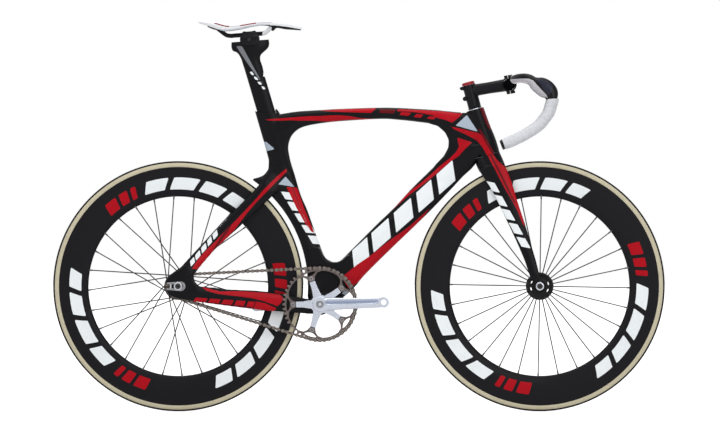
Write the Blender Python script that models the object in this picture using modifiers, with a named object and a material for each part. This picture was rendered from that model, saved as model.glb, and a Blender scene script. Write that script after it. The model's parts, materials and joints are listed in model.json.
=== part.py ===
"""A track bicycle: aero carbon frame, deep-section wheels, drop handlebar and one fixed sprocket.

X points forward, Y to the rider's left and Z up. The ground is Z = 0, and the
origin lies midway between the places where the two wheels touch it.
"""

from math import asin, atan2, copysign, cos, pi, radians, sin, sqrt, tau

import bmesh
import bpy
from mathutils import Matrix, Vector

# Wheels, in metres
WHEELBASE = 0.965
WHEEL_RADIUS = 0.334
TYRE_WIDTH = 0.023
RIM_WIDTH = 0.022
RIM_INNER_RADIUS = 0.2393
SPOKES_PER_SIDE = 14
SPOKE_DIAMETER = 0.002
FLANGE_RADIUS = 0.0368
SPOKE_CIRCLE_RADIUS = 0.033
SPOKE_RING_THICKNESS = 0.0026
SPOKE_STAGGER = 0.0024
FRONT_FIRST_SPOKE = radians(89.0)
REAR_FIRST_SPOKE = radians(41.2)
SPOKE_CROSSINGS = 2
FRONT_FLANGE_OUT = 0.037
REAR_LEFT_FLANGE_OUT = 0.036
REAR_RIGHT_FLANGE_OUT = 0.032
FLANGE_THICKNESS = 0.004
FRONT_DROPOUT_INNER = 0.050
REAR_DROPOUT_INNER = 0.060
FRONT_AXLE_RADIUS = 0.0045
REAR_AXLE_RADIUS = 0.005
FRONT_TIP_THICKNESS = 0.006
TRACK_END_THICKNESS = 0.007
NUT_HEIGHT = 0.0095
NUT_RADIUS = 0.0112

# Frame and fork
BB_DROP = 0.048
TYRE_TO_BB_CENTRE = 0.0475
SEAT_ANGLE = radians(73.5)
SEAT_AXIS_AHEAD = 0.009
SEAT_TUBE_LENGTH = 0.546
NOTCH_UP_SEAT_TUBE = 0.308
STAYS_UP_SEAT_TUBE = 0.376
HEAD_ANGLE = radians(74.5)
FORK_RAKE = 0.0393
TYRE_TO_HEAD_TUBE = 0.040
HEAD_TUBE_LENGTH = 0.127
BB_SHELL_RADIUS = 0.027
BB_SHELL_WIDTH = 0.068
REAR_TYRE_GAP = 0.012
CROWN_TYRE_GAP = 0.008
STEERER_RADIUS = 0.0143
BEARING_RADIUS = 0.019
BEARING_HEIGHT = 0.0074

# Seat
POST_REAR = 0.0238
POST_FRONT = 0.0232
POST_HALF_WIDTH = 0.010
POST_SHOWN = 0.094
POST_INSERTED = 0.120
POST_POCKET_DEPTH = 0.185
RAIL_RADIUS = 0.004
RAIL_SPACING = 0.044
RAIL_SLOPE = radians(4.2)
RAIL_LIFT = 0.005
TILT_RADIUS = 0.016
CLAMP_HALF = 0.0073

# Stem and handlebar
STEM_LENGTH = 0.105
STEM_RISE_FROM_LEVEL = radians(9.3)
STEM_CLAMP_HEIGHT = 0.064
STEM_WALL = 0.0027
FACE_GAP = 0.0006
BAR_CLAMP_RADIUS = 0.0159
BAR_RADIUS = 0.012
BAR_HALF_WIDTH = 0.197
TAPE_THICKNESS = 0.0038

# Drive
CHAINRING_TEETH = 48
SPROCKET_TEETH = 15
CHAIN_PITCH = 0.0127
CHAIN_LINE = 0.042
CHAIN_HALF_WIDTH = 0.0042
TOOTH_HALF_WIDTH = 0.0016
CRANK_LENGTH = 0.170
CRANK_LIFT = radians(1.8)
CRANK_EYE_RADIUS = 0.0147
PEDAL_HOLE_RADIUS = 0.0070
SPIDER_ARMS = 5
FIRST_SPIDER_ARM = radians(36.7)
SPINDLE_RADIUS = 0.012
SPINDLE_HALF_LENGTH = 0.057
SPIDER_OUT = 0.0472
CUP_RADIUS = 0.0200
CUP_FLANGE = 0.0050
PEDAL_FACE_IN = 0.0580
PEDAL_FACE_OUT = 0.0712

# Clearances and facets
GAP = 0.0003
WHEEL_STEPS = 40
TURN_STEPS = 24
SECTION_POINTS = 12

# Points that the sizes above fix, in the X-Z plane
REAR_AXLE = Vector((-WHEELBASE / 2, WHEEL_RADIUS))
FRONT_AXLE = Vector((WHEELBASE / 2, WHEEL_RADIUS))
CHAINSTAY_LENGTH = WHEEL_RADIUS + TYRE_TO_BB_CENTRE
BB = REAR_AXLE + Vector((sqrt(CHAINSTAY_LENGTH**2 - BB_DROP**2), -BB_DROP))
HEAD_LOW = WHEEL_RADIUS + TYRE_TO_HEAD_TUBE
HEAD_HIGH = HEAD_LOW + HEAD_TUBE_LENGTH
TYRE_CENTRE_RADIUS = WHEEL_RADIUS - TYRE_WIDTH / 2


class SideLine:
    """A centre line in the X-Z plane, with distances along it and across it.

    Across is a quarter turn anticlockwise from along, seen from the right side
    of the bicycle.
    """

    def __init__(self, start, end=None, angle=None):
        self.start = Vector(start)
        if angle is None:
            self.direction = (Vector(end) - self.start).normalized()
            self.length = (Vector(end) - self.start).length
        else:
            self.direction = Vector((cos(angle), sin(angle)))
            self.length = 1.0
        self.across = Vector((-self.direction.y, self.direction.x))

    def at(self, along, across=0.0):
        """The X-Z point at these distances."""
        return self.start + self.direction * along + self.across * across

    def share(self, part, across=0.0):
        """The X-Z point at this share of the line's length."""
        return self.at(part * self.length, across)


SEAT_LINE = SideLine(BB + Vector((SEAT_AXIS_AHEAD, 0.0)), angle=pi - SEAT_ANGLE)
STEER_FOOT = FRONT_AXLE - FORK_RAKE * Vector((sin(HEAD_ANGLE), cos(HEAD_ANGLE)))
STEER_LINE = SideLine(STEER_FOOT, angle=pi - HEAD_ANGLE)
TOP_LINE = SideLine(SEAT_LINE.at(SEAT_TUBE_LENGTH - 0.039), STEER_LINE.at(HEAD_HIGH - 0.045))
DOWN_LINE = SideLine(BB, STEER_LINE.at(HEAD_LOW + 0.035))
STAY_LINE = SideLine(REAR_AXLE + Vector((0.0045, 0.020)), SEAT_LINE.at(STAYS_UP_SEAT_TUBE))
CHAINSTAY_LINE = SideLine(REAR_AXLE, BB)
STEM_LINE = SideLine(STEER_LINE.at(HEAD_HIGH + 0.051), angle=STEM_RISE_FROM_LEVEL)
BAR_CENTRE = STEM_LINE.at(STEM_LENGTH)
POST_TOP = SEAT_TUBE_LENGTH + POST_SHOWN
TILT_CENTRE = SEAT_LINE.at(POST_TOP + 0.1015, -0.0142)
RAIL_CENTRE = TILT_CENTRE + RAIL_LIFT * Vector((-sin(RAIL_SLOPE), cos(RAIL_SLOPE)))
SADDLE_LINE = SideLine(RAIL_CENTRE, angle=RAIL_SLOPE)
STEM_FOOT = HEAD_HIGH + 0.0058
STEM_TOP = STEM_FOOT + STEM_CLAMP_HEIGHT

# Colour, metallic and roughness of each finish
FINISHES = {
    "black_paint": ((0.015, 0.015, 0.018), 0.0, 0.25),
    "black_rim": ((0.012, 0.012, 0.013), 0.0, 0.35),
    "cream_rubber": ((0.62, 0.57, 0.43), 0.0, 0.7),
    "spoke_steel": ((0.16, 0.16, 0.17), 0.9, 0.35),
    "black_alloy": ((0.02, 0.02, 0.022), 0.6, 0.4),
    "silver": ((0.72, 0.74, 0.78), 1.0, 0.25),
    "dark_steel": ((0.16, 0.13, 0.12), 0.9, 0.4),
    "white_tape": ((0.85, 0.86, 0.86), 0.0, 0.6),
    "white_cover": ((0.86, 0.87, 0.88), 0.0, 0.45),
    "black_plastic": ((0.02, 0.02, 0.02), 0.0, 0.5),
    "red_alloy": ((0.40, 0.02, 0.03), 0.7, 0.3),
}


def clear_scene():
    """Removes what the scene holds, so that only the bicycle is left."""
    for old in list(bpy.data.objects):
        bpy.data.objects.remove(old, do_unlink=True)


def new_collection(name):
    """A collection linked to the scene."""
    made = bpy.data.collections.new(name)
    bpy.context.scene.collection.children.link(made)
    return made


def make_materials():
    """One Principled material for each finish."""
    made = {}
    for name, (colour, metallic, roughness) in FINISHES.items():
        material = bpy.data.materials.new(name)
        material.use_nodes = True
        shader = material.node_tree.nodes["Principled BSDF"]
        shader.inputs["Base Color"].default_value = (*colour, 1.0)
        shader.inputs["Metallic"].default_value = metallic
        shader.inputs["Roughness"].default_value = roughness
        made[name] = material
    return made


class Workshop:
    """Makes objects, and puts them in the collection of parts or of cutters."""

    def __init__(self):
        clear_scene()
        self.parts = new_collection("track_bicycle")
        self.cutters = new_collection("cutters")
        self.cutters.hide_render = True
        self.materials = make_materials()
        self.cutter_count = 0

    def place(self, obj, finish):
        """Files an object: a finish makes it a part, and None a cutter."""
        if finish is None:
            obj.hide_render = True
            obj.display_type = "WIRE"
            self.cutters.objects.link(obj)
        else:
            obj.data.materials.append(self.materials[finish])
            self.parts.objects.link(obj)
        return obj

    def cutter_name(self):
        """A fresh name for a helper."""
        self.cutter_count += 1
        return f"helper_{self.cutter_count}"

    def mesh_object(self, name, mesh, finish):
        """A mesh with outward faces, as an object with smooth round sides."""
        work = bmesh.new()
        work.from_mesh(mesh)
        bmesh.ops.remove_doubles(work, verts=work.verts, dist=1e-6)
        bmesh.ops.recalc_face_normals(work, faces=work.faces)
        work.to_mesh(mesh)
        work.free()
        mesh.shade_smooth()
        mesh.set_sharp_from_angle(angle=radians(35))
        return self.place(bpy.data.objects.new(name or self.cutter_name(), mesh), finish)

    def loft(self, name, rings, finish, closed=False, cage=False):
        """A skin over rings of points, with flat ends unless the rings close on themselves.

        Each face is split in two the same way on both sides of the bicycle, so
        that a copy grown by a gap stays off the first. A cage keeps whole faces.
        """
        count = len(rings[0])
        points = [point for ring in rings for point in ring]
        spans = len(rings) if closed else len(rings) - 1
        faces = []
        for span in range(spans):
            here, there = span * count, (span + 1) % len(rings) * count
            for side in range(count):
                after = (side + 1) % count
                corners = (here + side, here + after, there + after, there + side)
                if cage:
                    faces.append(corners)
                elif side < count / 2:
                    faces += [corners[:3], (corners[0], *corners[2:])]
                else:
                    faces += [(*corners[:2], corners[3]), corners[1:]]
        if not closed:
            faces.append(tuple(range(count)))
            faces.append(tuple(range((len(rings) - 1) * count, len(rings) * count)))
        mesh = bpy.data.meshes.new(name or "helper")
        mesh.from_pydata(points, [], faces)
        return self.mesh_object(name, mesh, finish)

    def turned(self, name, profile, finish, at, axis="Y", closed=True, steps=TURN_STEPS):
        """A profile of (radius, height) turned about an axis through a point.

        The profile runs down its outer side, top to bottom. Height points to
        the rider's right for the axis Y, and up the steering axis for "steer".
        An open profile starts and ends on the axis.
        """
        mesh = bpy.data.meshes.new(name or "helper")
        points = [(radius, 0.0, height) for radius, height in profile]
        last = len(points) if closed else len(points) - 1
        edges = [(index, (index + 1) % len(points)) for index in range(last)]
        mesh.from_pydata(points, edges, [])
        obj = self.place(bpy.data.objects.new(name or self.cutter_name(), mesh), finish)
        screw = obj.modifiers.new("turn", "SCREW")
        screw.steps = screw.render_steps = steps
        screw.use_merge_vertices = True
        screw.merge_threshold = 1e-5
        obj.location = at
        if axis == "Y":
            obj.rotation_euler = (pi / 2, 0.0, 0.0)
        elif axis == "steer":
            obj.rotation_euler = (0.0, HEAD_ANGLE - pi / 2, 0.0)
        return obj

    def plate(self, name, outlines, y_low, y_high, finish):
        """A flat piece that stands in the X-Z plane between two Y values.

        The first outline is the edge, and any others are holes.
        """
        curve = bpy.data.curves.new(name or "helper", "CURVE")
        curve.dimensions = "2D"
        curve.fill_mode = "BOTH"
        curve.extrude = (y_high - y_low) / 2
        for outline in outlines:
            spline = curve.splines.new("POLY")
            spline.points.add(len(outline) - 1)
            for point, (x, z) in zip(spline.points, outline):
                point.co = (x, z, 0.0, 1.0)
            spline.use_cyclic_u = True
        holder = bpy.data.objects.new("outline", curve)
        holder.location = (0.0, (y_low + y_high) / 2, 0.0)
        holder.rotation_euler = (pi / 2, 0.0, 0.0)
        self.cutters.objects.link(holder)
        bpy.context.view_layer.update()
        graph = bpy.context.evaluated_depsgraph_get()
        mesh = bpy.data.meshes.new_from_object(holder.evaluated_get(graph))
        mesh.transform(holder.matrix_world)
        bpy.data.objects.remove(holder, do_unlink=True)
        bpy.data.curves.remove(curve)
        return self.mesh_object(name, mesh, finish)

    def boolean(self, obj, other, operation):
        """Cuts an object with a helper, or joins a helper to it."""
        modifier = obj.modifiers.new(operation.lower(), "BOOLEAN")
        modifier.operation = operation
        modifier.solver = "EXACT"
        modifier.object = other

    def cut(self, obj, *others):
        """Takes helpers away from an object."""
        for other in others:
            self.boolean(obj, other, "DIFFERENCE")

    def join(self, obj, *others):
        """Adds helpers to an object."""
        for other in others:
            self.boolean(obj, other, "UNION")

    def pivot(self, name, at):
        """An empty on a joint's axis, to carry what turns or slides there."""
        empty = bpy.data.objects.new(name, None)
        empty.location = at
        self.parts.objects.link(empty)
        return empty

    def carry(self, empty, objects):
        """Parents objects to an empty and leaves them where they are."""
        for obj in objects:
            obj.parent = empty
            obj.matrix_parent_inverse = Matrix.Translation(empty.location).inverted()


def spread(point, y=0.0):
    """An X-Z point as a point in space."""
    return Vector((point[0], y, point[1]))


def rounded(value, squareness):
    """A sine or cosine made squarer: 1 gives an ellipse, and less a box with round corners."""
    return copysign(abs(value) ** squareness, value)


def section(low, high, half_width, y=0.0, squareness=0.85, grow=0.0, count=SECTION_POINTS):
    """A ring round the line between two X-Z points, as wide as stated across Y."""
    low, high = Vector(low), Vector(high)
    reach = (high - low) / 2
    reach = reach * (1 + grow / reach.length)
    points = []
    for index in range(count):
        turn = tau * (index + 0.5) / count
        place = (low + high) / 2 + reach * rounded(cos(turn), squareness)
        points.append(spread(place, y + (half_width + grow) * rounded(sin(turn), squareness)))
    return points


def circle_ring(centre, normal, side, radius, count):
    """A ring of points round a place in space, square to a direction and started at its side."""
    other = normal.cross(side).normalized()
    ring = []
    for index in range(count):
        turn = tau * (index + 0.5) / count
        ring.append(centre + (side * cos(turn) + other * sin(turn)) * radius)
    return ring


def arc(centre, radius, start, end, steps):
    """Points on an arc in a plane, both ends with it."""
    points = []
    for index in range(steps + 1):
        turn = start + (end - start) * index / steps
        points.append(Vector(centre) + Vector((cos(turn), sin(turn))) * radius)
    return points


def smooth_path(points, steps):
    """A curve through points, as steps places between each two of them."""
    padded = [points[0] * 2 - points[1], *points, points[-1] * 2 - points[-2]]
    path = []
    for before, start, end, after in zip(padded, padded[1:], padded[2:], padded[3:]):
        for index in range(steps):
            t = index / steps
            bend = (end - before) * t + (before * 2 - start * 5 + end * 4 - after) * t**2
            path.append(start + (bend + (start * 3 - end * 3 + after - before) * t**3) / 2)
    return [*path, points[-1]]


def tube_rings(path, radii, side, count):
    """Rings round a path, each square to it and started at a side that never twists."""
    rings = []
    for index, (place, radius) in enumerate(zip(path, radii)):
        before, after = path[max(index - 1, 0)], path[min(index + 1, len(path) - 1)]
        normal = (after - before).normalized()
        side = (side - normal * side.dot(normal)).normalized()
        rings.append(circle_ring(place, normal, side, radius, count))
    return rings


def rod_rings(line, steps, y=0.0, count=12):
    """Round rings on a line in the X-Z plane, at (distance along it, radius)."""
    rings = []
    for along, radius in steps:
        ring = []
        for index in range(count):
            turn = tau * index / count
            ring.append(spread(line.at(along, radius * cos(turn)), y + radius * sin(turn)))
        rings.append(ring)
    return rings


def both_ways(profile):
    """A turned profile's mirror image, still running down its outer side."""
    return [(radius, -height) for radius, height in reversed(profile)]


def drum(radius, low, high):
    """The profile of a solid disc or drum between two heights."""
    return [(0.0, high), (radius, high), (radius, low), (0.0, low)]


def ring_wall(outer, inner, low, high):
    """The closed profile of a plain ring or tube."""
    return [(outer, high), (outer, low), (inner, low), (inner, high)]


# Frame tubes: each row gives the place along the tube's centre line, the edges to its two sides and
# the half width across Y


def head_tube_rings(grow=0.0, ends=0.0):
    """The head tube, as heights on the steering axis."""
    rows = (
        (HEAD_LOW + GAP, 0.021, -0.0318, 0.0245),
        (HEAD_LOW + 0.033, 0.021, -0.0318, 0.0240),
        (HEAD_LOW + 0.077, 0.021, -0.0268, 0.0228),
        (HEAD_HIGH, 0.0222, -0.0228, 0.0222),
    )
    if ends:
        low_end, high_end = rows[0], rows[-1]
        rows = ((low_end[0] - ends, *low_end[1:]), *rows, (high_end[0] + ends, *high_end[1:]))
    rings = []
    for along, rear, front, half in rows:
        ends_of_chord = STEER_LINE.at(along, front), STEER_LINE.at(along, rear)
        rings.append(section(*ends_of_chord, half, squareness=0.95, grow=grow))
    return rings


def seat_tube_rings(grow=0.0):
    """The seat tube: distance up the seat line at its rear and front edges, and those edges."""
    top, notch = SEAT_TUBE_LENGTH, NOTCH_UP_SEAT_TUBE
    shares = (0.18, 0.37, 0.55)
    waist, neck, collar = [notch + share * (top - notch) for share in shares]
    rows = (
        (-0.004, -0.004, 0.026, -0.004, 0.022),
        (0.030, 0.030, 0.036, -0.008, 0.021),
        (0.060, 0.060, 0.042, -0.026, 0.019),
        (0.098, 0.104, 0.044, -0.052, 0.017),
        (0.120, 0.120, 0.044, -0.040, 0.016),
        (0.193, 0.193, 0.044, -0.034, 0.015),
        (0.252, 0.252, 0.050, -0.031, 0.015),
        (notch, notch - 0.010, 0.060, -0.0255, 0.015),
        (waist, waist, 0.0455, -0.0255, 0.015),
        (neck, neck, 0.033, -0.0250, 0.0145),
        (collar, collar, 0.0305, -0.0270, 0.0145),
        (top, top - 0.025, 0.0295, -0.0310, 0.0140),
    )
    rings = []
    for rear_along, front_along, rear, front, half in rows:
        low, high = SEAT_LINE.at(front_along, front), SEAT_LINE.at(rear_along, rear)
        rings.append(section(low, high, half, grow=grow))
    return rings


def line_rings(line, rows, y=0.0, grow=0.0, squareness=0.85):
    """Rings square to a centre line: share of its length, upper and lower edge, half width."""
    rings = []
    for part, upper, lower, half in rows:
        low, high = line.share(part, lower), line.share(part, upper)
        rings.append(section(low, high, half, y, squareness, grow))
    return rings


TOP_TUBE_ROWS = (
    (0.000, 0.017, -0.064, 0.0130),
    (0.085, 0.026, -0.058, 0.0150),
    (0.105, 0.028, -0.038, 0.0155),
    (0.130, 0.030, -0.022, 0.0160),
    (0.165, 0.032, -0.011, 0.0160),
    (0.240, 0.035, -0.002, 0.0160),
    (0.335, 0.039, 0.005, 0.0160),
    (0.525, 0.044, 0.013, 0.0165),
    (0.620, 0.044, 0.011, 0.0170),
    (0.715, 0.042, 0.006, 0.0175),
    (0.794, 0.040, 0.000, 0.0180),
    (0.832, 0.038, -0.012, 0.0190),
    (0.858, 0.037, -0.040, 0.0200),
    (0.880, 0.036, -0.0445, 0.0205),
    (1.000, 0.031, -0.0450, 0.0210),
)

DOWN_TUBE_ROWS = (
    (0.000, 0.034, -0.026, 0.0210),
    (0.100, 0.050, -0.032, 0.0200),
    (0.165, 0.054, -0.033, 0.0190),
    (0.195, 0.0455, -0.030, 0.0185),
    (0.260, 0.0450, -0.028, 0.0180),
    (0.410, 0.0460, -0.028, 0.0180),
    (0.525, 0.0455, -0.029, 0.0180),
    (0.630, 0.0490, -0.029, 0.0180),
    (0.750, 0.0490, -0.027, 0.0185),
    (0.830, 0.0500, -0.025, 0.0190),
    (0.872, 0.0560, -0.026, 0.0200),
    (0.900, 0.0570, -0.025, 0.0205),
    (0.950, 0.0285, -0.021, 0.0210),
    (0.985, 0.0080, -0.015, 0.0210),
)

# Share of the line, upper and lower edge, and the inner and outer face across Y
SEAT_STAY_ROWS = (
    (0.052, 0.0165, -0.0225, 0.0570, 0.0680),
    (0.100, 0.0190, -0.0210, 0.0535, 0.0650),
    (0.145, 0.0200, -0.0190, 0.0500, 0.0615),
    (0.250, 0.0190, -0.0155, 0.0425, 0.0540),
    (0.345, 0.0185, -0.0160, 0.0360, 0.0475),
    (0.550, 0.0200, -0.0220, 0.0250, 0.0370),
    (0.700, 0.0190, -0.0255, 0.0195, 0.0315),
    (0.790, 0.0190, -0.0285, 0.0175, 0.0290),
    (0.850, 0.0240, -0.0300, 0.0150, 0.0270),
    (0.905, 0.0290, -0.0330, 0.0060, 0.0200),
    (0.940, 0.0300, -0.0350, GAP / 2, 0.0160),
    (1.000, 0.0290, -0.0350, GAP / 2, 0.0150),
)

CHAIN_STAY_ROWS = (
    (0.148, 0.0085, -0.0360, 0.0550, 0.0675),
    (0.220, 0.0095, -0.0360, 0.0500, 0.0630),
    (0.350, 0.0090, -0.0360, 0.0410, 0.0560),
    (0.500, 0.0140, -0.0360, 0.0310, 0.0480),
    (0.650, 0.0160, -0.0350, 0.0230, 0.0405),
    (0.800, 0.0135, -0.0320, 0.0180, 0.0350),
    (0.920, 0.0100, -0.0300, 0.0175, 0.0340),
    (1.000, 0.0060, -0.0270, 0.0175, 0.0340),
)


def stay_rings(line, rows, side):
    """Rings of a stay on one side: 1 for the left and -1 for the right."""
    rings = []
    for part, upper, lower, inner, outer in rows:
        low, high = line.share(part, lower), line.share(part, upper)
        half, middle = (outer - inner) / 2, side * (outer + inner) / 2
        rings.append(section(low, high, half, middle, squareness=0.8))
    return rings


def sweep_of_fork(shop):
    """The space that the fork's crown turns through under the frame."""
    reach = ((0.0, HEAD_LOW), (0.0360, HEAD_LOW), (0.0415, HEAD_LOW - 0.014), (0.0420, HEAD_LOW - 0.07))
    lifted = [(radius, height + GAP) for radius, height in (*reach, (0.0, HEAD_LOW - 0.07))]
    return shop.turned(None, lifted, None, spread(STEER_FOOT), "steer", closed=False)


def tyre_room(shop, axle, radius, half_width):
    """A drum about an axle that keeps a tube off the tyre."""
    profile = drum(radius, -half_width, half_width)
    return shop.turned(None, profile, None, spread(axle), closed=False, steps=2 * WHEEL_STEPS)


def build_frame(shop):
    """The carbon frame, tube by tube, with a hairline between neighbours."""
    half_shell = BB_SHELL_WIDTH / 2
    head_grown = shop.loft(None, head_tube_rings(GAP, ends=0.02), None)
    seat_grown = shop.loft(None, seat_tube_rings(GAP), None)
    top_grown = shop.loft(None, line_rings(TOP_LINE, TOP_TUBE_ROWS, grow=GAP), None)
    shell_room = drum(BB_SHELL_RADIUS + GAP, -half_shell - 0.02, half_shell + 0.02)
    shell_grown = shop.turned(None, shell_room, None, spread(BB), closed=False, steps=32)
    fork_sweep = sweep_of_fork(shop)
    rear_tyre = tyre_room(shop, REAR_AXLE, WHEEL_RADIUS + REAR_TYRE_GAP, 0.05)
    clamp_room = shop.plate(None, [clamp_outline(GAP, top=0.01, rear=0.0)], -CLAMP_HALF, CLAMP_HALF, None)

    head = shop.loft("head_tube", head_tube_rings(), "black_paint")
    bore = [
        (0.0, HEAD_HIGH + 0.01),
        (BEARING_RADIUS + GAP, HEAD_HIGH + 0.01),
        (BEARING_RADIUS + GAP, HEAD_HIGH - BEARING_HEIGHT),
        (STEERER_RADIUS + 0.002, HEAD_HIGH - BEARING_HEIGHT),
        (STEERER_RADIUS + 0.002, HEAD_LOW + BEARING_HEIGHT + 2 * GAP),
        (BEARING_RADIUS + GAP, HEAD_LOW + BEARING_HEIGHT + 2 * GAP),
        (BEARING_RADIUS + GAP, HEAD_LOW - 0.01),
        (0.0, HEAD_LOW - 0.01),
    ]
    shop.cut(head, shop.turned(None, bore, None, spread(STEER_FOOT), "steer", closed=False))

    top = shop.loft("top_tube", line_rings(TOP_LINE, TOP_TUBE_ROWS), "black_paint")
    shop.cut(top, seat_grown, head_grown, clamp_room)

    down = shop.loft("down_tube", line_rings(DOWN_LINE, DOWN_TUBE_ROWS), "black_paint")
    shop.cut(down, seat_grown, shell_grown, head_grown, top_grown, fork_sweep)

    seat = shop.loft("seat_tube", seat_tube_rings(), "black_paint")
    pocket_floor = SEAT_TUBE_LENGTH - POST_POCKET_DEPTH
    pocket = shop.loft(None, post_rings((pocket_floor, SEAT_TUBE_LENGTH + 0.03), GAP), None)
    shop.cut(seat, shell_grown, rear_tyre, pocket, clamp_room)

    shell_wall = ring_wall(BB_SHELL_RADIUS, CUP_RADIUS + GAP, -half_shell, half_shell)
    shop.turned("bottom_bracket_shell", shell_wall, "black_paint", spread(BB), steps=32)

    for side, word in ((1, "left"), (-1, "right")):
        stay = shop.loft(f"seat_stay_{word}", stay_rings(STAY_LINE, SEAT_STAY_ROWS, side), "black_paint")
        shop.cut(stay, seat_grown)
        low_stay = shop.loft(
            f"chain_stay_{word}", stay_rings(CHAINSTAY_LINE, CHAIN_STAY_ROWS, side), "black_paint"
        )
        shop.cut(low_stay, seat_grown, shell_grown)
        build_track_end(shop, side, word)


def build_track_end(shop, side, word):
    """The metal rear end on one side, with its slot open to the rear."""
    stay_foot, chain_end = SEAT_STAY_ROWS[0], CHAIN_STAY_ROWS[0]
    foot = stay_foot[0] * STAY_LINE.length - GAP
    front = chain_end[0] * CHAINSTAY_LINE.length - GAP
    slot = REAR_AXLE_RADIUS + GAP
    slot_end = arc(REAR_AXLE, slot, -pi / 2, pi / 2, 6)
    outline = [
        REAR_AXLE + Vector((-0.0345, slot)),
        *reversed(slot_end),
        REAR_AXLE + Vector((-0.0325, -slot)),
        REAR_AXLE + Vector((-0.0260, -0.0260)),
        REAR_AXLE + Vector((0.0020, -0.0360)),
        CHAINSTAY_LINE.at(front, chain_end[2]),
        CHAINSTAY_LINE.at(front, chain_end[1]),
        REAR_AXLE + Vector((0.0435, 0.0150)),
        STAY_LINE.at(foot, stay_foot[2]),
        STAY_LINE.at(foot, stay_foot[1]),
        REAR_AXLE + Vector((-0.0220, 0.0310)),
        REAR_AXLE + Vector((-0.0355, 0.0150)),
    ]
    faces = sorted((side * REAR_DROPOUT_INNER, side * (REAR_DROPOUT_INNER + TRACK_END_THICKNESS)))
    shop.plate(f"track_end_{word}", [outline], *faces, "silver")


def post_rings(alongs, grow=0.0):
    """The post's constant section at heights on the seat line."""
    rings = []
    for along in alongs:
        low, high = SEAT_LINE.at(along, -POST_FRONT), SEAT_LINE.at(along, POST_REAR)
        rings.append(section(low, high, POST_HALF_WIDTH, squareness=0.9, grow=grow, count=16))
    return rings


def clamp_outline(room=0.0, top=-0.006, rear=-POST_FRONT - GAP):
    """The post clamp's wedge from the side, in the seat tube's upper front corner."""
    edges = (
        (-0.038 - room, rear),
        (top, rear),
        (top, -0.0300 - room),
        (-0.022 + room, -0.0335 - room),
        (-0.038 - room, -0.0300 - room),
    )
    return [SEAT_LINE.at(SEAT_TUBE_LENGTH + along, across) for along, across in edges]


def build_post_clamp(shop):
    """The wedge in front of the post, and the bolt that draws it tight."""
    block = shop.plate("seat_clamp", [clamp_outline()], GAP - CLAMP_HALF, CLAMP_HALF - GAP, "black_alloy")
    line = SideLine(SEAT_LINE.at(SEAT_TUBE_LENGTH - 0.006, -0.0268), angle=pi - SEAT_ANGLE)
    steps = ((-0.024, 0.0015), (GAP, 0.0015), (GAP, 0.0024), (0.0030, 0.0024))
    shop.loft("seat_clamp_bolt", rod_rings(line, steps), "silver")
    hole = rod_rings(line, ((-0.0243, 0.0015 + GAP), (0.002, 0.0015 + GAP)))
    shop.cut(block, shop.loft(None, hole, None))


def build_post(shop):
    """The aero seat post with its flared head, whose flat top holds the clamp's cradle."""
    rings = post_rings((SEAT_TUBE_LENGTH - POST_INSERTED, POST_TOP))
    rows = (
        (0.024, 0.0240, 0.030, -0.0240, 0.0105),
        (0.054, 0.0250, 0.045, -0.0290, 0.0120),
        (0.070, 0.0310, 0.052, -0.0420, 0.0130),
        (0.081, 0.0410, 0.059, -0.0540, 0.0140),
        (0.100, 0.0370, 0.079, -0.0610, 0.0140),
    )
    for rear_along, rear, front_along, front, half in rows:
        low, high = SEAT_LINE.at(POST_TOP + front_along, front), SEAT_LINE.at(POST_TOP + rear_along, rear)
        rings.append(section(low, high, half, squareness=0.9, count=16))
    post = shop.loft("seat_post", rings, "black_paint")
    cradle = drum(TILT_RADIUS + GAP, -0.02, 0.02)
    shop.cut(post, shop.turned(None, cradle, None, spread(TILT_CENTRE), closed=False, steps=48))
    return post


def saddle_block(along, low, high):
    """A rectangle from the side, as long each way as stated and between two heights on the rails' line."""
    corners = ((-along, low), (along, low), (along, high), (-along, high))
    return [SADDLE_LINE.at(*corner) for corner in corners]


def build_saddle_clamp(shop):
    """A cradle that tilts in the post's head, its cap, and the bolt through both."""
    wide = RAIL_SPACING / 2 + RAIL_RADIUS + 0.003
    cradle = [SADDLE_LINE.at(*point) for point in arc((0.0, -RAIL_LIFT), TILT_RADIUS, -pi, 0.0, 16)]
    base = shop.plate("saddle_clamp_base", [saddle_block(0.022, -0.0075, -GAP)], -wide, wide, "black_alloy")
    shop.join(base, shop.plate(None, [cradle], -0.012, 0.012, None))
    cap = shop.plate("saddle_clamp_cap", [saddle_block(0.019, GAP, 0.0075)], -wide, wide, "black_alloy")
    for side in (1, -1):
        groove_y = side * RAIL_SPACING / 2
        steps = ((-0.05, RAIL_RADIUS + GAP), (0.05, RAIL_RADIUS + GAP))
        groove = shop.loft(None, rod_rings(SADDLE_LINE, steps, groove_y, count=16), None)
        shop.cut(base, groove)
        shop.cut(cap, groove)
    upright = SideLine(RAIL_CENTRE, RAIL_CENTRE + SADDLE_LINE.across)
    hole = shop.loft(None, rod_rings(upright, ((-0.0095, 0.003), (0.02, 0.003))), None)
    shop.cut(base, hole)
    shop.cut(cap, hole)
    steps = ((-0.009, 0.0027), (0.0075 + GAP, 0.0027), (0.0075 + GAP, 0.0048), (0.0125, 0.0048))
    bolt = shop.loft("saddle_clamp_bolt", rod_rings(upright, steps), "silver")
    return [base, cap, bolt]


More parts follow.
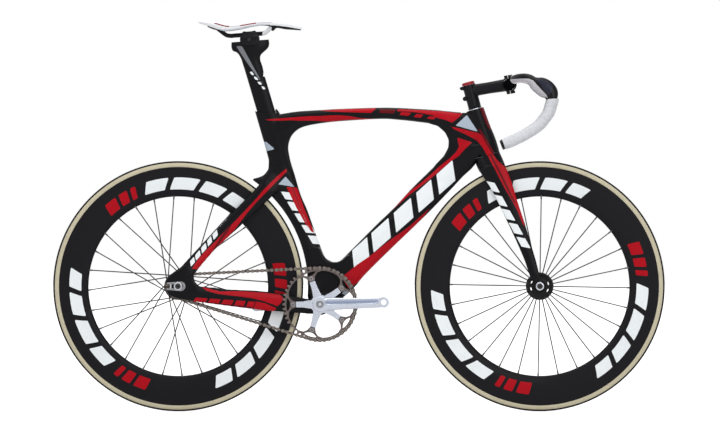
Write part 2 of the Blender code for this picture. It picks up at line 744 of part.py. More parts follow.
# Saddle stations: place ahead of the tilt axis, top and lower edge above it, half width
PADDING_ROWS = (
    (-0.1335, 0.0390, 0.0350, 0.040),
    (-0.1190, 0.0420, 0.0304, 0.062),
    (-0.0950, 0.0385, 0.0224, 0.068),
    (-0.0550, 0.0292, 0.0179, 0.064),
    (-0.0256, 0.0315, 0.0224, 0.051),
    (0.0010, 0.0360, 0.0270, 0.038),
    (0.0320, 0.0405, 0.0304, 0.027),
    (0.0620, 0.0406, 0.0304, 0.022),
    (0.0950, 0.0380, 0.0277, 0.020),
    (0.1210, 0.0320, 0.0224, 0.018),
    (0.1360, 0.0235, 0.0185, 0.011),
)
SHELL_ROWS = (
    (-0.1120, 0.0320, 0.0250, 0.044),
    (-0.0950, 0.0280, 0.0178, 0.050),
    (-0.0780, 0.0250, 0.0160, 0.051),
    (-0.0550, 0.0220, 0.0165, 0.050),
    (-0.0250, 0.0255, 0.0212, 0.039),
    (0.0010, 0.0305, 0.0260, 0.028),
    (0.0280, 0.0335, 0.0288, 0.0205),
    (0.0520, 0.0345, 0.0270, 0.0165),
    (0.0640, 0.0340, 0.0205, 0.0155),
    (0.0950, 0.0310, 0.0208, 0.0140),
    (0.1210, 0.0260, 0.0185, 0.0120),
    (0.1320, 0.0220, 0.0165, 0.0085),
)


def cushion_ring(ahead, top, low, half):
    """The cushion's cage at one place: a crowned top with a shallow channel and drawn-in sides."""
    tall = top - low
    right = (
        (0.00, top - 0.0015),
        (0.38, top + 0.0006),
        (0.78, top - 0.0006),
        (1.02, low + 0.72 * tall),
        (0.98, low + 0.30 * tall),
        (1.00, low - 0.0004),
        (0.84, low),
    )
    left = [(-across, height) for across, height in reversed(right[1:])]
    ring = []
    for across, height in (*right, (0.0, low), *left):
        ring.append(Vector((TILT_CENTRE.x + ahead, half * across, TILT_CENTRE.y + height)))
    return ring


def shell_rings(grow=0.0):
    """The stiff shell under the cushion."""
    rings = []
    for ahead, top, low, half in SHELL_ROWS:
        ends = [Vector((TILT_CENTRE.x + ahead, TILT_CENTRE.y + height)) for height in (low, top)]
        rings.append(section(*ends, half, squareness=0.55, grow=grow))
    if grow:
        rings[0] = [point - Vector((grow, 0.0, 0.0)) for point in rings[0]]
        rings[-1] = [point + Vector((grow, 0.0, 0.0)) for point in rings[-1]]
    return rings


def rail_rings(side, grow=0.0):
    """One rail: straight through the clamp, with its ends turned up into the shell."""
    half = RAIL_SPACING / 2
    path = [
        Vector((-0.0860, side * 0.031, 0.0215)),
        Vector((-0.0740, side * 0.029, 0.0120)),
        Vector((-0.0620, side * 0.024, 0.0035)),
    ]
    for along in (-0.050, -0.038, 0.036, 0.040):
        place = SADDLE_LINE.at(along) - TILT_CENTRE
        path.append(Vector((place.x, side * half, place.y)))
    path += [
        Vector((0.0510, side * 0.0180, 0.0145)),
        Vector((0.0600, side * 0.0130, 0.0215)),
        Vector((0.0690, side * 0.0090, 0.0265)),
    ]
    path = [point + spread(TILT_CENTRE) for point in smooth_path(path, 2)]
    path[0] += (path[0] - path[1]).normalized() * grow
    path[-1] += (path[-1] - path[-2]).normalized() * grow
    radii = [RAIL_RADIUS + grow] * len(path)
    return tube_rings(path, radii, Vector((0.0, 1.0, 0.0)), 8)


def build_saddle(shop):
    """Cushion, shell and two rails."""
    rings = [cushion_ring(*row) for row in PADDING_ROWS]
    padding = shop.loft("saddle_padding", rings, "white_cover", cage=True)
    soften = padding.modifiers.new("soften", "SUBSURF")
    soften.levels = soften.render_levels = 1
    shop.cut(padding, shop.loft(None, shell_rings(GAP), None))
    shell = shop.loft("saddle_shell", shell_rings(), "black_plastic")
    made = [padding, shell]
    for side, word in ((1, "left"), (-1, "right")):
        socket = shop.loft(None, rail_rings(side, 2 * GAP), None)
        shop.cut(shell, socket)
        made.append(shop.loft(f"saddle_rail_{word}", rail_rings(side), "black_alloy"))
    return made


def build_seat(shop):
    """The post, its clamp, the saddle clamp and the saddle, each on its own axis."""
    build_post_clamp(shop)
    shop.carry(shop.pivot("post_slide", spread(SEAT_LINE.at(SEAT_TUBE_LENGTH))), [build_post(shop)])
    shop.carry(shop.pivot("saddle_tilt", spread(TILT_CENTRE)), build_saddle_clamp(shop))
    shop.carry(shop.pivot("saddle_slide", spread(TILT_CENTRE)), build_saddle(shop))


# Fork: height on the steering axis, rear and front edge, then the half width or both faces across Y
CROWN_ROWS = (
    (HEAD_LOW - GAP, 0.0340, -0.0316, 0.0205),
    (HEAD_LOW - 0.012, 0.0380, -0.0340, 0.0230),
    (HEAD_LOW - 0.029, 0.0360, -0.0365, 0.0265),
    (HEAD_LOW - 0.049, 0.0310, -0.0380, 0.0290),
    (HEAD_LOW - 0.074, 0.0215, -0.0410, 0.0303),
)
BLADE_ROWS = (
    (0.330, 0.0315, -0.0375, 0.0178, 0.0292),
    (0.285, 0.0170, -0.0420, 0.0180, 0.0305),
    (0.236, 0.0070, -0.0430, 0.0200, 0.0325),
    (0.175, -0.0040, -0.0460, 0.0265, 0.0385),
    (0.120, -0.0130, -0.0470, 0.0350, 0.0465),
    (0.072, -0.0190, -0.0480, 0.0430, 0.0535),
    (0.038, -0.0205, -0.0475, 0.0485, 0.0562),
    (0.018, -0.0235, -0.0480, 0.0498, 0.0562),
)
TIP_OUTLINE = (
    (0.030, -0.0240),
    (0.030, -0.0450),
    (0.012, -0.0515),
    (-0.006, -0.0505),
    (-0.011, -0.0470),
    (-0.011, -0.0325),
    (-0.006, -0.0285),
    (0.010, -0.0265),
)


def build_fork(shop):
    """Crown, blades, tips and steerer, joined as one moulding."""
    rings = []
    for along, rear, front, half in CROWN_ROWS:
        rings.append(section(STEER_LINE.at(along, front), STEER_LINE.at(along, rear), half, squareness=0.9))
    fork = shop.loft("fork", rings, "black_paint")
    arch = tyre_room(shop, FRONT_AXLE, WHEEL_RADIUS + CROWN_TYRE_GAP, 0.0175)
    shop.cut(fork, arch)
    slot = FRONT_AXLE_RADIUS + GAP
    slot_arc = arc((0.0, 0.0), slot, 0.0, pi, 8)
    mouth = [Vector((slot, -0.03)), *slot_arc, Vector((-slot, -0.03))]
    slot_line = SideLine(FRONT_AXLE, FRONT_AXLE - STEER_LINE.across)
    mouth_outline = [slot_line.at(point.x, point.y) for point in mouth]
    for side in (1, -1):
        rings = []
        for along, rear, front, inner, outer in BLADE_ROWS:
            low, high = STEER_LINE.at(along, front), STEER_LINE.at(along, rear)
            half, middle = (outer - inner) / 2, side * (outer + inner) / 2
            rings.append(section(low, high, half, middle, squareness=0.9))
        shop.join(fork, shop.loft(None, rings, None))
        faces = sorted((side * FRONT_DROPOUT_INNER, side * (FRONT_DROPOUT_INNER + FRONT_TIP_THICKNESS)))
        tip = [STEER_LINE.at(*point) for point in TIP_OUTLINE]
        shop.join(fork, shop.plate(None, [tip], *faces, None))
        shop.cut(fork, shop.plate(None, [mouth_outline], min(faces) - 0.004, max(faces) + 0.004, None))
    steerer = drum(STEERER_RADIUS, HEAD_LOW - 0.015, STEM_TOP - 0.001)
    shop.join(fork, shop.turned(None, steerer, None, spread(STEER_FOOT), "steer", closed=False))
    return fork


def build_headset(shop):
    """The two bearings in the head tube, and the spacer that turns with the fork."""
    inner = STEERER_RADIUS + GAP
    foot = spread(STEER_FOOT)
    low = ring_wall(BEARING_RADIUS, inner, HEAD_LOW + GAP, HEAD_LOW + BEARING_HEIGHT)
    shop.turned("headset_lower", low, "silver", foot, "steer")
    cover = HEAD_HIGH + 0.0025
    high = ring_wall(BEARING_RADIUS, inner, HEAD_HIGH - BEARING_HEIGHT + GAP, cover)
    shop.turned("headset_upper", high, "silver", foot, "steer")
    spacer = ring_wall(STEERER_RADIUS + 0.0042, inner, cover + GAP, STEM_FOOT - GAP)
    return shop.turned("headset_spacer", spacer, "black_alloy", foot, "steer")


def bar_drum(shop, radius, half):
    """A drum round the handlebar's clamped middle."""
    return shop.turned(None, drum(radius, -half, half), None, spread(BAR_CENTRE), closed=False, steps=32)


def stem_slab(shop, start, end, reach, half):
    """A helper block square to the stem, between two distances along it."""
    corners = ((start, -reach), (end, -reach), (end, reach), (start, reach))
    return shop.plate(None, [[STEM_LINE.at(*corner) for corner in corners]], -half, half, None)


def build_stem(shop):
    """Stem, face plate and the cap on the steerer."""
    foot = spread(STEER_FOOT)
    outer = STEERER_RADIUS + GAP + STEM_WALL
    clamp = drum(outer, STEM_FOOT, STEM_TOP)
    stem = shop.turned("stem", clamp, "black_alloy", foot, "steer", closed=False, steps=32)
    rows = ((0.0, 0.0165, -0.0165, 0.0150), (0.03, 0.016, -0.016, 0.0148), (0.095, 0.017, -0.017, 0.0165))
    rings = []
    for along, upper, lower, half in rows:
        rings.append(section(STEM_LINE.at(along, lower), STEM_LINE.at(along, upper), half, squareness=0.9))
    wall = BAR_CLAMP_RADIUS + GAP + 0.0042
    ear = stem_slab(shop, STEM_LENGTH - 0.009, STEM_LENGTH + 0.003, 0.0252, 0.0155)
    shop.join(stem, shop.loft(None, rings, None), bar_drum(shop, wall, 0.021), ear)
    bore = drum(STEERER_RADIUS + GAP, STEM_FOOT - 0.01, STEM_TOP + 0.01)
    shop.cut(stem, shop.turned(None, bore, None, foot, "steer", closed=False))
    seat_for_bar = bar_drum(shop, BAR_CLAMP_RADIUS + GAP, 0.04)
    front_half = stem_slab(shop, STEM_LENGTH - FACE_GAP, STEM_LENGTH + 0.05, 0.05, 0.045)
    shop.cut(stem, front_half, seat_for_bar)

    half_face, middle = drum(wall, -0.021, 0.021), spread(BAR_CENTRE)
    face = shop.turned("stem_faceplate", half_face, "black_alloy", middle, closed=False, steps=32)
    shop.join(face, stem_slab(shop, STEM_LENGTH - 0.003, STEM_LENGTH + 0.009, 0.0252, 0.0155))
    shop.cut(face, seat_for_bar, stem_slab(shop, -0.02, STEM_LENGTH + FACE_GAP, 0.06, 0.06))
    low, high, bevel = STEM_TOP + GAP, STEM_TOP + 0.006, 0.0015
    cap = [(0.0, high), (outer - bevel, high), (outer, high - bevel), (outer, low), (0.0, low)]
    return [stem, face, shop.turned("stem_cap", cap, "red_alloy", foot, "steer", closed=False)]


# The bar's path from its middle to one end: ahead of and above its clamp, then the share of its half width
BAR_ROUTE = (
    (0.000, 0.000, 0.000),
    (0.000, 0.000, 0.120),
    (0.000, 0.000, 0.180),
    (0.004, 0.004, 0.400),
    (0.013, 0.013, 0.630),
    (0.032, 0.017, 0.800),
    (0.053, 0.014, 0.905),
    (0.074, 0.004, 0.960),
    (0.093, -0.010, 0.985),
    (0.108, -0.026, 0.998),
    (0.114, -0.038, 1.000),
    (0.111, -0.056, 1.000),
    (0.105, -0.076, 1.000),
    (0.093, -0.093, 1.000),
    (0.078, -0.110, 1.000),
    (0.049, -0.130, 1.000),
    (0.012, -0.149, 1.000),
    (-0.016, -0.160, 1.000),
)
TAPE_FROM = 10
PATH_STEPS = 2


def bar_half_path(side):
    """Half of the bar's path, from the middle to one end."""
    points = []
    for ahead, above, share in BAR_ROUTE:
        points.append(Vector((BAR_CENTRE.x + ahead, side * share * BAR_HALF_WIDTH, BAR_CENTRE.y + above)))
    return smooth_path(points, PATH_STEPS)


def bar_rings(half_path, radii):
    """Rings round one half of the bar, all started the same way so that one layer fits another."""
    return tube_rings(half_path, radii, Vector((0.0, 0.0, 1.0)), 8)


def build_handlebar(shop):
    """The bent bar, the tape on its drops and the plugs in its ends."""
    halves, made = [], []
    for side, word in ((1, "left"), (-1, "right")):
        half_path = bar_half_path(side)
        last = len(half_path) - 1
        radii, skin = [], []
        for index, place in enumerate(half_path):
            slope = min(max((abs(place.y) - 0.034) / 0.012, 0.0), 1.0)
            radii.append(BAR_CLAMP_RADIUS + (BAR_RADIUS - BAR_CLAMP_RADIUS) * slope)
            share = min(1.0, (last - index) / 6)
            skin.append(BAR_RADIUS + 0.0012 + (TAPE_THICKNESS - 0.0012) * share)
        halves.append(bar_rings(half_path, radii))
        taped = slice(TAPE_FROM * PATH_STEPS, None)
        outer = bar_rings(half_path, skin)[taped]
        lining = bar_rings(half_path, [BAR_RADIUS + GAP] * len(half_path))[taped]
        tape = shop.loft(f"bar_tape_{word}", [*outer, *reversed(lining)], "white_tape", closed=True)
        end, way = half_path[-1], (half_path[-1] - half_path[-2]).normalized()
        stops = [end + way * distance for distance in (GAP, 0.0028, 0.0040)]
        plug_rings = tube_rings(stops, (0.0135, 0.0135, 0.0105), Vector((0.0, 1.0, 0.0)), 12)
        made += [tape, shop.loft(f"bar_plug_{word}", plug_rings, "black_plastic")]
    left = [list(reversed(ring)) for ring in reversed(halves[0])]
    return [shop.loft("handlebar", [*left, *halves[1][1:]], "black_alloy"), *made]


def around(axle, radius, turn, y):
    """A place at a radius and an angle about an axle."""
    return spread(Vector(axle) + Vector((cos(turn), sin(turn))) * radius, y)


def tyre_profile():
    """The tyre's round section, as (radius, height)."""
    count = 10
    return [
        (TYRE_CENTRE_RADIUS + TYRE_WIDTH / 2 * cos(tau * k / count), -TYRE_WIDTH / 2 * sin(tau * k / count))
        for k in range(count)
    ]


def rim_profile():
    """A deep rim with a bed for the tyre, straight braking sides and a rounded nose."""
    half, bed = RIM_WIDTH / 2, TYRE_WIDTH / 2 + GAP
    edge = TYRE_CENTRE_RADIUS - sqrt(bed**2 - half**2)
    inside = TYRE_CENTRE_RADIUS - bed / cos(pi / 10)
    nose = RIM_INNER_RADIUS
    inner_side = ((edge - 0.018, 0.0112), (nose + 0.030, 0.0102), (nose + 0.009, 0.0070))
    bed_side = inside + 0.0012
    down = [(edge, half), (bed_side, bed / 2), (inside, 0.0), (bed_side, -bed / 2), (edge, -half)]
    up = [(radius, -height) for radius, height in inner_side]
    return [*down, *up, (nose, 0.0), *reversed(inner_side)]


def build_spokes(shop, name, axle, side, flange_out, first, crossing=0.0, stagger=0.0):
    """The spokes of one side, joined by the thin ring of their heads on the flange.

    The spokes start at the first angle and lean by the crossing angle in turn.
    Every second one starts farther out by the stagger, so that they clear.
    """
    low = flange_out + GAP
    high = low + SPOKE_RING_THICKNESS + stagger
    heads = ring_wall(SPOKE_CIRCLE_RADIUS + 0.0014, SPOKE_CIRCLE_RADIUS - 0.0014, low, high)
    profile = both_ways(heads) if side > 0 else heads
    spokes = shop.turned(name, profile, "spoke_steel", spread(axle), steps=20)
    rim_end = RIM_INNER_RADIUS + 0.0002
    for index in range(SPOKES_PER_SIDE):
        turn = first + tau * index / SPOKES_PER_SIDE
        lift = SPOKE_RING_THICKNESS - 0.0009 + stagger * (index % 2)
        start = around(axle, SPOKE_CIRCLE_RADIUS, turn, side * (low + lift))
        end = around(axle, rim_end, turn + crossing * (1 if index % 2 else -1), side * 0.0018)
        way = (end - start).normalized()
        sideways = way.cross(Vector((0.0, 1.0, 0.0))).normalized()
        rings = [circle_ring(place, way, sideways, SPOKE_DIAMETER / 2, 4) for place in (start, end)]
        shop.join(spokes, shop.loft(None, rings, None))
    return spokes


def flange(out, body):
    """One flange's outer profile, from its outer face inwards, for the upper half of a hub."""
    inner = out - FLANGE_THICKNESS
    return [(body, out), (FLANGE_RADIUS, out), (FLANGE_RADIUS, inner), (body, inner - 0.002)]


def build_front_wheel(shop):
    """Tyre, rim, hub and radial spokes."""
    centre = spread(FRONT_AXLE)
    half = FRONT_DROPOUT_INNER - 0.0035
    bore = FRONT_AXLE_RADIUS + GAP
    upper = [(0.0115, half), (0.0140, half - 0.002), *flange(FRONT_FLANGE_OUT, 0.0140), (0.0125, 0.018)]
    hub = [*upper, *both_ways(upper), (bore, -half), (bore, half)]
    second = FRONT_FIRST_SPOKE + pi / SPOKES_PER_SIDE
    return [
        shop.turned("front_tyre", tyre_profile(), "cream_rubber", centre, steps=WHEEL_STEPS),
        shop.turned("front_rim", rim_profile(), "black_rim", centre, steps=WHEEL_STEPS),
        shop.turned("front_hub", hub, "black_alloy", centre, steps=20),
        build_spokes(shop, "front_spokes_left", FRONT_AXLE, 1, FRONT_FLANGE_OUT, second),
        build_spokes(shop, "front_spokes_right", FRONT_AXLE, -1, FRONT_FLANGE_OUT, FRONT_FIRST_SPOKE),
    ]


def build_rear_wheel(shop):
    """Tyre, rim, hub, crossed spokes, sprocket and lockring."""
    centre = spread(REAR_AXLE)
    half = REAR_DROPOUT_INNER - 0.0035
    bore = REAR_AXLE_RADIUS + GAP
    thread, cog_out = 0.0170, CHAIN_LINE + TOOTH_HALF_WIDTH
    right = [(0.0105, half), (0.0130, half - 0.002), (0.0130, cog_out + 0.0060), (thread, cog_out + 0.0060)]
    right += flange(REAR_RIGHT_FLANGE_OUT, thread)
    left = [(0.0105, half), (0.0130, half - 0.002), *flange(REAR_LEFT_FLANGE_OUT, 0.0130)]
    hub = [*right, (0.0145, 0.012), (0.0145, -0.014), *both_ways(left), (bore, -half), (bore, half)]
    teeth = toothed_outline(REAR_AXLE, SPROCKET_TEETH, pi / 2)
    hole = arc(REAR_AXLE, thread + GAP, 0.0, tau * 31 / 32, 31)
    lock = [(0.0200, cog_out + 0.0045), (0.0220, cog_out + 0.0030), (0.0220, cog_out + GAP)]
    lock += [(thread + GAP, cog_out + GAP), (thread + GAP, cog_out + 0.0045)]
    cross = SPOKE_CROSSINGS * tau / SPOKES_PER_SIDE
    second = REAR_FIRST_SPOKE + pi / SPOKES_PER_SIDE
    left_spokes = REAR_LEFT_FLANGE_OUT, second, cross, SPOKE_STAGGER
    right_spokes = REAR_RIGHT_FLANGE_OUT, REAR_FIRST_SPOKE, cross, SPOKE_STAGGER
    return [
        shop.turned("rear_tyre", tyre_profile(), "cream_rubber", centre, steps=WHEEL_STEPS),
        shop.turned("rear_rim", rim_profile(), "black_rim", centre, steps=WHEEL_STEPS),
        shop.turned("rear_hub", hub, "black_alloy", centre, steps=20),
        build_spokes(shop, "rear_spokes_left", REAR_AXLE, 1, *left_spokes),
        build_spokes(shop, "rear_spokes_right", REAR_AXLE, -1, *right_spokes),
        shop.plate("sprocket", [teeth, hole], -cog_out, TOOTH_HALF_WIDTH - CHAIN_LINE, "dark_steel"),
        shop.turned("lockring", lock, "silver", centre),
    ]


def build_axle(shop, word, centre, radius, inner, thickness):
    """A fixed axle with its inner collars, and the nut and washer outside each end."""
    nut_foot = inner + thickness + GAP
    half = nut_foot + NUT_HEIGHT + 0.003
    cone = ((radius, inner - GAP), (0.008, inner - GAP), (0.008, inner - 0.003), (radius, inner - 0.003))
    upper = [(0.0, half), (radius, half), *cone]
    lower = [(rad, -height) for rad, height in reversed(upper)]
    made = [shop.turned(f"{word}_axle", [*upper, *lower], "silver", spread(centre), closed=False, steps=12)]
    top = nut_foot + NUT_HEIGHT
    washer = nut_foot + 0.0022
    nut = [(0.0085, top), (0.0085, washer), (NUT_RADIUS, washer), (NUT_RADIUS, nut_foot)]
    nut += [(radius + GAP, nut_foot), (radius + GAP, top)]
    made.append(shop.turned(f"{word}_axle_nut_right", nut, "silver", spread(centre), steps=12))
    made.append(shop.turned(f"{word}_axle_nut_left", both_ways(nut), "silver", spread(centre), steps=12))
    return made


def pitch_radius(teeth):
    """The radius of a toothed wheel where the chain's pins run."""
    return CHAIN_PITCH / (2 * sin(pi / teeth))


def toothed_outline(centre, teeth, first):
    """A chain wheel's edge: four points a tooth."""
    pitch = tau / teeth
    middle = pitch_radius(teeth)
    shape = ((-0.13, middle + 0.0033), (0.13, middle + 0.0033), (0.5, middle - 0.0042))
    outline = []
    for tooth in range(teeth):
        for offset, radius in shape:
            turn = first + (tooth + offset) * pitch
            outline.append(Vector(centre) + Vector((cos(turn), sin(turn))) * radius)
    return outline


def polar_outline(centre, turns):
    """Points at (angle, radius) about a centre."""
    return [Vector(centre) + Vector((cos(turn), sin(turn))) * radius for turn, radius in turns]


def build_chainring(shop):
    """The toothed ring with five tabs and a window behind each of them.

    Both outlines are angles in degrees from the middle of a tab, and radii.
    """
    tab_side = (4, 0.0655), (5.5, 0.070), (8.5, 0.0775), (15, 0.086), (22, 0.090)
    inner_edge = *tab_side, (29, 0.0902), (36, 0.0903)
    window_low = (-10.5, 0.0866), (-5, 0.0808), (0, 0.0795), (5, 0.0808), (10.5, 0.0866)
    window = *window_low, (5, 0.0892), (-5, 0.0892)
    inside, outlines = [], []
    for arm in range(SPIDER_ARMS):
        middle = FIRST_SPIDER_ARM + tau * arm / SPIDER_ARMS
        before = [(middle - radians(angle), radius) for angle, radius in reversed(inner_edge[:-1])]
        after = [(middle + radians(angle), radius) for angle, radius in inner_edge]
        inside += [*before, *after]
        outlines.append(polar_outline(BB, [(middle + radians(angle), radius) for angle, radius in window]))
    teeth = toothed_outline(BB, CHAINRING_TEETH, pi / 2)
    edges = [teeth, polar_outline(BB, inside), *outlines]
    faces = -CHAIN_LINE - TOOTH_HALF_WIDTH, TOOTH_HALF_WIDTH - CHAIN_LINE
    return shop.plate("chainring", edges, *faces, "dark_steel")


def spider_outline(reach, root):
    """A five-armed star, as long as stated from the centre to the middle of each arm's end."""
    foot, end = 0.0092, 0.0075
    outline = []
    half_turn = pi / SPIDER_ARMS
    for arm in range(SPIDER_ARMS):
        middle = FIRST_SPIDER_ARM + tau * arm / SPIDER_ARMS
        way = Vector((cos(middle), sin(middle)))
        line = SideLine(BB, BB + way)
        for corner in ((0.034, -foot), (reach, -end), (reach, end), (0.034, foot)):
            outline.append(line.at(*corner))
        valley = middle + half_turn
        outline.append(BB + Vector((cos(valley), sin(valley))) * root)
    return outline


def crank_arm(shop, name, side, turn):
    """A crank arm on one side, with the boss round the spindle and the eye for the pedal."""
    line = SideLine(BB, angle=turn)
    rows = (
        (0.000, 0.0175, -0.0175, 0.0460, 0.0600),
        (0.030, 0.0155, -0.0150, 0.0470, 0.0610),
        (0.080, 0.0138, -0.0138, 0.0505, 0.0640),
        (0.130, 0.0130, -0.0130, 0.0550, 0.0685),
        (CRANK_LENGTH, 0.0135, -0.0135, 0.0582, 0.0705),
    )
    rings = []
    for along, upper, lower, inner, outer in rows:
        low, high = line.at(along, lower), line.at(along, upper)
        rings.append(section(low, high, (outer - inner) / 2, side * (outer + inner) / 2, squareness=0.75))
    arm = shop.loft(name, rings, "silver")
    boss_in, boss_out = BB_SHELL_WIDTH / 2 + CUP_FLANGE + 0.0016, 0.0604
    boss = sorted((-side * boss_in, -side * boss_out))
    shop.join(arm, shop.turned(None, drum(0.0190, *boss), None, spread(BB), closed=False, steps=32))
    eye = sorted((-side * PEDAL_FACE_IN, -side * PEDAL_FACE_OUT))
    place = spread(line.at(CRANK_LENGTH))
    shop.join(arm, shop.turned(None, drum(CRANK_EYE_RADIUS, *eye), None, place, closed=False))
    return arm


def finish_crank(shop, arm, side, turn):
    """Bores a crank arm for the spindle and the pedal."""
    place = spread(SideLine(BB, angle=turn).at(CRANK_LENGTH))
    hole = drum(PEDAL_HOLE_RADIUS, -0.08, 0.08)
    shop.cut(arm, shop.turned(None, hole, None, place, closed=False, steps=16))
    spindle = sorted((-side * (BB_SHELL_WIDTH / 2), -side * (SPINDLE_HALF_LENGTH + GAP)))
    bore = drum(SPINDLE_RADIUS + GAP, *spindle)
    shop.cut(arm, shop.turned(None, bore, None, spread(BB), closed=False))


def build_crankset(shop):
    """Spindle, both arms, the spider on the right arm and the chainring."""
    right = crank_arm(shop, "crank_arm_right", -1, CRANK_LIFT)
    cup_room = drum(0.0235, 0.03, BB_SHELL_WIDTH / 2 + CUP_FLANGE + 0.0012)
    cup_room = shop.turned(None, cup_room, None, spread(BB), closed=False, steps=30)
    spider = shop.plate(None, [spider_outline(0.0640, 0.0250)], -SPIDER_OUT, -0.0385, None)
    shop.cut(spider, cup_room)
    shop.join(right, spider)
    tab_out, tab_half = CHAIN_LINE - TOOTH_HALF_WIDTH - GAP, 0.0065
    for arm in range(SPIDER_ARMS):
        line = SideLine(BB, angle=FIRST_SPIDER_ARM + tau * arm / SPIDER_ARMS)
        corners = ((0.045, -tab_half), (0.079, -tab_half), (0.079, tab_half), (0.045, tab_half))
        tab = [line.at(*corner) for corner in corners]
        shop.join(right, shop.plate(None, [tab], -tab_out, -0.0368, None))
    finish_crank(shop, right, -1, CRANK_LIFT)
    left = crank_arm(shop, "crank_arm_left", 1, CRANK_LIFT + pi)
    finish_crank(shop, left, 1, CRANK_LIFT + pi)
    half = SPINDLE_HALF_LENGTH
    shaft = drum(SPINDLE_RADIUS, -half, half)
    spindle = shop.turned("crank_spindle", shaft, "silver", spread(BB), closed=False)
    return [right, left, spindle, build_chainring(shop)]


def build_bearing_cups(shop):
    """The cups in the bottom bracket shell."""
    face = BB_SHELL_WIDTH / 2
    bore = SPINDLE_RADIUS + GAP
    cup = [
        (0.0220, face + CUP_FLANGE),
        (0.0220, face + GAP),
        (CUP_RADIUS, face + GAP),
        (CUP_RADIUS, face - 0.014),
        (bore, face - 0.014),
        (bore, face + CUP_FLANGE),
    ]
    shop.turned("bearing_cup_right", cup, "black_alloy", spread(BB))
    shop.turned("bearing_cup_left", both_ways(cup), "black_alloy", spread(BB))


def chain_path():
    """The chain's pin line: round the chainring's front, then round the sprocket's back.

    Each place comes with the direction away from the loop's inside.
    """
    small, large = pitch_radius(SPROCKET_TEETH), pitch_radius(CHAINRING_TEETH)
    to_front = BB - REAR_AXLE
    tilt = atan2(to_front.y, to_front.x)
    lean = asin((large - small) / to_front.length)
    path = []
    for centre, radius, start, end, steps in (
        (BB, large, tilt - pi / 2 - lean, tilt + pi / 2 + lean, 22),
        (REAR_AXLE, small, tilt + pi / 2 + lean, tilt + 3 * pi / 2 - lean, 12),
    ):
        for index in range(steps + 1):
            turn = start + (end - start) * index / steps
            way = Vector((cos(turn), sin(turn)))
            path.append((centre + way * radius, way))
    return path


def build_chain(shop):
    """The chain as one closed channel whose side plates straddle the teeth."""
    half_outer, half_inner = CHAIN_HALF_WIDTH, TOOTH_HALF_WIDTH + 0.00035
    shape = (
        (0.0046, -half_outer),
        (0.0046, half_outer),
        (-0.0042, half_outer),
        (-0.0042, half_inner),
        (0.0039, half_inner),
        (0.0039, -half_inner),
        (-0.0042, -half_inner),
        (-0.0042, -half_outer),
    )
    rings = []
    for place, way in chain_path():
        rings.append([spread(place + way * out, y - CHAIN_LINE) for out, y in shape])
    return shop.loft("chain", rings, "dark_steel", closed=True)


def build_headset_and_front(shop):
    """All that steers: fork, stem, handlebar and front wheel."""
    front_axle = build_axle(
        shop, "front", FRONT_AXLE, FRONT_AXLE_RADIUS, FRONT_DROPOUT_INNER, FRONT_TIP_THICKNESS
    )
    steered = [build_fork(shop), build_headset(shop), *build_stem(shop), *front_axle]
    shop.carry(shop.pivot("steering", spread(STEER_LINE.at(HEAD_LOW))), steered)
    shop.carry(shop.pivot("handlebar_turn", spread(BAR_CENTRE)), build_handlebar(shop))
    shop.carry(shop.pivot("front_wheel_spin", spread(FRONT_AXLE)), build_front_wheel(shop))


def main():
    """Builds every group, and hangs what moves on its axis."""
    shop = Workshop()
    build_frame(shop)
    build_headset_and_front(shop)
    build_seat(shop)
    build_bearing_cups(shop)
    build_chain(shop)
    build_axle(shop, "rear", REAR_AXLE, REAR_AXLE_RADIUS, REAR_DROPOUT_INNER, TRACK_END_THICKNESS)
    shop.carry(shop.pivot("rear_wheel_spin", spread(REAR_AXLE)), build_rear_wheel(shop))
    shop.carry(shop.pivot("crank_spin", spread(BB)), build_crankset(shop))


main()
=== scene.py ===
"""Look model of a track bicycle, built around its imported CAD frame.

X points forward, Y to the rider's left and Z up, in metres, as in the CAD. Every
piece here stands for one or more CAD nodes and rides on the body that they belong to.
"""

from __future__ import annotations

import json
import logging
from collections.abc import Callable, Iterator, Sequence
from contextlib import contextmanager
from dataclasses import dataclass
from enum import Enum
from math import asin, atan2, copysign, cos, pi, radians, sin, tau

import bmesh
import bpy
import numpy as np
from mathutils import Matrix, Vector


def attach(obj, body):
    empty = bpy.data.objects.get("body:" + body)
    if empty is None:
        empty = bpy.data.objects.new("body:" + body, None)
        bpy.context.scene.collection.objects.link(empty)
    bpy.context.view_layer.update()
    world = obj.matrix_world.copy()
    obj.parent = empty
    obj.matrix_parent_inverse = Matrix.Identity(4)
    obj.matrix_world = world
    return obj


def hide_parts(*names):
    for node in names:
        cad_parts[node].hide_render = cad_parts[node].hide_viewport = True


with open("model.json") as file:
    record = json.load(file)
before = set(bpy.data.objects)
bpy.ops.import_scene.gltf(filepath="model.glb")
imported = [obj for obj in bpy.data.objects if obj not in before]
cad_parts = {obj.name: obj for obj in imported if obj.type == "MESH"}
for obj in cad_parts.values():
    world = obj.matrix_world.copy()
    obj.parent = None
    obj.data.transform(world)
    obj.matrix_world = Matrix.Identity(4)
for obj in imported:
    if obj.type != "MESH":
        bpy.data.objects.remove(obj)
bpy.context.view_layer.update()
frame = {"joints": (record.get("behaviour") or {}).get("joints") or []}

Point = tuple[float, float]
Row = tuple[float, ...]
Ring = list[Vector]
Object = bpy.types.Object

LOG = logging.getLogger("bicycle")
JOINTS = {joint["name"]: joint for joint in frame["joints"]}

X_AXIS = Vector((1.0, 0.0, 0.0))
Y_AXIS = Vector((0.0, 1.0, 0.0))
Z_AXIS = Vector((0.0, 0.0, 1.0))

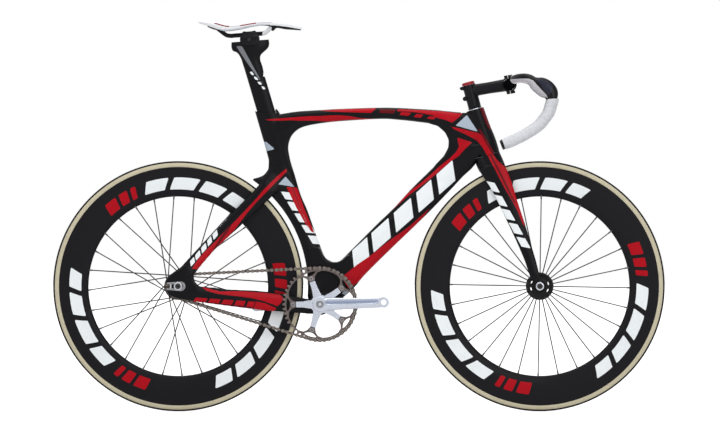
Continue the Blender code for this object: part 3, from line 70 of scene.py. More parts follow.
# Sizes that the CAD frame was drawn with
HEAD_ANGLE = radians(74.5)
SEAT_ANGLE = radians(73.5)
FORK_RAKE = 0.0393
WHEEL_RADIUS = 0.334
HEAD_LOW = 0.374
HEAD_HIGH = 0.501
SEAT_TUBE_LENGTH = 0.546
STEM_FOOT = 0.5068
STEM_TOP = 0.5708
STEM_LENGTH = 0.105
RAIL_SLOPE = radians(4.2)
RAIL_LIFT = 0.005
STEERER_RADIUS = 0.0143
BEARING_RADIUS = 0.019
BEARING_HEIGHT = 0.0074
SHELL_HALF = 0.034
GAP = 0.0003
ROW_STEPS = 4


class Side(Enum):
    """The rider's two sides: the sign of Y there."""

    LEFT = 1
    RIGHT = -1

    @property
    def word(self) -> str:
        """The side's name, as node names have it."""
        return self.name.lower()

    def span(self, inner: float, outer: float) -> list[float]:
        """The lower and the higher Y of what lies between two distances from the middle plane."""
        return sorted((self.value * inner, self.value * outer))


def pivot(joint: str) -> Vector:
    """The point that a joint turns about."""
    return Vector(JOINTS[joint]["pos_m"])


REAR_AXLE = pivot("rear_wheel_spin")
FRONT_AXLE = pivot("front_wheel_spin")
CRANK_AXLE = pivot("crank_spin")
BAR_CENTRE = pivot("handlebar_turn")
TILT_CENTRE = pivot("saddle_tilt")


class SideLine:
    """A centre line in the bicycle's middle plane, with distances along and across it.

    Across is a quarter turn anticlockwise from along, seen from the right side.
    """

    def __init__(self, start: Vector, end: Vector | None = None, angle: float = 0.0) -> None:
        """Lays the line.

        Args:
            start: Where distances along the line are counted from.
            end: A second point on the line, or None to use the angle.
            angle: The line's angle to the ground, anticlockwise from forward.
        """
        self.start = start.copy()
        self.length = 1.0
        self.direction = Vector((cos(angle), 0.0, sin(angle)))
        if end is not None:
            self.length = (end - start).length
            self.direction = (end - start).normalized()
        self.across = Vector((-self.direction.z, 0.0, self.direction.x))

    def at(self, along: float, across: float = 0.0, y: float = 0.0) -> Vector:
        """The point at these distances."""
        return self.start + self.direction * along + self.across * across + Y_AXIS * y

    def outline(self, corners: Sequence[Point], start: float = 0.0) -> list[Vector]:
        """The points at these distances along and across, with along counted from a start."""
        return [self.at(start + along, across) for along, across in corners]


STEER_FOOT = FRONT_AXLE - FORK_RAKE * Vector((sin(HEAD_ANGLE), 0.0, cos(HEAD_ANGLE)))
STEER_LINE = SideLine(STEER_FOOT, angle=pi - HEAD_ANGLE)
SEAT_LINE = SideLine(CRANK_AXLE + 0.009 * X_AXIS, angle=pi - SEAT_ANGLE)
TOP_LINE = SideLine(SEAT_LINE.at(SEAT_TUBE_LENGTH - 0.039), STEER_LINE.at(HEAD_HIGH - 0.045))
DOWN_LINE = SideLine(CRANK_AXLE, STEER_LINE.at(HEAD_LOW + 0.035))
STAY_LINE = SideLine(REAR_AXLE + Vector((0.0045, 0.0, 0.020)), SEAT_LINE.at(0.376))
CHAINSTAY_LINE = SideLine(REAR_AXLE, CRANK_AXLE)
STEM_LINE = SideLine(BAR_CENTRE, angle=radians(9.3))
RAIL_LINE = SideLine(
    TILT_CENTRE + RAIL_LIFT * Vector((-sin(RAIL_SLOPE), 0.0, cos(RAIL_SLOPE))), angle=RAIL_SLOPE
)


def tone(red: int, green: int, blue: int) -> tuple[float, float, float, float]:
    """A colour of the usual screen values, 0 to 255, as the linear colour that a shader takes."""
    return (*[(value / 255) ** 2.2 for value in (red, green, blue)], 1.0)


# Modelling tools


def select_only(*objects: Object) -> None:
    """Selects these objects alone, the first of them active."""
    bpy.ops.object.select_all(action="DESELECT")
    for obj in objects:
        obj.select_set(True)
    bpy.context.view_layer.objects.active = objects[0]


@contextmanager
def editing(obj: Object) -> Iterator[bmesh.types.BMesh]:
    """Opens an object in edit mode and closes it again.

    Args:
        obj: The mesh object.

    Returns:
        The mesh being edited.
    """
    select_only(obj)
    bpy.ops.object.mode_set(mode="EDIT")
    yield bmesh.from_edit_mesh(obj.data)
    bmesh.update_edit_mesh(obj.data)
    bpy.ops.object.mode_set(mode="OBJECT")


def new_circle(name: str, count: int, fill: str = "NGON") -> Object:
    """Adds the circle that a piece is shaped from, with this many corners."""
    bpy.ops.object.select_all(action="DESELECT")
    bpy.ops.mesh.primitive_circle_add(vertices=count, radius=0.01, fill_type=fill)
    made = bpy.context.active_object
    made.name = made.data.name = name
    return made


def apply_modifier(obj: Object, kind: str, **settings: object) -> None:
    """Adds a modifier with these settings and applies it."""
    modifier = obj.modifiers.new(kind.lower(), kind)
    for key, value in settings.items():
        setattr(modifier, key, value)
    select_only(obj)
    bpy.ops.object.modifier_apply(modifier=modifier.name)


def turn_out(obj: Object) -> Object:
    """Merges the doubles of a mesh and turns its faces outwards."""
    with editing(obj):
        bpy.ops.mesh.select_all(action="SELECT")
        bpy.ops.mesh.remove_doubles(threshold=1e-6)
        bpy.ops.mesh.normals_make_consistent(inside=False)
    return obj


def loft(name: str, rings: Sequence[Ring], closed: bool = False) -> Object:
    """Skins rings of points by one extrusion after another.

    Args:
        name: The object's name.
        rings: Rings with the same number of points.
        closed: True to join the last ring to the first, and leave no ends.

    Returns:
        The skinned object.
    """
    made = new_circle(name, len(rings[0]))
    with editing(made) as mesh:
        seat = mesh.verts.layers.int.new("seat")
        station = mesh.verts.layers.int.new("station")
        for index, vert in enumerate(mesh.verts):
            vert[seat] = index
            vert.co = rings[0][index]
        for number, ring in enumerate(rings[1:], 1):
            bpy.ops.mesh.extrude_region_move()
            mesh = bmesh.from_edit_mesh(made.data)
            seat, station = mesh.verts.layers.int["seat"], mesh.verts.layers.int["station"]
            for vert in mesh.verts:
                if vert.select:
                    vert.co = ring[vert[seat]]
                    vert[station] = number
        if closed:
            last = len(rings) - 1
            for face in mesh.faces:
                face.select_set(len({vert[station] for vert in face.verts}) == 1)
            bpy.ops.mesh.delete(type="ONLY_FACE")
            mesh = bmesh.from_edit_mesh(made.data)
            station = mesh.verts.layers.int["station"]
            for edge in mesh.edges:
                ends = {vert[station] for vert in edge.verts}
                edge.select_set(ends in ({0}, {last}))
            bpy.ops.mesh.bridge_edge_loops()
    return turn_out(made)


def turned(
    name: str,
    profile: Sequence[Point],
    centre: Vector,
    axis: Vector = Y_AXIS,
    steps: int = 64,
    closed: bool = True,
) -> Object:
    """Spins a profile about an axis.

    Args:
        name: The object's name.
        profile: (radius, height) points.
        centre: Where the heights are counted from.
        axis: The way that the heights run.
        steps: Facets round the axis.
        closed: False for a profile that starts and ends on the axis.

    Returns:
        The turned object.
    """
    out = Z_AXIS if abs(axis.z) < 0.5 else X_AXIS
    out = (out - axis * out.dot(axis)).normalized()
    made = new_circle(name, len(profile), "NOTHING")
    with editing(made) as mesh:
        for vert, (radius, height) in zip(mesh.verts, profile):
            vert.co = centre + out * radius + axis * height
        if not closed:
            bpy.ops.mesh.select_all(action="DESELECT")
            mesh.edges.ensure_lookup_table()
            ends = {0, len(profile) - 1}
            for edge in mesh.edges:
                if {vert.index for vert in edge.verts} == ends:
                    edge.select_set(True)
            bpy.ops.mesh.delete(type="EDGE")
        bpy.ops.mesh.select_all(action="SELECT")
        bpy.ops.mesh.spin(steps=steps, dupli=False, angle=tau, center=centre, axis=axis)
    return turn_out(made)


def plate(name: str, outline: Sequence[Vector], y_low: float, y_high: float) -> Object:
    """Extrudes a flat outline in the X-Z plane from one Y to another.

    Args:
        name: The object's name.
        outline: The plate's corners.
        y_low: The lower face.
        y_high: The upper face.

    Returns:
        The plate.
    """
    ends = [[Vector((corner.x, y, corner.z)) for corner in outline] for y in (y_low, y_high)]
    return loft(name, ends)


def carve(obj: Object, *cutters: Object, operation: str = "DIFFERENCE") -> Object:
    """Cuts an object with others, or joins them to it, and deletes them.

    Args:
        obj: The object that stays.
        cutters: The objects that it is cut with.
        operation: DIFFERENCE to cut, or UNION to join.

    Returns:
        The object.
    """
    for cutter in cutters:
        apply_modifier(obj, "BOOLEAN", operation=operation, solver="EXACT", object=cutter)
        discard(cutter)
    return obj


def gather(name: str, objects: Sequence[Object]) -> Object:
    """Joins objects into the first one, with no Boolean."""
    select_only(*objects)
    if len(objects) > 1:
        bpy.ops.object.join()
    objects[0].name = objects[0].data.name = name
    return objects[0]


def melted(obj: Object, voxel: float) -> Object:
    """Melts overlapping bodies into one skin of this grain."""
    apply_modifier(obj, "REMESH", mode="VOXEL", voxel_size=voxel, use_smooth_shade=True)
    return obj


def smoothed(obj: Object, rounds: int, **settings: object) -> Object:
    """Smooths a skin this often."""
    apply_modifier(obj, "SMOOTH", factor=0.5, iterations=rounds, **settings)
    return obj


def forge(obj: Object, voxel: float, rounds: int) -> Object:
    """Melts overlapping bodies into one skin and eases its corners.

    Args:
        obj: An object of closed bodies.
        voxel: The new skin's grain.
        rounds: How often the skin is smoothed.

    Returns:
        The object.
    """
    return smoothed(melted(obj, voxel), rounds)


def ease(obj: Object, zones: Sequence[tuple[Point, float]], rounds: int) -> Object:
    """Smooths an object further about some places, less and less with distance.

    Args:
        obj: The object.
        zones: Each place in the X-Z plane, and how far it reaches.
        rounds: How often the zones are smoothed.

    Returns:
        The object.
    """
    count = len(obj.data.vertices)
    places = np.empty(count * 3)
    obj.data.vertices.foreach_get("co", places)
    places = places.reshape(-1, 3)
    weights = np.zeros(count)
    for (ahead, up), reach in zones:
        distance = np.hypot(places[:, 0] - ahead, places[:, 2] - up)
        weights = np.maximum(weights, np.clip(2.0 - 2.0 * distance / reach, 0.0, 1.0))
    weights = np.round(weights, 1)
    group = obj.vertex_groups.new(name="eased")
    for level in np.unique(weights[weights > 0]):
        group.add(np.flatnonzero(weights == level).tolist(), float(level), "REPLACE")
    return smoothed(obj, rounds, vertex_group=group.name)


def soften(obj: Object, width: float, segments: int = 2, angle: float = radians(35)) -> Object:
    """Bevels the sharp edges of an object.

    Args:
        obj: The object.
        width: The bevel's width.
        segments: Its steps.
        angle: The angle from which an edge counts as sharp.

    Returns:
        The object.
    """
    apply_modifier(obj, "BEVEL", width=width, segments=segments, limit_method="ANGLE", angle_limit=angle)
    return obj


def copied(obj: Object, name: str, move: Matrix) -> Object:
    """Copies an object with its mesh, and moves the copy.

    Args:
        obj: The object.
        name: The copy's name.
        move: Where the copy goes from the original's place.

    Returns:
        The copy, at the origin with its place in its mesh.
    """
    select_only(obj)
    bpy.ops.object.duplicate(linked=False)
    made = bpy.context.active_object
    made.name = made.data.name = name
    made.matrix_world = move
    bpy.ops.object.transform_apply(location=True, rotation=True, scale=True)
    return made


def discard(*objects: Object) -> None:
    """Deletes objects that were only made to be copied or to cut others."""
    for obj in objects:
        bpy.data.objects.remove(obj, do_unlink=True)


def about(centre: Vector, axis: Vector, angle: float) -> Matrix:
    """A turn about an axis through a point."""
    return Matrix.Translation(centre) @ Matrix.Rotation(angle, 4, axis) @ Matrix.Translation(-centre)


def around(centre: Vector, radius: float, turn: float, y: float = 0.0) -> Vector:
    """A place at a radius and an angle about a wheel's axle, anticlockwise from forward."""
    return centre + Vector((cos(turn) * radius, y, sin(turn) * radius))


def squared(value: float, squareness: float) -> float:
    """A sine or cosine made squarer: 1 gives an ellipse, and less a box with round corners."""
    return copysign(abs(value) ** squareness, value)


def section(
    low: Vector, high: Vector, half: float, y: float = 0.0, squareness: float = 0.85, count: int = 28
) -> Ring:
    """A tube's section between two points in the middle plane.

    Args:
        low: One end of its chord.
        high: The chord's other end.
        half: Half its width across Y.
        y: Its middle across Y.
        squareness: 1 for an ellipse, and less for a box with round corners.
        count: Its number of points.

    Returns:
        The ring of points.
    """
    middle, reach = (low + high) / 2, (high - low) / 2
    ring = []
    for index in range(count):
        turn = tau * (index + 0.5) / count
        place = middle + reach * squared(cos(turn), squareness)
        ring.append(place + Y_AXIS * (y + half * squared(sin(turn), squareness)))
    return ring


def flowing(points: Sequence[Vector], steps: int) -> list[Vector]:
    """A smooth curve through points, which may have any number of values each.

    Args:
        points: The points to pass through.
        steps: Places for each stretch between two points.

    Returns:
        The curve's places, both ends with them.
    """
    padded = [points[0] * 2 - points[1], *points, points[-1] * 2 - points[-2]]
    path = []
    for before, start, end, after in zip(padded, padded[1:], padded[2:], padded[3:]):
        for index in range(steps):
            t = index / steps
            bend = (end - before) * t + (before * 2 - start * 5 + end * 4 - after) * t**2
            path.append(start + (bend + (start * 3 - end * 3 + after - before) * t**3) / 2)
    return [*path, points[-1]]


def flowing_rows(rows: Sequence[Row], steps: int) -> list[Row]:
    """The same smooth curve through the rows of a table."""
    return [tuple(row) for row in flowing([Vector(row) for row in rows], steps)]


def circle_ring(
    centre: Vector, normal: Vector, side: Vector, radius: float, count: int, tall: float = 1.0
) -> Ring:
    """A circle round a place in space, square to a direction and started at its side.

    Args:
        centre: The circle's middle.
        normal: The direction that it is square to.
        side: Where it starts.
        radius: Its radius.
        count: Its number of points.
        tall: How many times as wide it is the other way, for an oval.

    Returns:
        The ring of points.
    """
    other = normal.cross(side).normalized() * tall
    turns = [tau * (index + 0.5) / count for index in range(count)]
    return [centre + (side * cos(turn) + other * sin(turn)) * radius for turn in turns]


def path_frames(path: Sequence[Vector], side: Vector) -> list[tuple[Vector, Vector, Vector]]:
    """The place, the way on and the side at each point of a path, with no twist.

    Args:
        path: The points.
        side: The side at the path's start.

    Returns:
        One (place, way, side) for each point.
    """
    frames = []
    for index, place in enumerate(path):
        before, after = path[max(index - 1, 0)], path[min(index + 1, len(path) - 1)]
        way = (after - before).normalized()
        side = (side - way * side.dot(way)).normalized()
        frames.append((place, way, side))
    return frames


def swept(
    name: str, path: Sequence[Vector], radii: Sequence[float], side: Vector, count: int, tall: float = 1.0
) -> Object:
    """A round or oval bar along a path.

    Args:
        name: The object's name.
        path: Its centre line.
        radii: Its radius at each point.
        side: A direction across the path's start.
        count: Facets round it.
        tall: How many times as wide it is away from that direction.

    Returns:
        The bar.
    """
    rings = []
    for (place, way, across), radius in zip(path_frames(path, side), radii):
        rings.append(circle_ring(place, way, across, radius, count, tall))
    return loft(name, rings)


def drum(
    name: str, radius: float, low: float, high: float, centre: Vector, axis: Vector = Y_AXIS, steps: int = 64
) -> Object:
    """A solid drum about an axis, between two heights.

    Args:
        name: The object's name.
        radius: Its radius.
        low: Its lower end's height.
        high: Its upper end's height.
        centre: Where the heights are counted from.
        axis: The way that the heights run.
        steps: Facets round it.

    Returns:
        The drum.
    """
    profile = [(0.0, high), (radius, high), (radius, low), (0.0, low)]
    return turned(name, profile, centre, axis, steps, closed=False)


def notched(obj: Object, centre: Vector, radius: float, count: int, size: Point, steps: int) -> Object:
    """Cuts round notches in a ring, evenly about the Y axis.

    Args:
        obj: The ring.
        centre: The middle of the notches.
        radius: How far from it they lie.
        count: How many there are.
        size: A notch's radius, and half its length along Y.
        steps: Facets round a notch.

    Returns:
        The ring.
    """
    notch, half = size
    cutters = []
    for index in range(count):
        place = around(centre, radius, tau * index / count)
        cutters.append(drum("notch", notch, -half, half, place, steps=steps))
    return carve(obj, gather("notches", cutters))


def tube(
    name: str,
    line: SideLine,
    rows: Sequence[Row],
    squareness: float = 0.85,
    side: Side | None = None,
    scale: float = 1.0,
) -> Object:
    """A tube along a line from its rows, with a smooth curve through them.

    A row gives a place along the line, the upper and the lower edge across it, and half
    the width, or on one side the inner and the outer face across Y instead of that.

    Args:
        name: The object's name.
        line: The line.
        rows: The rows.
        squareness: 1 for an ellipse, and less for a box with round corners.
        side: The side that it lies on, or None for a tube in the middle plane.
        scale: What the places along the line are multiplied by.

    Returns:
        The tube.
    """
    rings = []
    for along, upper, lower, *faces in flowing_rows(rows, ROW_STEPS):
        low, high = line.at(along * scale, lower), line.at(along * scale, upper)
        if side is None:
            rings.append(section(low, high, faces[0], 0.0, squareness))
        else:
            inner, outer = faces
            middle = side.value * (outer + inner) / 2
            rings.append(section(low, high, (outer - inner) / 2, middle, squareness))
    return loft(name, rings)


def flipped(profile: Sequence[Point]) -> list[Point]:
    """A turned profile's mirror image, still running down its outer side."""
    return [(radius, -height) for radius, height in reversed(profile)]


def ring_wall(outer: float, inner: float, low: float, high: float) -> list[Point]:
    """The closed profile of a plain ring."""
    return [(outer, high), (outer, low), (inner, low), (inner, high)]


# Painted shapes, as distances from their edges in the X-Z plane


@dataclass(frozen=True)
class Patch:
    """A filled outline."""

    corners: tuple[Point, ...]

    def depth(self, places: np.ndarray) -> np.ndarray:
        """How far inside the outline each place lies, and less than 0 outside.

        Args:
            places: One (x, z) row for each place.

        Returns:
            One distance for each place.
        """
        nearest = np.full(len(places), 1e9)
        inside = np.zeros(len(places), dtype=bool)
        corners = np.array(self.corners)
        for start, end in zip(corners, np.roll(corners, -1, axis=0)):
            edge = end - start
            offset = places - start
            share = np.clip(offset @ edge / max(edge @ edge, 1e-12), 0.0, 1.0)
            nearest = np.minimum(nearest, np.hypot(*(offset - share[:, None] * edge).T))
            if start[1] != end[1]:
                spans = (start[1] > places[:, 1]) != (end[1] > places[:, 1])
                crossing = start[0] + (places[:, 1] - start[1]) * edge[0] / edge[1]
                inside ^= spans & (places[:, 0] < crossing)
        return np.where(inside, nearest, -nearest)


def slanted_blocks(
    start: Point, end: Point, halves: Point, shares: Sequence[Point], lean: float
) -> list[Patch]:
    """Plain slanted blocks in a row.

    Args:
        start: The middle of the row's start.
        end: The middle of its end.
        halves: Half the blocks' height at the start and at the end.
        shares: Each block's start and end, as shares of the row.
        lean: How far along the row each block's upper edge leans ahead of its lower one.

    Returns:
        The blocks.
    """
    first, last = Vector(start), Vector(end)
    along = (last - first).normalized()
    across = Vector((-along.y, along.x))
    blocks = []
    for shares_of_block in shares:
        corners = []
        for share, side in zip((*shares_of_block, *reversed(shares_of_block)), (-1, -1, 1, 1)):
            half = halves[0] + (halves[1] - halves[0]) * share
            place = first + (last - first) * share + across * half * side + along * lean * side / 2
            corners.append((place.x, place.y))
        blocks.append(Patch(tuple(corners)))
    return blocks


def mark(
    obj: Object, name: str, shapes: Sequence[Patch], unroll: Callable | None = None, softness: float = 1.0
) -> None:
    """Writes on each vertex how deep it lies inside painted shapes.

    Args:
        obj: The object.
        name: The attribute's name.
        shapes: The shapes.
        unroll: Turns the vertices' places into the shapes' own flat places, where
            they aren't drawn in the X-Z plane.
        softness: How many times wider than usual the shapes' edges blend.
    """
    count = len(obj.data.vertices)
    places = np.empty(count * 3)
    obj.data.vertices.foreach_get("co", places)
    places = places.reshape(-1, 3)
    flat = unroll(places) if unroll else places[:, [0, 2]]
    depth = np.maximum.reduce([shape.depth(flat) for shape in shapes])
    written = obj.data.attributes.new(name, "FLOAT", "POINT")
    written.data.foreach_set("value", np.clip(depth / softness, -0.02, 0.02).astype(np.float32))


# Shader effects and finishes


class Effect:
    """A shader node group that puts out masks, values or heights."""

    def __init__(self, name: str, inputs: dict[str, object], outputs: Sequence[str]) -> None:
        """Opens an empty group with its sockets.

        Args:
            name: The group's name.
            inputs: Each input and its value, or "vector" for a place.
            outputs: The outputs, all single values.
        """
        self.tree = bpy.data.node_groups.new(name, "ShaderNodeTree")
        for key, value in inputs.items():
            kind = "NodeSocketVector" if value == "vector" else "NodeSocketFloat"
            socket = self.tree.interface.new_socket(key, in_out="INPUT", socket_type=kind)
            if value != "vector":
                socket.default_value = value
        for key in outputs:
            self.tree.interface.new_socket(key, in_out="OUTPUT", socket_type="NodeSocketFloat")
        self.start = self.tree.nodes.new("NodeGroupInput")
        self.end = self.tree.nodes.new("NodeGroupOutput")

    def node(self, kind: str, inputs: dict[object, object], **settings: object) -> bpy.types.Node:
        """Adds a node; an input's value is a socket to wire or a constant."""
        return add_node(self.tree, kind, inputs, **settings)

    def maths(self, operation: str, *values: object) -> bpy.types.NodeSocket:
        """Adds a sum of numbers or sockets."""
        return self.node("ShaderNodeMath", dict(enumerate(values)), operation=operation).outputs[0]

    def noise(self, place: bpy.types.NodeSocket, scale: object, detail: float) -> bpy.types.NodeSocket:
        """Adds noise of this scale and detail at a place."""
        inputs = {"Vector": place, "Scale": scale, "Detail": detail}
        return self.node("ShaderNodeTexNoise", inputs).outputs["Fac"]

    def put_out(self, name: str, socket: bpy.types.NodeSocket) -> None:
        """Wires a socket to one of the group's outputs."""
        self.tree.links.new(socket, self.end.inputs[name])


def add_node(
    tree: bpy.types.NodeTree, kind: str, inputs: dict[object, object], **settings: object
) -> bpy.types.Node:
    """Adds a node to a tree.

    Args:
        tree: The tree.
        kind: The node's type.
        inputs: For each input's name or number, a socket to wire to it or its value.
        settings: The node's own settings.

    Returns:
        The node.
    """
    node = tree.nodes.new(kind)
    for key, value in settings.items():
        setattr(node, key, value)
    for key, value in inputs.items():
        if isinstance(value, bpy.types.NodeSocket):
            tree.links.new(value, node.inputs[key])
        else:
            node.inputs[key].default_value = value
    return node


class Effects:
    """The effects that several finishes share."""

    def __init__(self) -> None:
        """Builds each group once."""
        self.crisp = self.crisp_edge()
        self.grain = self.fine_grain()
        self.wear = self.edge_wear()
        self.lathe = self.lathe_lines()
        self.weave = self.twill()
        self.holes = self.punched_holes()

    def crisp_edge(self) -> bpy.types.NodeTree:
        """Turns a distance into a painted shape's mask."""
        effect = Effect("crisp_edge", {"Distance": 0.0, "Softness": 0.0004}, ["Mask"])
        start = effect.start.outputs
        low = effect.maths("MULTIPLY", start["Softness"], -1.0)
        ranged = effect.node(
            "ShaderNodeMapRange",
            {"Value": start["Distance"], "From Min": low, "From Max": start["Softness"]},
            interpolation_type="SMOOTHSTEP",
        )
        effect.put_out("Mask", ranged.outputs["Result"])
        return effect.tree

    def fine_grain(self) -> bpy.types.NodeTree:
        """Fine and broad unevenness of a surface."""
        effect = Effect("fine_grain", {"Place": "vector", "Scale": 900.0, "Broad": 14.0}, ["Fine", "Broad"])
        start = effect.start.outputs
        for output, key in (("Fine", "Scale"), ("Broad", "Broad")):
            effect.put_out(output, effect.noise(start["Place"], start[key], 3.0))
        return effect.tree

    def edge_wear(self) -> bpy.types.NodeTree:
        """Worn edges, from how sharply the surface bends."""
        barely_bent, gain, patch_scale = 0.515, 16.0, 160.0
        effect = Effect("edge_wear", {"Place": "vector", "Amount": 0.5}, ["Mask"])
        start = effect.start.outputs
        bend = effect.node("ShaderNodeNewGeometry", {}).outputs["Pointiness"]
        sharp = effect.maths("MULTIPLY", effect.maths("SUBTRACT", bend, barely_bent), gain)
        broken = effect.maths("MULTIPLY", sharp, effect.noise(start["Place"], patch_scale, 4.0))
        inputs = {0: broken, 1: start["Amount"]}
        worn = effect.node("ShaderNodeMath", inputs, operation="MULTIPLY", use_clamp=True)
        effect.put_out("Mask", worn.outputs[0])
        return effect.tree

    def lathe_lines(self) -> bpy.types.NodeTree:
        """Fine rings round the Y axis of the place that goes in, as a lathe leaves them."""
        effect = Effect("lathe_lines", {"Place": "vector", "Scale": 1500.0}, ["Lines"])
        start = effect.start.outputs
        split = effect.node("ShaderNodeSeparateXYZ", {0: start["Place"]}).outputs
        squares = [effect.maths("MULTIPLY", split[key], split[key]) for key in ("X", "Z")]
        radius = effect.maths("SQRT", effect.maths("ADD", *squares))
        place = effect.node("ShaderNodeCombineXYZ", {"X": radius, "Y": split["Y"]}).outputs[0]
        effect.put_out("Lines", effect.noise(place, start["Scale"], 2.0))
        return effect.tree

    def twill(self) -> bpy.types.NodeTree:
        """A twill of flat threads, seen from the side."""
        effect = Effect("twill", {"Place": "vector", "Scale": 420.0}, ["Threads"])
        start = effect.start.outputs
        split = effect.node("ShaderNodeSeparateXYZ", {0: start["Place"]}).outputs
        across = effect.maths("MULTIPLY", effect.maths("ADD", split["X"], split["Z"]), start["Scale"])
        along = effect.maths("MULTIPLY", effect.maths("SUBTRACT", split["X"], split["Z"]), start["Scale"])
        row_shift, repeat = 0.5, 4
        row = effect.maths("FLOOR", across)
        shift = effect.maths("ADD", along, effect.maths("MULTIPLY", row, row_shift))
        over = effect.maths("FRACT", effect.maths("MULTIPLY", shift, 1 / repeat))
        effect.put_out("Threads", effect.maths("GREATER_THAN", over, 0.5))
        return effect.tree

    def punched_holes(self) -> bpy.types.NodeTree:
        """Rows of small round holes in flat coordinates of one unit a hole."""
        effect = Effect("punched_holes", {"Along": 0.0, "Round": 0.0, "Radius": 0.31}, ["Mask"])
        row_shift, full_depth = 0.5, 0.6
        start = effect.start.outputs
        row = effect.maths("FLOOR", start["Round"])
        shifted = effect.maths("ADD", start["Along"], effect.maths("MULTIPLY", row, row_shift))
        sides = []
        for value in (shifted, start["Round"]):
            centred = effect.maths("SUBTRACT", effect.maths("FRACT", value), 0.5)
            sides.append(effect.maths("MULTIPLY", centred, centred))
        reach = effect.maths("SQRT", effect.maths("ADD", *sides))
        inner = effect.maths("MULTIPLY", start["Radius"], full_depth)
        limits = {"From Min": inner, "From Max": start["Radius"], "To Min": 1.0, "To Max": 0.0}
        hole = effect.node("ShaderNodeMapRange", {"Value": reach, **limits})
        effect.put_out("Mask", hole.outputs["Result"])
        return effect.tree


class Dye:
    """A material being mixed."""

    def __init__(self, name: str, effects: Effects) -> None:
        """Opens a material.

        Args:
            name: The material's name.
            effects: The shared effects.
        """
        self.material = bpy.data.materials.new(name)
        self.material.use_nodes = True
        self.tree = self.material.node_tree
        self.shader = self.tree.nodes["Principled BSDF"]
        self.effects = effects
        self.place = self.node("ShaderNodeTexCoord", {}).outputs["Object"]

    def node(self, kind: str, inputs: dict[object, object], **settings: object) -> bpy.types.Node:
        """Adds a node to the material."""
        return add_node(self.tree, kind, inputs, **settings)

    def effect(self, group: bpy.types.NodeTree, **inputs: object) -> bpy.types.Node:
        """Adds a shared effect with this material's own values."""
        return self.node("ShaderNodeGroup", inputs, node_tree=group)

    def grain(self, fine: float, broad: float) -> bpy.types.bpy_prop_collection:
        """The fine and the broad unevenness at these scales."""
        return self.effect(self.effects.grain, Place=self.place, Scale=fine, Broad=broad).outputs

    def wear(self, amount: float) -> bpy.types.NodeSocket:
        """The mask of the worn edges."""
        return self.effect(self.effects.wear, Place=self.place, Amount=amount).outputs["Mask"]

    def attribute(self, name: str) -> bpy.types.NodeSocket:
        """The value that an attribute holds at each place."""
        return self.node("ShaderNodeAttribute", {}, attribute_name=name).outputs["Fac"]

    def mask(self, name: str) -> bpy.types.NodeSocket:
        """The mask of a painted shape."""
        return self.effect(self.effects.crisp, Distance=self.attribute(name)).outputs["Mask"]

    def blend(self, factor: object, first: object, second: object) -> bpy.types.NodeSocket:
        """Mixes two colours."""
        inputs = {0: factor, 6: first, 7: second}
        return self.node("ShaderNodeMix", inputs, data_type="RGBA").outputs[2]

    def painted(self, colour: object, layers: Sequence[PaintLayer]) -> object:
        """A colour with painted shapes over it."""
        for layer in layers:
            colour = self.blend(self.mask(layer.attribute), colour, layer.colour)
        return colour

    def ranged(self, value: bpy.types.NodeSocket, low: float, high: float) -> bpy.types.NodeSocket:
        """Spreads a value of 0 to 1 between two others."""
        inputs = {"Value": value, "To Min": low, "To Max": high}
        return self.node("ShaderNodeMapRange", inputs).outputs["Result"]

    def colour(self, value: object) -> None:
        """Sets the base colour to a socket or a constant."""
        self.feed("Base Color", value)

    def roughness(self, value: bpy.types.NodeSocket, middle: float, spread: float) -> None:
        """Spreads the roughness about its middle."""
        self.feed("Roughness", self.ranged(value, middle - spread, middle + spread))

    def feed(self, name: str, value: object) -> None:
        """Wires or sets one of the shader's sockets."""
        if isinstance(value, bpy.types.NodeSocket):
            self.tree.links.new(value, self.shader.inputs[name])
        else:
            self.shader.inputs[name].default_value = value

    def bump(self, height: bpy.types.NodeSocket, distance: float) -> None:
        """Raises the surface by a height."""
        inputs = {"Height": height, "Distance": distance}
        self.feed("Normal", self.node("ShaderNodeBump", inputs).outputs["Normal"])


@dataclass(frozen=True)
class PaintLayer:
    """One painted colour, and the attribute that says where it lies."""

    attribute: str
    colour: tuple[float, ...]


RED = tone(170, 13, 29)
DEEP_RED = tone(96, 12, 22)
WHITE = tone(236, 241, 244)
SILVER_GREY = tone(168, 180, 194)
BLACK = tone(15, 15, 18)


def toned(colour: Sequence[float], share: float) -> tuple[float, ...]:
    """A colour with each of its parts multiplied, and none more than full."""
    return (*[min(1.0, part * share) for part in colour[:3]], 1.0)


@dataclass(frozen=True)
class Finish:
    """A named finish that can mix its own material."""

    name: str

    def mix(self, effects: Effects) -> bpy.types.Material:
        """Mixes the material.

        Args:
            effects: The shared effects.

        Returns:
            The material.
        """
        dye = Dye(self.name, effects)
        self.pour(dye)
        return dye.material

    def pour(self, dye: Dye) -> None:
        """Feeds the sockets of the material's shader."""
        raise NotImplementedError


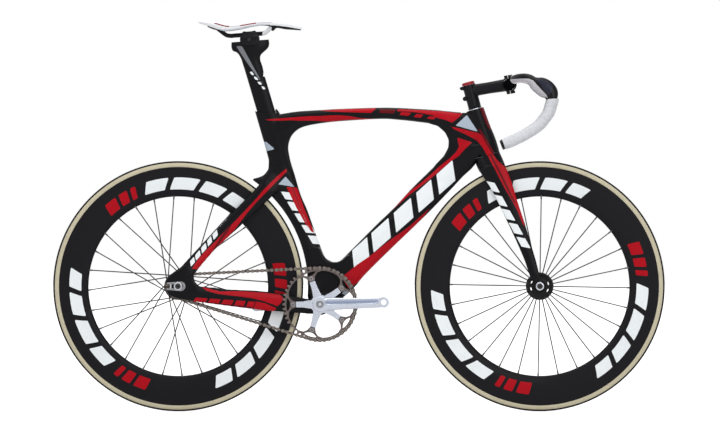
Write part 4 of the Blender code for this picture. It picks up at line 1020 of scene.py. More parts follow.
@dataclass(frozen=True)
class LacquerFinish(Finish):
    """Clear lacquer over black carbon fibre, with painted shapes."""

    layers: tuple[PaintLayer, ...] = ()
    base: tuple[float, ...] = BLACK
    roughness: float = 0.30
    shine: float = 0.09
    coat: float = 0.03
    weave: float = 1.4
    grain: Point = (1300.0, 11.0)
    unevenness: float = 0.07
    mottling: float = 0.08
    coat_roughness: float = 0.07
    bump: float = 0.00002

    def pour(self, dye: Dye) -> None:
        """Faint threads under the paint, and a soft gloss over it."""
        threads = dye.effect(dye.effects.weave, Place=dye.place).outputs["Threads"]
        colour = dye.painted(dye.blend(threads, self.base, toned(self.base, self.weave)), self.layers)
        grain = dye.grain(*self.grain)
        shade = dye.ranged(grain["Broad"], 1.0 - self.mottling, 1.0 + self.mottling)
        scaled = dye.node("ShaderNodeVectorMath", {0: colour, 3: shade}, operation="SCALE")
        dye.colour(scaled.outputs[0])
        dye.roughness(grain["Broad"], self.roughness, self.unevenness)
        dye.bump(grain["Fine"], self.bump)
        dye.feed("Specular IOR Level", self.shine)
        dye.feed("Coat Weight", self.coat)
        dye.feed("Coat Roughness", self.coat_roughness)


@dataclass(frozen=True)
class MetalFinish(Finish):
    """Bare or anodised metal, brushed or turned, with worn edges."""

    colour: tuple[float, ...]
    metallic: float = 1.0
    roughness: float = 0.25
    worn: tuple[float, ...] = tone(205, 208, 212)
    wear: float = 0.4
    centre: tuple[float, float, float] = (0.0, 0.0, 0.0)
    layers: tuple[PaintLayer, ...] = ()
    unevenness: float = 0.06
    shine: float = 0.5
    grain: Point = (2200.0, 60.0)
    dull: float = 0.86
    bump: float = 0.000012

    def pour(self, dye: Dye) -> None:
        """Fine turned lines about the centre, and brighter edges."""
        minus = tuple(-part for part in self.centre)
        place = dye.node("ShaderNodeMapping", {"Vector": dye.place, "Location": minus}).outputs[0]
        lines = dye.effect(dye.effects.lathe, Place=place).outputs["Lines"]
        metal = dye.blend(dye.grain(*self.grain)["Broad"], toned(self.colour, self.dull), self.colour)
        dye.colour(dye.blend(dye.wear(self.wear), dye.painted(metal, self.layers), self.worn))
        dye.feed("Metallic", self.metallic)
        dye.feed("Specular IOR Level", self.shine)
        dye.roughness(lines, self.roughness, self.unevenness)
        dye.bump(lines, self.bump)


@dataclass(frozen=True)
class GrimyFinish(Finish):
    """Oiled steel with broad patches of dark grime."""

    colour: tuple[float, ...]
    grime: tuple[float, ...]
    roughness: float = 0.36
    metallic: float = 0.85
    grain: Point = (700.0, 120.0)
    wear: float = 0.9
    rubbed: float = 1.9
    smoother: float = 0.1
    rougher: float = 0.14
    bump: float = 0.00004

    def pour(self, dye: Dye) -> None:
        """Patches of grime, and edges that the chain rubs bright."""
        grain = dye.grain(*self.grain)
        steel = dye.blend(grain["Broad"], self.grime, self.colour)
        dye.colour(dye.blend(dye.wear(self.wear), steel, toned(self.colour, self.rubbed)))
        dye.feed("Metallic", self.metallic)
        low, high = self.roughness - self.smoother, self.roughness + self.rougher
        dye.feed("Roughness", dye.ranged(grain["Fine"], low, high))
        dye.bump(grain["Fine"], self.bump)


@dataclass(frozen=True)
class RubberFinish(Finish):
    """Rubber or matt moulded plastic."""

    colour: tuple[float, ...]
    stain: tuple[float, ...]
    roughness: float = 0.65
    fine: float = 1500.0
    broad: float = 35.0
    bump: float = 0.00005
    unevenness: float = 0.08
    shine: float = 0.14

    def pour(self, dye: Dye) -> None:
        """A dull stained skin with a fine grain."""
        grain = dye.grain(self.fine, self.broad)
        dye.colour(dye.blend(grain["Broad"], self.stain, self.colour))
        dye.roughness(grain["Fine"], self.roughness, self.unevenness)
        dye.bump(grain["Fine"], self.bump)
        dye.feed("Specular IOR Level", self.shine)


@dataclass(frozen=True)
class CoverFinish(Finish):
    """Smooth synthetic leather with a fine pebble."""

    colour: tuple[float, ...]
    shade: tuple[float, ...]
    layers: tuple[PaintLayer, ...] = ()
    pebble: float = 900.0
    grain: Point = (1800.0, 30.0)
    smoothest: float = 0.4
    roughest: float = 0.58
    bump: float = 0.00006
    shine: float = 0.4

    def pour(self, dye: Dye) -> None:
        """A pebbled skin with painted layers, such as painted shade along the cushion's lower side."""
        pebble = dye.node("ShaderNodeTexVoronoi", {"Vector": dye.place, "Scale": self.pebble})
        grain = dye.grain(*self.grain)
        dye.colour(dye.painted(dye.blend(grain["Broad"], self.shade, self.colour), self.layers))
        dye.feed("Roughness", dye.ranged(grain["Fine"], self.smoothest, self.roughest))
        dye.bump(pebble.outputs["Distance"], self.bump)
        dye.feed("Specular IOR Level", self.shine)


@dataclass(frozen=True)
class TapeFinish(Finish):
    """Perforated bar tape; its wraps carry their own flat coordinates."""

    colour: tuple[float, ...]
    hole: tuple[float, ...]
    grain: Point = (1100.0, 45.0)
    dull: float = 0.88
    hole_strength: float = 0.9
    smoothest: float = 0.5
    roughest: float = 0.7
    bump: float = 0.0002

    def pour(self, dye: Dye) -> None:
        """A soft pale skin with rows of dark sunk holes."""
        holes = dye.effect(dye.effects.holes, Along=dye.attribute("along"), Round=dye.attribute("round"))
        mask = holes.outputs["Mask"]
        grain = dye.grain(*self.grain)
        shaded = dye.blend(grain["Broad"], toned(self.colour, self.dull), self.colour)
        dye.colour(dye.blend(dye.ranged(mask, 0.0, self.hole_strength), shaded, self.hole))
        dye.feed("Roughness", dye.ranged(grain["Fine"], self.smoothest, self.roughest))
        dye.bump(dye.ranged(mask, 1.0, 0.0), self.bump)


class Finishes:
    """All the finishes of the bicycle, mixed once."""

    def __init__(self) -> None:
        """Mixes every material."""
        effects = Effects()
        white, red = PaintLayer("white", WHITE), PaintLayer("red", RED)
        deep_red = PaintLayer("deep_red", DEEP_RED)
        mixes = (
            LacquerFinish("frame_lacquer", (PaintLayer("silver", SILVER_GREY), white, red, deep_red)),
            LacquerFinish("fork_lacquer", (white, red, deep_red)),
            LacquerFinish("rim_lacquer", (white, red), tone(24, 23, 26), 0.42, 0.09, weave=1.12),
            LacquerFinish("post_lacquer", (PaintLayer("silver", tone(122, 124, 130)), white)),
            # The bar's two layers are painted reflections: a pale one under the bar and a slate-blue one on
            # its bend.
            LacquerFinish(
                "bar_lacquer",
                (PaintLayer("silver", tone(186, 184, 190)), PaintLayer("slate", tone(40, 42, 54))),
                tone(14, 14, 17), 0.2, 0.14,
            ),
            LacquerFinish("rail_lacquer", (PaintLayer("silver", tone(205, 206, 210)),)),
            RubberFinish("cream_casing", tone(205, 197, 172), tone(188, 180, 153), 0.6, 1900.0),
            RubberFinish("tread_rubber", tone(26, 26, 27), tone(18, 18, 19), 0.72, 2400.0),
            RubberFinish("black_nylon", tone(20, 20, 21), tone(14, 14, 15), 0.5),
            RubberFinish("black_matt", tone(24, 24, 27), tone(18, 18, 21), 0.6, shine=0.0),
            MetalFinish("spoke_steel", tone(44, 43, 44), 0.3, 0.4, wear=0.1, shine=0.2),
            MetalFinish("nipple_alloy", tone(46, 46, 48), 0.4, 0.35, wear=0.2, shine=0.3),
            MetalFinish("black_alloy", tone(17, 17, 21), 0.0, 0.34, tone(70, 70, 75), 0.25, shine=0.13),
            MetalFinish("hub_alloy", tone(15, 15, 17), 0.0, 0.34, tone(60, 60, 64), 0.2, shine=0.14),
            MetalFinish("polished_alloy", tone(176, 179, 186), 1.0, 0.24, tone(214, 216, 220), 0.3),
            MetalFinish("plate_steel", tone(124, 122, 124), 1.0, 0.34, tone(170, 170, 172), 0.3),
            # The crank's layer is painted bluish shade in the groove along each arm.
            MetalFinish(
                "crank_alloy", tone(184, 189, 200), 1.0, 0.26, tone(222, 225, 230), 0.2, tuple(CRANK_AXLE),
                (PaintLayer("recess", tone(126, 137, 160)),),
            ),
            MetalFinish("bolt_steel", tone(126, 127, 130), 1.0, 0.3),
            MetalFinish("dark_steel", tone(48, 46, 46), 0.6, 0.36, tone(96, 94, 92), 0.4, shine=0.3),
            MetalFinish("red_alloy", tone(128, 16, 28), 0.5, 0.30, tone(170, 70, 76), 0.3, shine=0.3),
            GrimyFinish("chain_steel", tone(88, 82, 78), tone(58, 53, 50)),
            GrimyFinish("inner_link_steel", tone(52, 48, 45), tone(34, 31, 30)),
            GrimyFinish("ring_steel", tone(98, 90, 88), tone(74, 66, 64), 0.40),
            TapeFinish("white_tape", tone(226, 228, 233), tone(96, 99, 108)),
            # The cover's grey layer is painted shade along the cushion's lower side.
            CoverFinish(
                "white_cover", tone(232, 234, 236), tone(224, 226, 230),
                (PaintLayer("grey", tone(192, 196, 203)),),
            ),
            CoverFinish(
                "red_piping", tone(140, 16, 26), tone(118, 12, 22),
                (PaintLayer("grey", tone(206, 207, 211)),),
            ),
        )
        self.materials = {mix.name: mix.mix(effects) for mix in mixes}

    def __getitem__(self, name: str) -> bpy.types.Material:
        """The material of this name."""
        return self.materials[name]


@dataclass
class Maker:
    """What every sub-assembly shares: its finishes, and how a piece is put in place."""

    finishes: Finishes

    def present(
        self, obj: Object, body: str, slot: str, finish: str, *nodes: str, angle: float = radians(32)
    ) -> Object:
        """Dresses a finished piece and hangs it on its body.

        Args:
            obj: The piece.
            body: The CAD body that carries it.
            slot: Not used; the material slot of the record that its finish comes from.
            finish: The finish's name.
            nodes: The CAD nodes that it stands for.
            angle: The angle up to which its faces are shaded as one.

        Returns:
            The piece.
        """
        obj.data.materials.clear()
        obj.data.materials.append(self.finishes[finish])
        select_only(obj)
        bpy.ops.object.shade_smooth_by_angle(angle=angle)
        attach(obj, body)
        if nodes:
            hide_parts(*nodes)
        LOG.info("%s: %d faces", obj.name, len(obj.data.polygons))
        return obj


# The frame


@dataclass
class FrameMoulding(Maker):
    """The carbon frame as one moulding, with its painted shapes.

    Tube rows give the share of the tube's line, its upper and lower edge and its half
    width. Stay rows end with the inner and outer face across Y instead.
    """

    voxel: float = 0.0028
    rounds: int = 8
    tyre_gap: float = 0.012
    head_squareness: float = 0.95
    stay_squareness: float = 0.8
    shell_radius: float = 0.027
    skin_half: float = 0.037
    fin_half: float = 0.0125
    cup_radius: float = 0.020
    bore_radius: float = 0.0163
    dropout_faces: Point = (0.0602, 0.0668)
    slot_half: float = 0.0053
    slot_room: float = 0.0070
    clamp_half: float = 0.0073
    top_rows: tuple[Row, ...] = (
        (0.000, 0.017, -0.064, 0.0130),
        (0.085, 0.026, -0.058, 0.0150),
        (0.105, 0.028, -0.038, 0.0155),
        (0.130, 0.030, -0.022, 0.0160),
        (0.165, 0.032, -0.011, 0.0160),
        (0.240, 0.035, -0.002, 0.0160),
        (0.335, 0.039, 0.005, 0.0160),
        (0.525, 0.044, 0.013, 0.0165),
        (0.620, 0.044, 0.011, 0.0170),
        (0.715, 0.042, 0.006, 0.0175),
        (0.794, 0.040, 0.000, 0.0180),
        (0.832, 0.038, -0.012, 0.0190),
        (0.858, 0.037, -0.040, 0.0200),
        (0.880, 0.036, -0.0445, 0.0205),
        (1.000, 0.031, -0.0450, 0.0210),
    )
    down_rows: tuple[Row, ...] = (
        (0.000, 0.034, -0.026, 0.0210),
        (0.100, 0.050, -0.032, 0.0200),
        (0.165, 0.054, -0.033, 0.0190),
        (0.195, 0.0455, -0.030, 0.0185),
        (0.260, 0.0450, -0.028, 0.0180),
        (0.410, 0.0460, -0.028, 0.0180),
        (0.525, 0.0455, -0.029, 0.0180),
        (0.630, 0.0490, -0.029, 0.0180),
        (0.750, 0.0490, -0.027, 0.0185),
        (0.830, 0.0500, -0.025, 0.0190),
        (0.872, 0.0560, -0.026, 0.0200),
        (0.900, 0.0570, -0.025, 0.0205),
        (0.950, 0.0285, -0.021, 0.0210),
        (0.985, 0.0080, -0.015, 0.0210),
    )
    head_rows: tuple[Row, ...] = (
        (0.352, 0.021, -0.0322, 0.0246),
        (0.407, 0.021, -0.0318, 0.0240),
        (0.451, 0.021, -0.0268, 0.0228),
        (0.507, 0.0223, -0.0225, 0.0222),
    )
    seat_rows: tuple[Row, ...] = (
        (-0.004, -0.004, 0.026, -0.004, 0.022),
        (0.030, 0.030, 0.036, -0.008, 0.021),
        (0.060, 0.060, 0.042, -0.026, 0.019),
        (0.098, 0.104, 0.044, -0.052, 0.017),
        (0.120, 0.120, 0.044, -0.040, 0.016),
        (0.193, 0.193, 0.044, -0.034, 0.015),
        (0.252, 0.252, 0.050, -0.031, 0.015),
        (0.308, 0.298, 0.060, -0.0255, 0.015),
        (0.351, 0.351, 0.0455, -0.0255, 0.015),
        (0.396, 0.396, 0.033, -0.0250, 0.0145),
        (0.439, 0.439, 0.0305, -0.0270, 0.0145),
        (0.554, 0.529, 0.0294, -0.0312, 0.0140),
    )
    seat_stay_rows: tuple[Row, ...] = (
        (0.035, 0.0160, -0.0230, 0.0590, 0.0690),
        (0.100, 0.0190, -0.0210, 0.0535, 0.0650),
        (0.145, 0.0200, -0.0190, 0.0500, 0.0615),
        (0.250, 0.0190, -0.0155, 0.0425, 0.0540),
        (0.345, 0.0185, -0.0160, 0.0360, 0.0475),
        (0.550, 0.0200, -0.0220, 0.0250, 0.0370),
        (0.700, 0.0190, -0.0255, 0.0195, 0.0315),
        (0.790, 0.0190, -0.0285, 0.0175, 0.0290),
        (0.850, 0.0240, -0.0300, 0.0150, 0.0270),
        (0.905, 0.0290, -0.0330, 0.0060, 0.0200),
        (0.940, 0.0300, -0.0350, 0.0010, 0.0160),
        (1.000, 0.0290, -0.0350, 0.0010, 0.0150),
    )
    chain_stay_rows: tuple[Row, ...] = (
        (0.120, 0.0085, -0.0360, 0.0570, 0.0685),
        (0.220, 0.0095, -0.0360, 0.0500, 0.0630),
        (0.350, 0.0090, -0.0360, 0.0410, 0.0560),
        (0.500, 0.0140, -0.0360, 0.0310, 0.0480),
        (0.650, 0.0160, -0.0350, 0.0230, 0.0405),
        (0.800, 0.0135, -0.0320, 0.0180, 0.0350),
        (0.920, 0.0100, -0.0300, 0.0175, 0.0340),
        (1.000, 0.0060, -0.0270, 0.0175, 0.0340),
    )

    webs: tuple[tuple[float, tuple[Point, ...]], ...] = (
        (0.0160, (
            (0.190, 0.767), (0.210, 0.7617), (0.2297, 0.7444), (0.2396, 0.7243), (0.2383, 0.7043),
            (0.2263, 0.6816), (0.203, 0.6576), (0.2351, 0.6389), (0.3040, 0.6600), (0.3040, 0.7600),
            (0.2431, 0.7800),
        )),
        (0.0135, (
            (-0.0773, 0.7804), (-0.104, 0.7698), (-0.1414, 0.7617), (-0.1627, 0.7537), (-0.1777, 0.7404),
            (-0.1868, 0.7217), (-0.1888, 0.7003), (-0.1841, 0.6736), (-0.1777, 0.6469), (-0.2020, 0.6469),
            (-0.2200, 0.6977), (-0.2200, 0.7700), (-0.1574, 0.7860),
        )),
        (0.0175, (
            (-0.1300, 0.4400), (-0.1030, 0.4360), (-0.0968, 0.4205), (-0.0870, 0.4066), (-0.0770, 0.4000),
            (-0.0656, 0.3980), (-0.0560, 0.3990), (-0.0460, 0.4036), (-0.0322, 0.4157), (-0.0200, 0.4180),
            (-0.0200, 0.3700), (-0.0600, 0.3300), (-0.1300, 0.3300), (-0.1385, 0.3600),
        )),
    )
    fin: tuple[Point, ...] = (
        (-0.2405, 0.6763), (-0.2418, 0.6443), (-0.2525, 0.6319), (-0.2669, 0.6249), (-0.2850, 0.6206),
        (-0.2760, 0.6042), (-0.2775, 0.5908), (-0.2482, 0.5748), (-0.2215, 0.6176), (-0.2215, 0.6710),
    )
    eased: tuple[tuple[Point, float], ...] = (
        ((0.262, 0.702), 0.062), ((-0.205, 0.725), 0.062), ((-0.225, 0.620), 0.052), ((-0.095, 0.345), 0.085),
        ((-0.428, 0.372), 0.045), ((-0.425, 0.325), 0.040),
    )
    ease_rounds: int = 18

    def seat_tube(self) -> Object:
        """The seat tube, cut out for the rear wheel and left long at its top."""
        rings = []
        for rear_along, front_along, rear, front, half in flowing_rows(self.seat_rows, ROW_STEPS):
            rings.append(section(SEAT_LINE.at(front_along, front), SEAT_LINE.at(rear_along, rear), half))
        return self.clear_of_wheel(loft("seat_tube_skin", rings))

    def clear_of_wheel(self, obj: Object) -> Object:
        """Cuts the rear wheel's room out of an object."""
        room = drum("wheel_room", WHEEL_RADIUS + self.tyre_gap, -0.05, 0.05, REAR_AXLE, steps=180)
        return carve(obj, room)

    def web(self, outline: Sequence[Point], half: float) -> Object:
        """A flat body that fills the corner between tubes."""
        return plate("web", [Vector((ahead, 0.0, up)) for ahead, up in outline], -half, half)

    def dropout(self, side: Side) -> Object:
        """The flat end of the frame on one side, before its slot is cut."""
        outline = [
            (-0.0345, 0.0053), (-0.0325, -0.0053), (-0.0260, -0.0240), (0.0020, -0.0345),
            (0.0580, -0.0420), (0.0560, 0.0010), (0.0435, 0.0150), (0.0420, 0.0330),
            (0.0160, 0.0580), (-0.0220, 0.0310), (-0.0355, 0.0150),
        ]
        corners = [REAR_AXLE + Vector((ahead, 0.0, up)) for ahead, up in outline]
        return plate("dropout_skin", corners, *side.span(*self.dropout_faces))

    def skins(self) -> list[Object]:
        """All the closed bodies that the moulding is melted from."""
        made = [
            tube("top_tube_skin", TOP_LINE, self.top_rows, scale=TOP_LINE.length),
            tube("down_tube_skin", DOWN_LINE, self.down_rows, scale=DOWN_LINE.length),
            tube("head_tube_skin", STEER_LINE, self.head_rows, self.head_squareness),
            self.seat_tube(),
            drum("shell_skin", self.shell_radius, -self.skin_half, self.skin_half, CRANK_AXLE),
        ]
        made += [self.web(outline, half) for half, outline in self.webs]
        made.append(self.clear_of_wheel(self.web(self.fin, self.fin_half)))
        for side in Side:
            for line, rows in ((STAY_LINE, self.seat_stay_rows), (CHAINSTAY_LINE, self.chain_stay_rows)):
                made.append(tube("stay_skin", line, rows, self.stay_squareness, side, line.length))
            made.append(self.dropout(side))
        return made

    def cutters(self) -> list[Object]:
        """What is cut from the moulding after it is smoothed."""
        foot, way = STEER_FOOT, STEER_LINE.direction
        top_plane = SEAT_LINE.outline((
            (0.0, 0.045), (0.0, 0.0297), (-0.0250, -0.0312), (-0.0250, -0.034), (0.03, -0.034),
            (0.03, 0.045),
        ), SEAT_TUBE_LENGTH)
        seat, bore = BEARING_RADIUS + GAP, self.bore_radius
        upper, lower = HEAD_HIGH - BEARING_HEIGHT, HEAD_LOW + BEARING_HEIGHT
        bored = [
            (0.0, HEAD_HIGH + 0.02), (0.04, HEAD_HIGH + 0.02), (0.04, HEAD_HIGH), (seat, HEAD_HIGH),
            (seat, upper), (bore, upper), (bore, lower), (seat, lower), (seat, HEAD_LOW + GAP),
            (0.0360, HEAD_LOW + GAP), (0.0388, HEAD_LOW - 0.0137), (0.0394, HEAD_LOW - 0.07),
            (0.0, HEAD_LOW - 0.07),
        ]
        depth, above = 0.185, 0.03
        ends = (SEAT_TUBE_LENGTH - depth, SEAT_TUBE_LENGTH + above)
        pocket = SeatPost(self.finishes).plain_rings(ends, GAP)
        wedge = SEAT_LINE.outline((
            (-0.0383, 0.0), (0.010, 0.0), (0.010, -0.0303), (-0.0217, -0.0338), (-0.0383, -0.0303),
        ), SEAT_TUBE_LENGTH)
        made = [
            turned("head_bore", bored, foot, way, closed=False),
            plate("top_plane", top_plane, -0.05, 0.05),
            loft("post_pocket", pocket),
            plate("wedge_room", wedge, -self.clamp_half, self.clamp_half),
            drum("shell_bore", self.cup_radius + GAP, -0.06, 0.06, CRANK_AXLE),
        ]
        for side in Side:
            beyond = ring_wall(0.0290, 0.015, *side.span(SHELL_HALF, 0.045))
            made.append(turned("shell_end", beyond, CRANK_AXLE))
            made.append(self.slot(side))
        return made

    def slot(self, side: Side) -> Object:
        """The axle's slot on one side, open to the rear."""
        half = self.slot_half
        end = REAR_AXLE + self.slot_room * X_AXIS
        bend = [around(end, half, -pi / 2 + pi * index / 10) for index in range(11)]
        outline = [REAR_AXLE + Vector((-0.06, 0.0, -half)), *bend, REAR_AXLE + Vector((-0.06, 0.0, half))]
        return plate("axle_slot", outline, *side.span(0.052, 0.075))

    def paint(self, moulding: Object) -> None:
        """Marks where each colour lies."""
        red = (
            Patch(((-0.259, 0.779), (-0.237, 0.780), (-0.211, 0.782), (-0.184, 0.784), (-0.157, 0.786),
                   (-0.131, 0.788), (-0.104, 0.788), (-0.077, 0.790), (-0.051, 0.790), (-0.024, 0.788),
                   (0.003, 0.783), (0.046, 0.780), (0.003, 0.779), (-0.024, 0.778), (-0.051, 0.776),
                   (-0.077, 0.773), (-0.104, 0.775), (-0.131, 0.776), (-0.157, 0.776), (-0.184, 0.777),
                   (-0.211, 0.776), (-0.237, 0.776))),
            Patch(((-0.1093, 0.8029), (-0.0372, 0.8074), (0.0469, 0.8093), (0.0322, 0.7965),
                   (-0.0372, 0.7986), (-0.0773, 0.8002))),
            Patch(((0.1043, 0.8066), (0.163, 0.8047), (0.2164, 0.8015), (0.2765, 0.7949),
                   (0.2698, 0.7874), (0.2484, 0.7703), (0.2324, 0.7772), (0.2111, 0.7826),
                   (0.1977, 0.7901), (0.163, 0.7965), (0.1363, 0.7997), (0.1016, 0.801))),
            Patch(((0.1128, 0.7986), (0.14, 0.7967), (0.1315, 0.7885), (0.108, 0.7914))),
            Patch(((0.1534, 0.7938), (0.1721, 0.7917), (0.1641, 0.7836), (0.1454, 0.7858))),
            Patch(((0.1881, 0.7879), (0.2063, 0.7852), (0.1988, 0.7788), (0.1806, 0.7815))),
            Patch(((0.243, 0.761), (0.270, 0.755), (0.297, 0.748), (0.318, 0.743), (0.3262, 0.738),
                   (0.3345, 0.7240), (0.3440, 0.7060), (0.3570, 0.6855), (0.3600, 0.6780), (0.3480, 0.6740),
                   (0.3420, 0.6830), (0.3290, 0.7060), (0.3160, 0.7215), (0.302, 0.730), (0.283, 0.740),
                   (0.256, 0.752))),
            Patch(((0.262, 0.731), (0.302, 0.718), (0.278, 0.695), (0.267, 0.682), (0.243, 0.666),
                   (0.216, 0.642), (0.190, 0.620), (0.163, 0.599), (0.136, 0.579), (0.110, 0.556),
                   (0.083, 0.533), (0.070, 0.529), (0.083, 0.540), (0.110, 0.564), (0.136, 0.588),
                   (0.163, 0.608), (0.190, 0.631), (0.216, 0.655), (0.243, 0.676), (0.259, 0.692),
                   (0.267, 0.706))),
            Patch(((0.190, 0.543), (0.163, 0.519), (0.136, 0.495), (0.110, 0.476), (0.083, 0.457),
                   (0.056, 0.436), (0.030, 0.415), (-0.003, 0.393), (-0.046, 0.358), (-0.028, 0.328),
                   (0.003, 0.348), (0.030, 0.376), (0.056, 0.401), (0.083, 0.427), (0.110, 0.452),
                   (0.136, 0.481), (0.163, 0.507))),
            Patch(((-0.1934, 0.5989), (-0.1798, 0.5989), (-0.1574, 0.5428), (-0.1318, 0.4841),
                   (-0.14, 0.4948), (-0.1681, 0.5455))),
            Patch(((-0.1766, 0.5983), (-0.1649, 0.5967), (-0.1467, 0.5428), (-0.1189, 0.4761),
                   (-0.128, 0.4803), (-0.1521, 0.5348))),
            Patch(((-0.1934, 0.6483), (-0.2183, 0.6275), (-0.2407, 0.6056), (-0.2562, 0.5895),
                   (-0.2685, 0.5743), (-0.2821, 0.5588), (-0.2981, 0.5423), (-0.3133, 0.526),
                   (-0.3277, 0.5108), (-0.3427, 0.4958), (-0.3603, 0.4787), (-0.383, 0.4536),
                   (-0.4057, 0.4323), (-0.4297, 0.4056), (-0.4452, 0.381), (-0.4316, 0.3789),
                   (-0.4148, 0.396), (-0.3924, 0.4173), (-0.3827, 0.4288), (-0.3683, 0.444),
                   (-0.3518, 0.4627), (-0.3293, 0.4878), (-0.3155, 0.5068), (-0.2941, 0.5348),
                   (-0.2695, 0.5626), (-0.2439, 0.5882), (-0.2183, 0.6149), (-0.1921, 0.6403))),
            Patch(((-0.4169, 0.3297), (-0.414, 0.3319), (-0.3961, 0.3268), (-0.3694, 0.3201),
                   (-0.3309, 0.3212), (-0.3016, 0.3201), (-0.2567, 0.3172), (-0.2124, 0.3116),
                   (-0.2012, 0.303), (-0.2063, 0.2913), (-0.2183, 0.2803), (-0.2271, 0.2849),
                   (-0.2567, 0.295), (-0.2864, 0.3025), (-0.3221, 0.3073), (-0.3518, 0.3105),
                   (-0.3755, 0.3135), (-0.4052, 0.3217))),
            Patch(((-0.2735, 0.2934), (-0.2508, 0.2886), (-0.2201, 0.2753), (-0.2268, 0.2667),
                   (-0.2589, 0.2699), (-0.2816, 0.2731))),
            Patch(((-0.4348, 0.3039), (-0.4028, 0.3016), (-0.4113, 0.2886), (-0.4434, 0.2923))),
            Patch(((-0.3961, 0.3011), (-0.3681, 0.2992), (-0.3766, 0.2845), (-0.4046, 0.2878))),
            Patch(((-0.3614, 0.2987), (-0.3333, 0.2968), (-0.3419, 0.2805), (-0.3699, 0.2837))),
            Patch(((-0.3267, 0.2963), (-0.3013, 0.2945), (-0.3099, 0.2767), (-0.3352, 0.2797))),
            Patch(((-0.2946, 0.294), (-0.2759, 0.2927), (-0.2845, 0.2738), (-0.3032, 0.2759))),
        )
        deep_red = (
            Patch(((0.3221, 0.8125), (0.3333, 0.8152), (0.3406, 0.7965), (0.3531, 0.7618),
                   (0.3515, 0.7511), (0.3446, 0.7564), (0.3339, 0.7804))),
            Patch(((0.3189, 0.7532), (0.3237, 0.7532), (0.3403, 0.727), (0.3627, 0.6881), (0.3568, 0.687),
                   (0.335, 0.7217))),
            Patch(((0.0575, 0.8061), (0.0989, 0.8055), (0.0925, 0.7949), (0.0535, 0.797))),
            Patch(((-0.1798, 0.5989), (-0.1766, 0.5983), (-0.1521, 0.5348), (-0.128, 0.4803),
                   (-0.1318, 0.4841), (-0.1574, 0.5428))),
            Patch(((-0.3376, 0.5022), (-0.355, 0.4854), (-0.3726, 0.46), (-0.3908, 0.4269),
                   (-0.3795, 0.4365), (-0.3641, 0.46), (-0.347, 0.4825))),
            Patch(((-0.4164, 0.2929), (-0.2856, 0.279), (-0.2856, 0.2726), (-0.4351, 0.2908))),
        )
        silver = (
            Patch(((0.288, 0.791), (0.318, 0.746), (0.258, 0.763))),
            Patch(((-0.255, 0.720), (-0.247, 0.719), (-0.225, 0.700), (-0.248, 0.694))),
            Patch(((-0.196, 0.627), (-0.172, 0.599), (-0.215, 0.606))),
            Patch(((-0.0458, 0.3153), (-0.0388, 0.3212), (-0.0266, 0.3207), (-0.0356, 0.3089))),
        )
        tube_blocks = ((0.03, 0.17), (0.21, 0.37), (0.42, 0.58), (0.63, 0.77), (0.82, 0.97))
        white = [
            *slanted_blocks((-0.024, 0.396), (0.262, 0.651), (0.021, 0.023), tube_blocks, 0.030),
            *slanted_blocks((-0.199, 0.590), (-0.107, 0.442), (0.010, 0.011), tube_blocks, 0.016),
            *slanted_blocks((-0.4515, 0.3905), (-0.3755, 0.4812), (0.0056, 0.0064), tube_blocks, 0.010),
        ]
        for name, shapes in (("red", red), ("deep_red", deep_red), ("silver", silver), ("white", white)):
            mark(moulding, name, shapes)

    def build(self) -> None:
        """Melts, cuts, paints and hangs the moulding."""
        moulding = forge(gather("frame_moulding", self.skins()), self.voxel, self.rounds)
        ease(moulding, self.eased, self.ease_rounds)
        carve(moulding, *self.cutters())
        turn_out(moulding)
        self.paint(moulding)
        stays = [f"{kind}_stay_{side.word}" for kind in ("seat", "chain") for side in Side]
        ends = [f"track_end_{side.word}" for side in Side]
        tubes = ["head_tube", "top_tube", "down_tube", "seat_tube", "bottom_bracket_shell"]
        self.present(moulding, "frame", "black_paint", "frame_lacquer", *tubes, *stays, *ends)


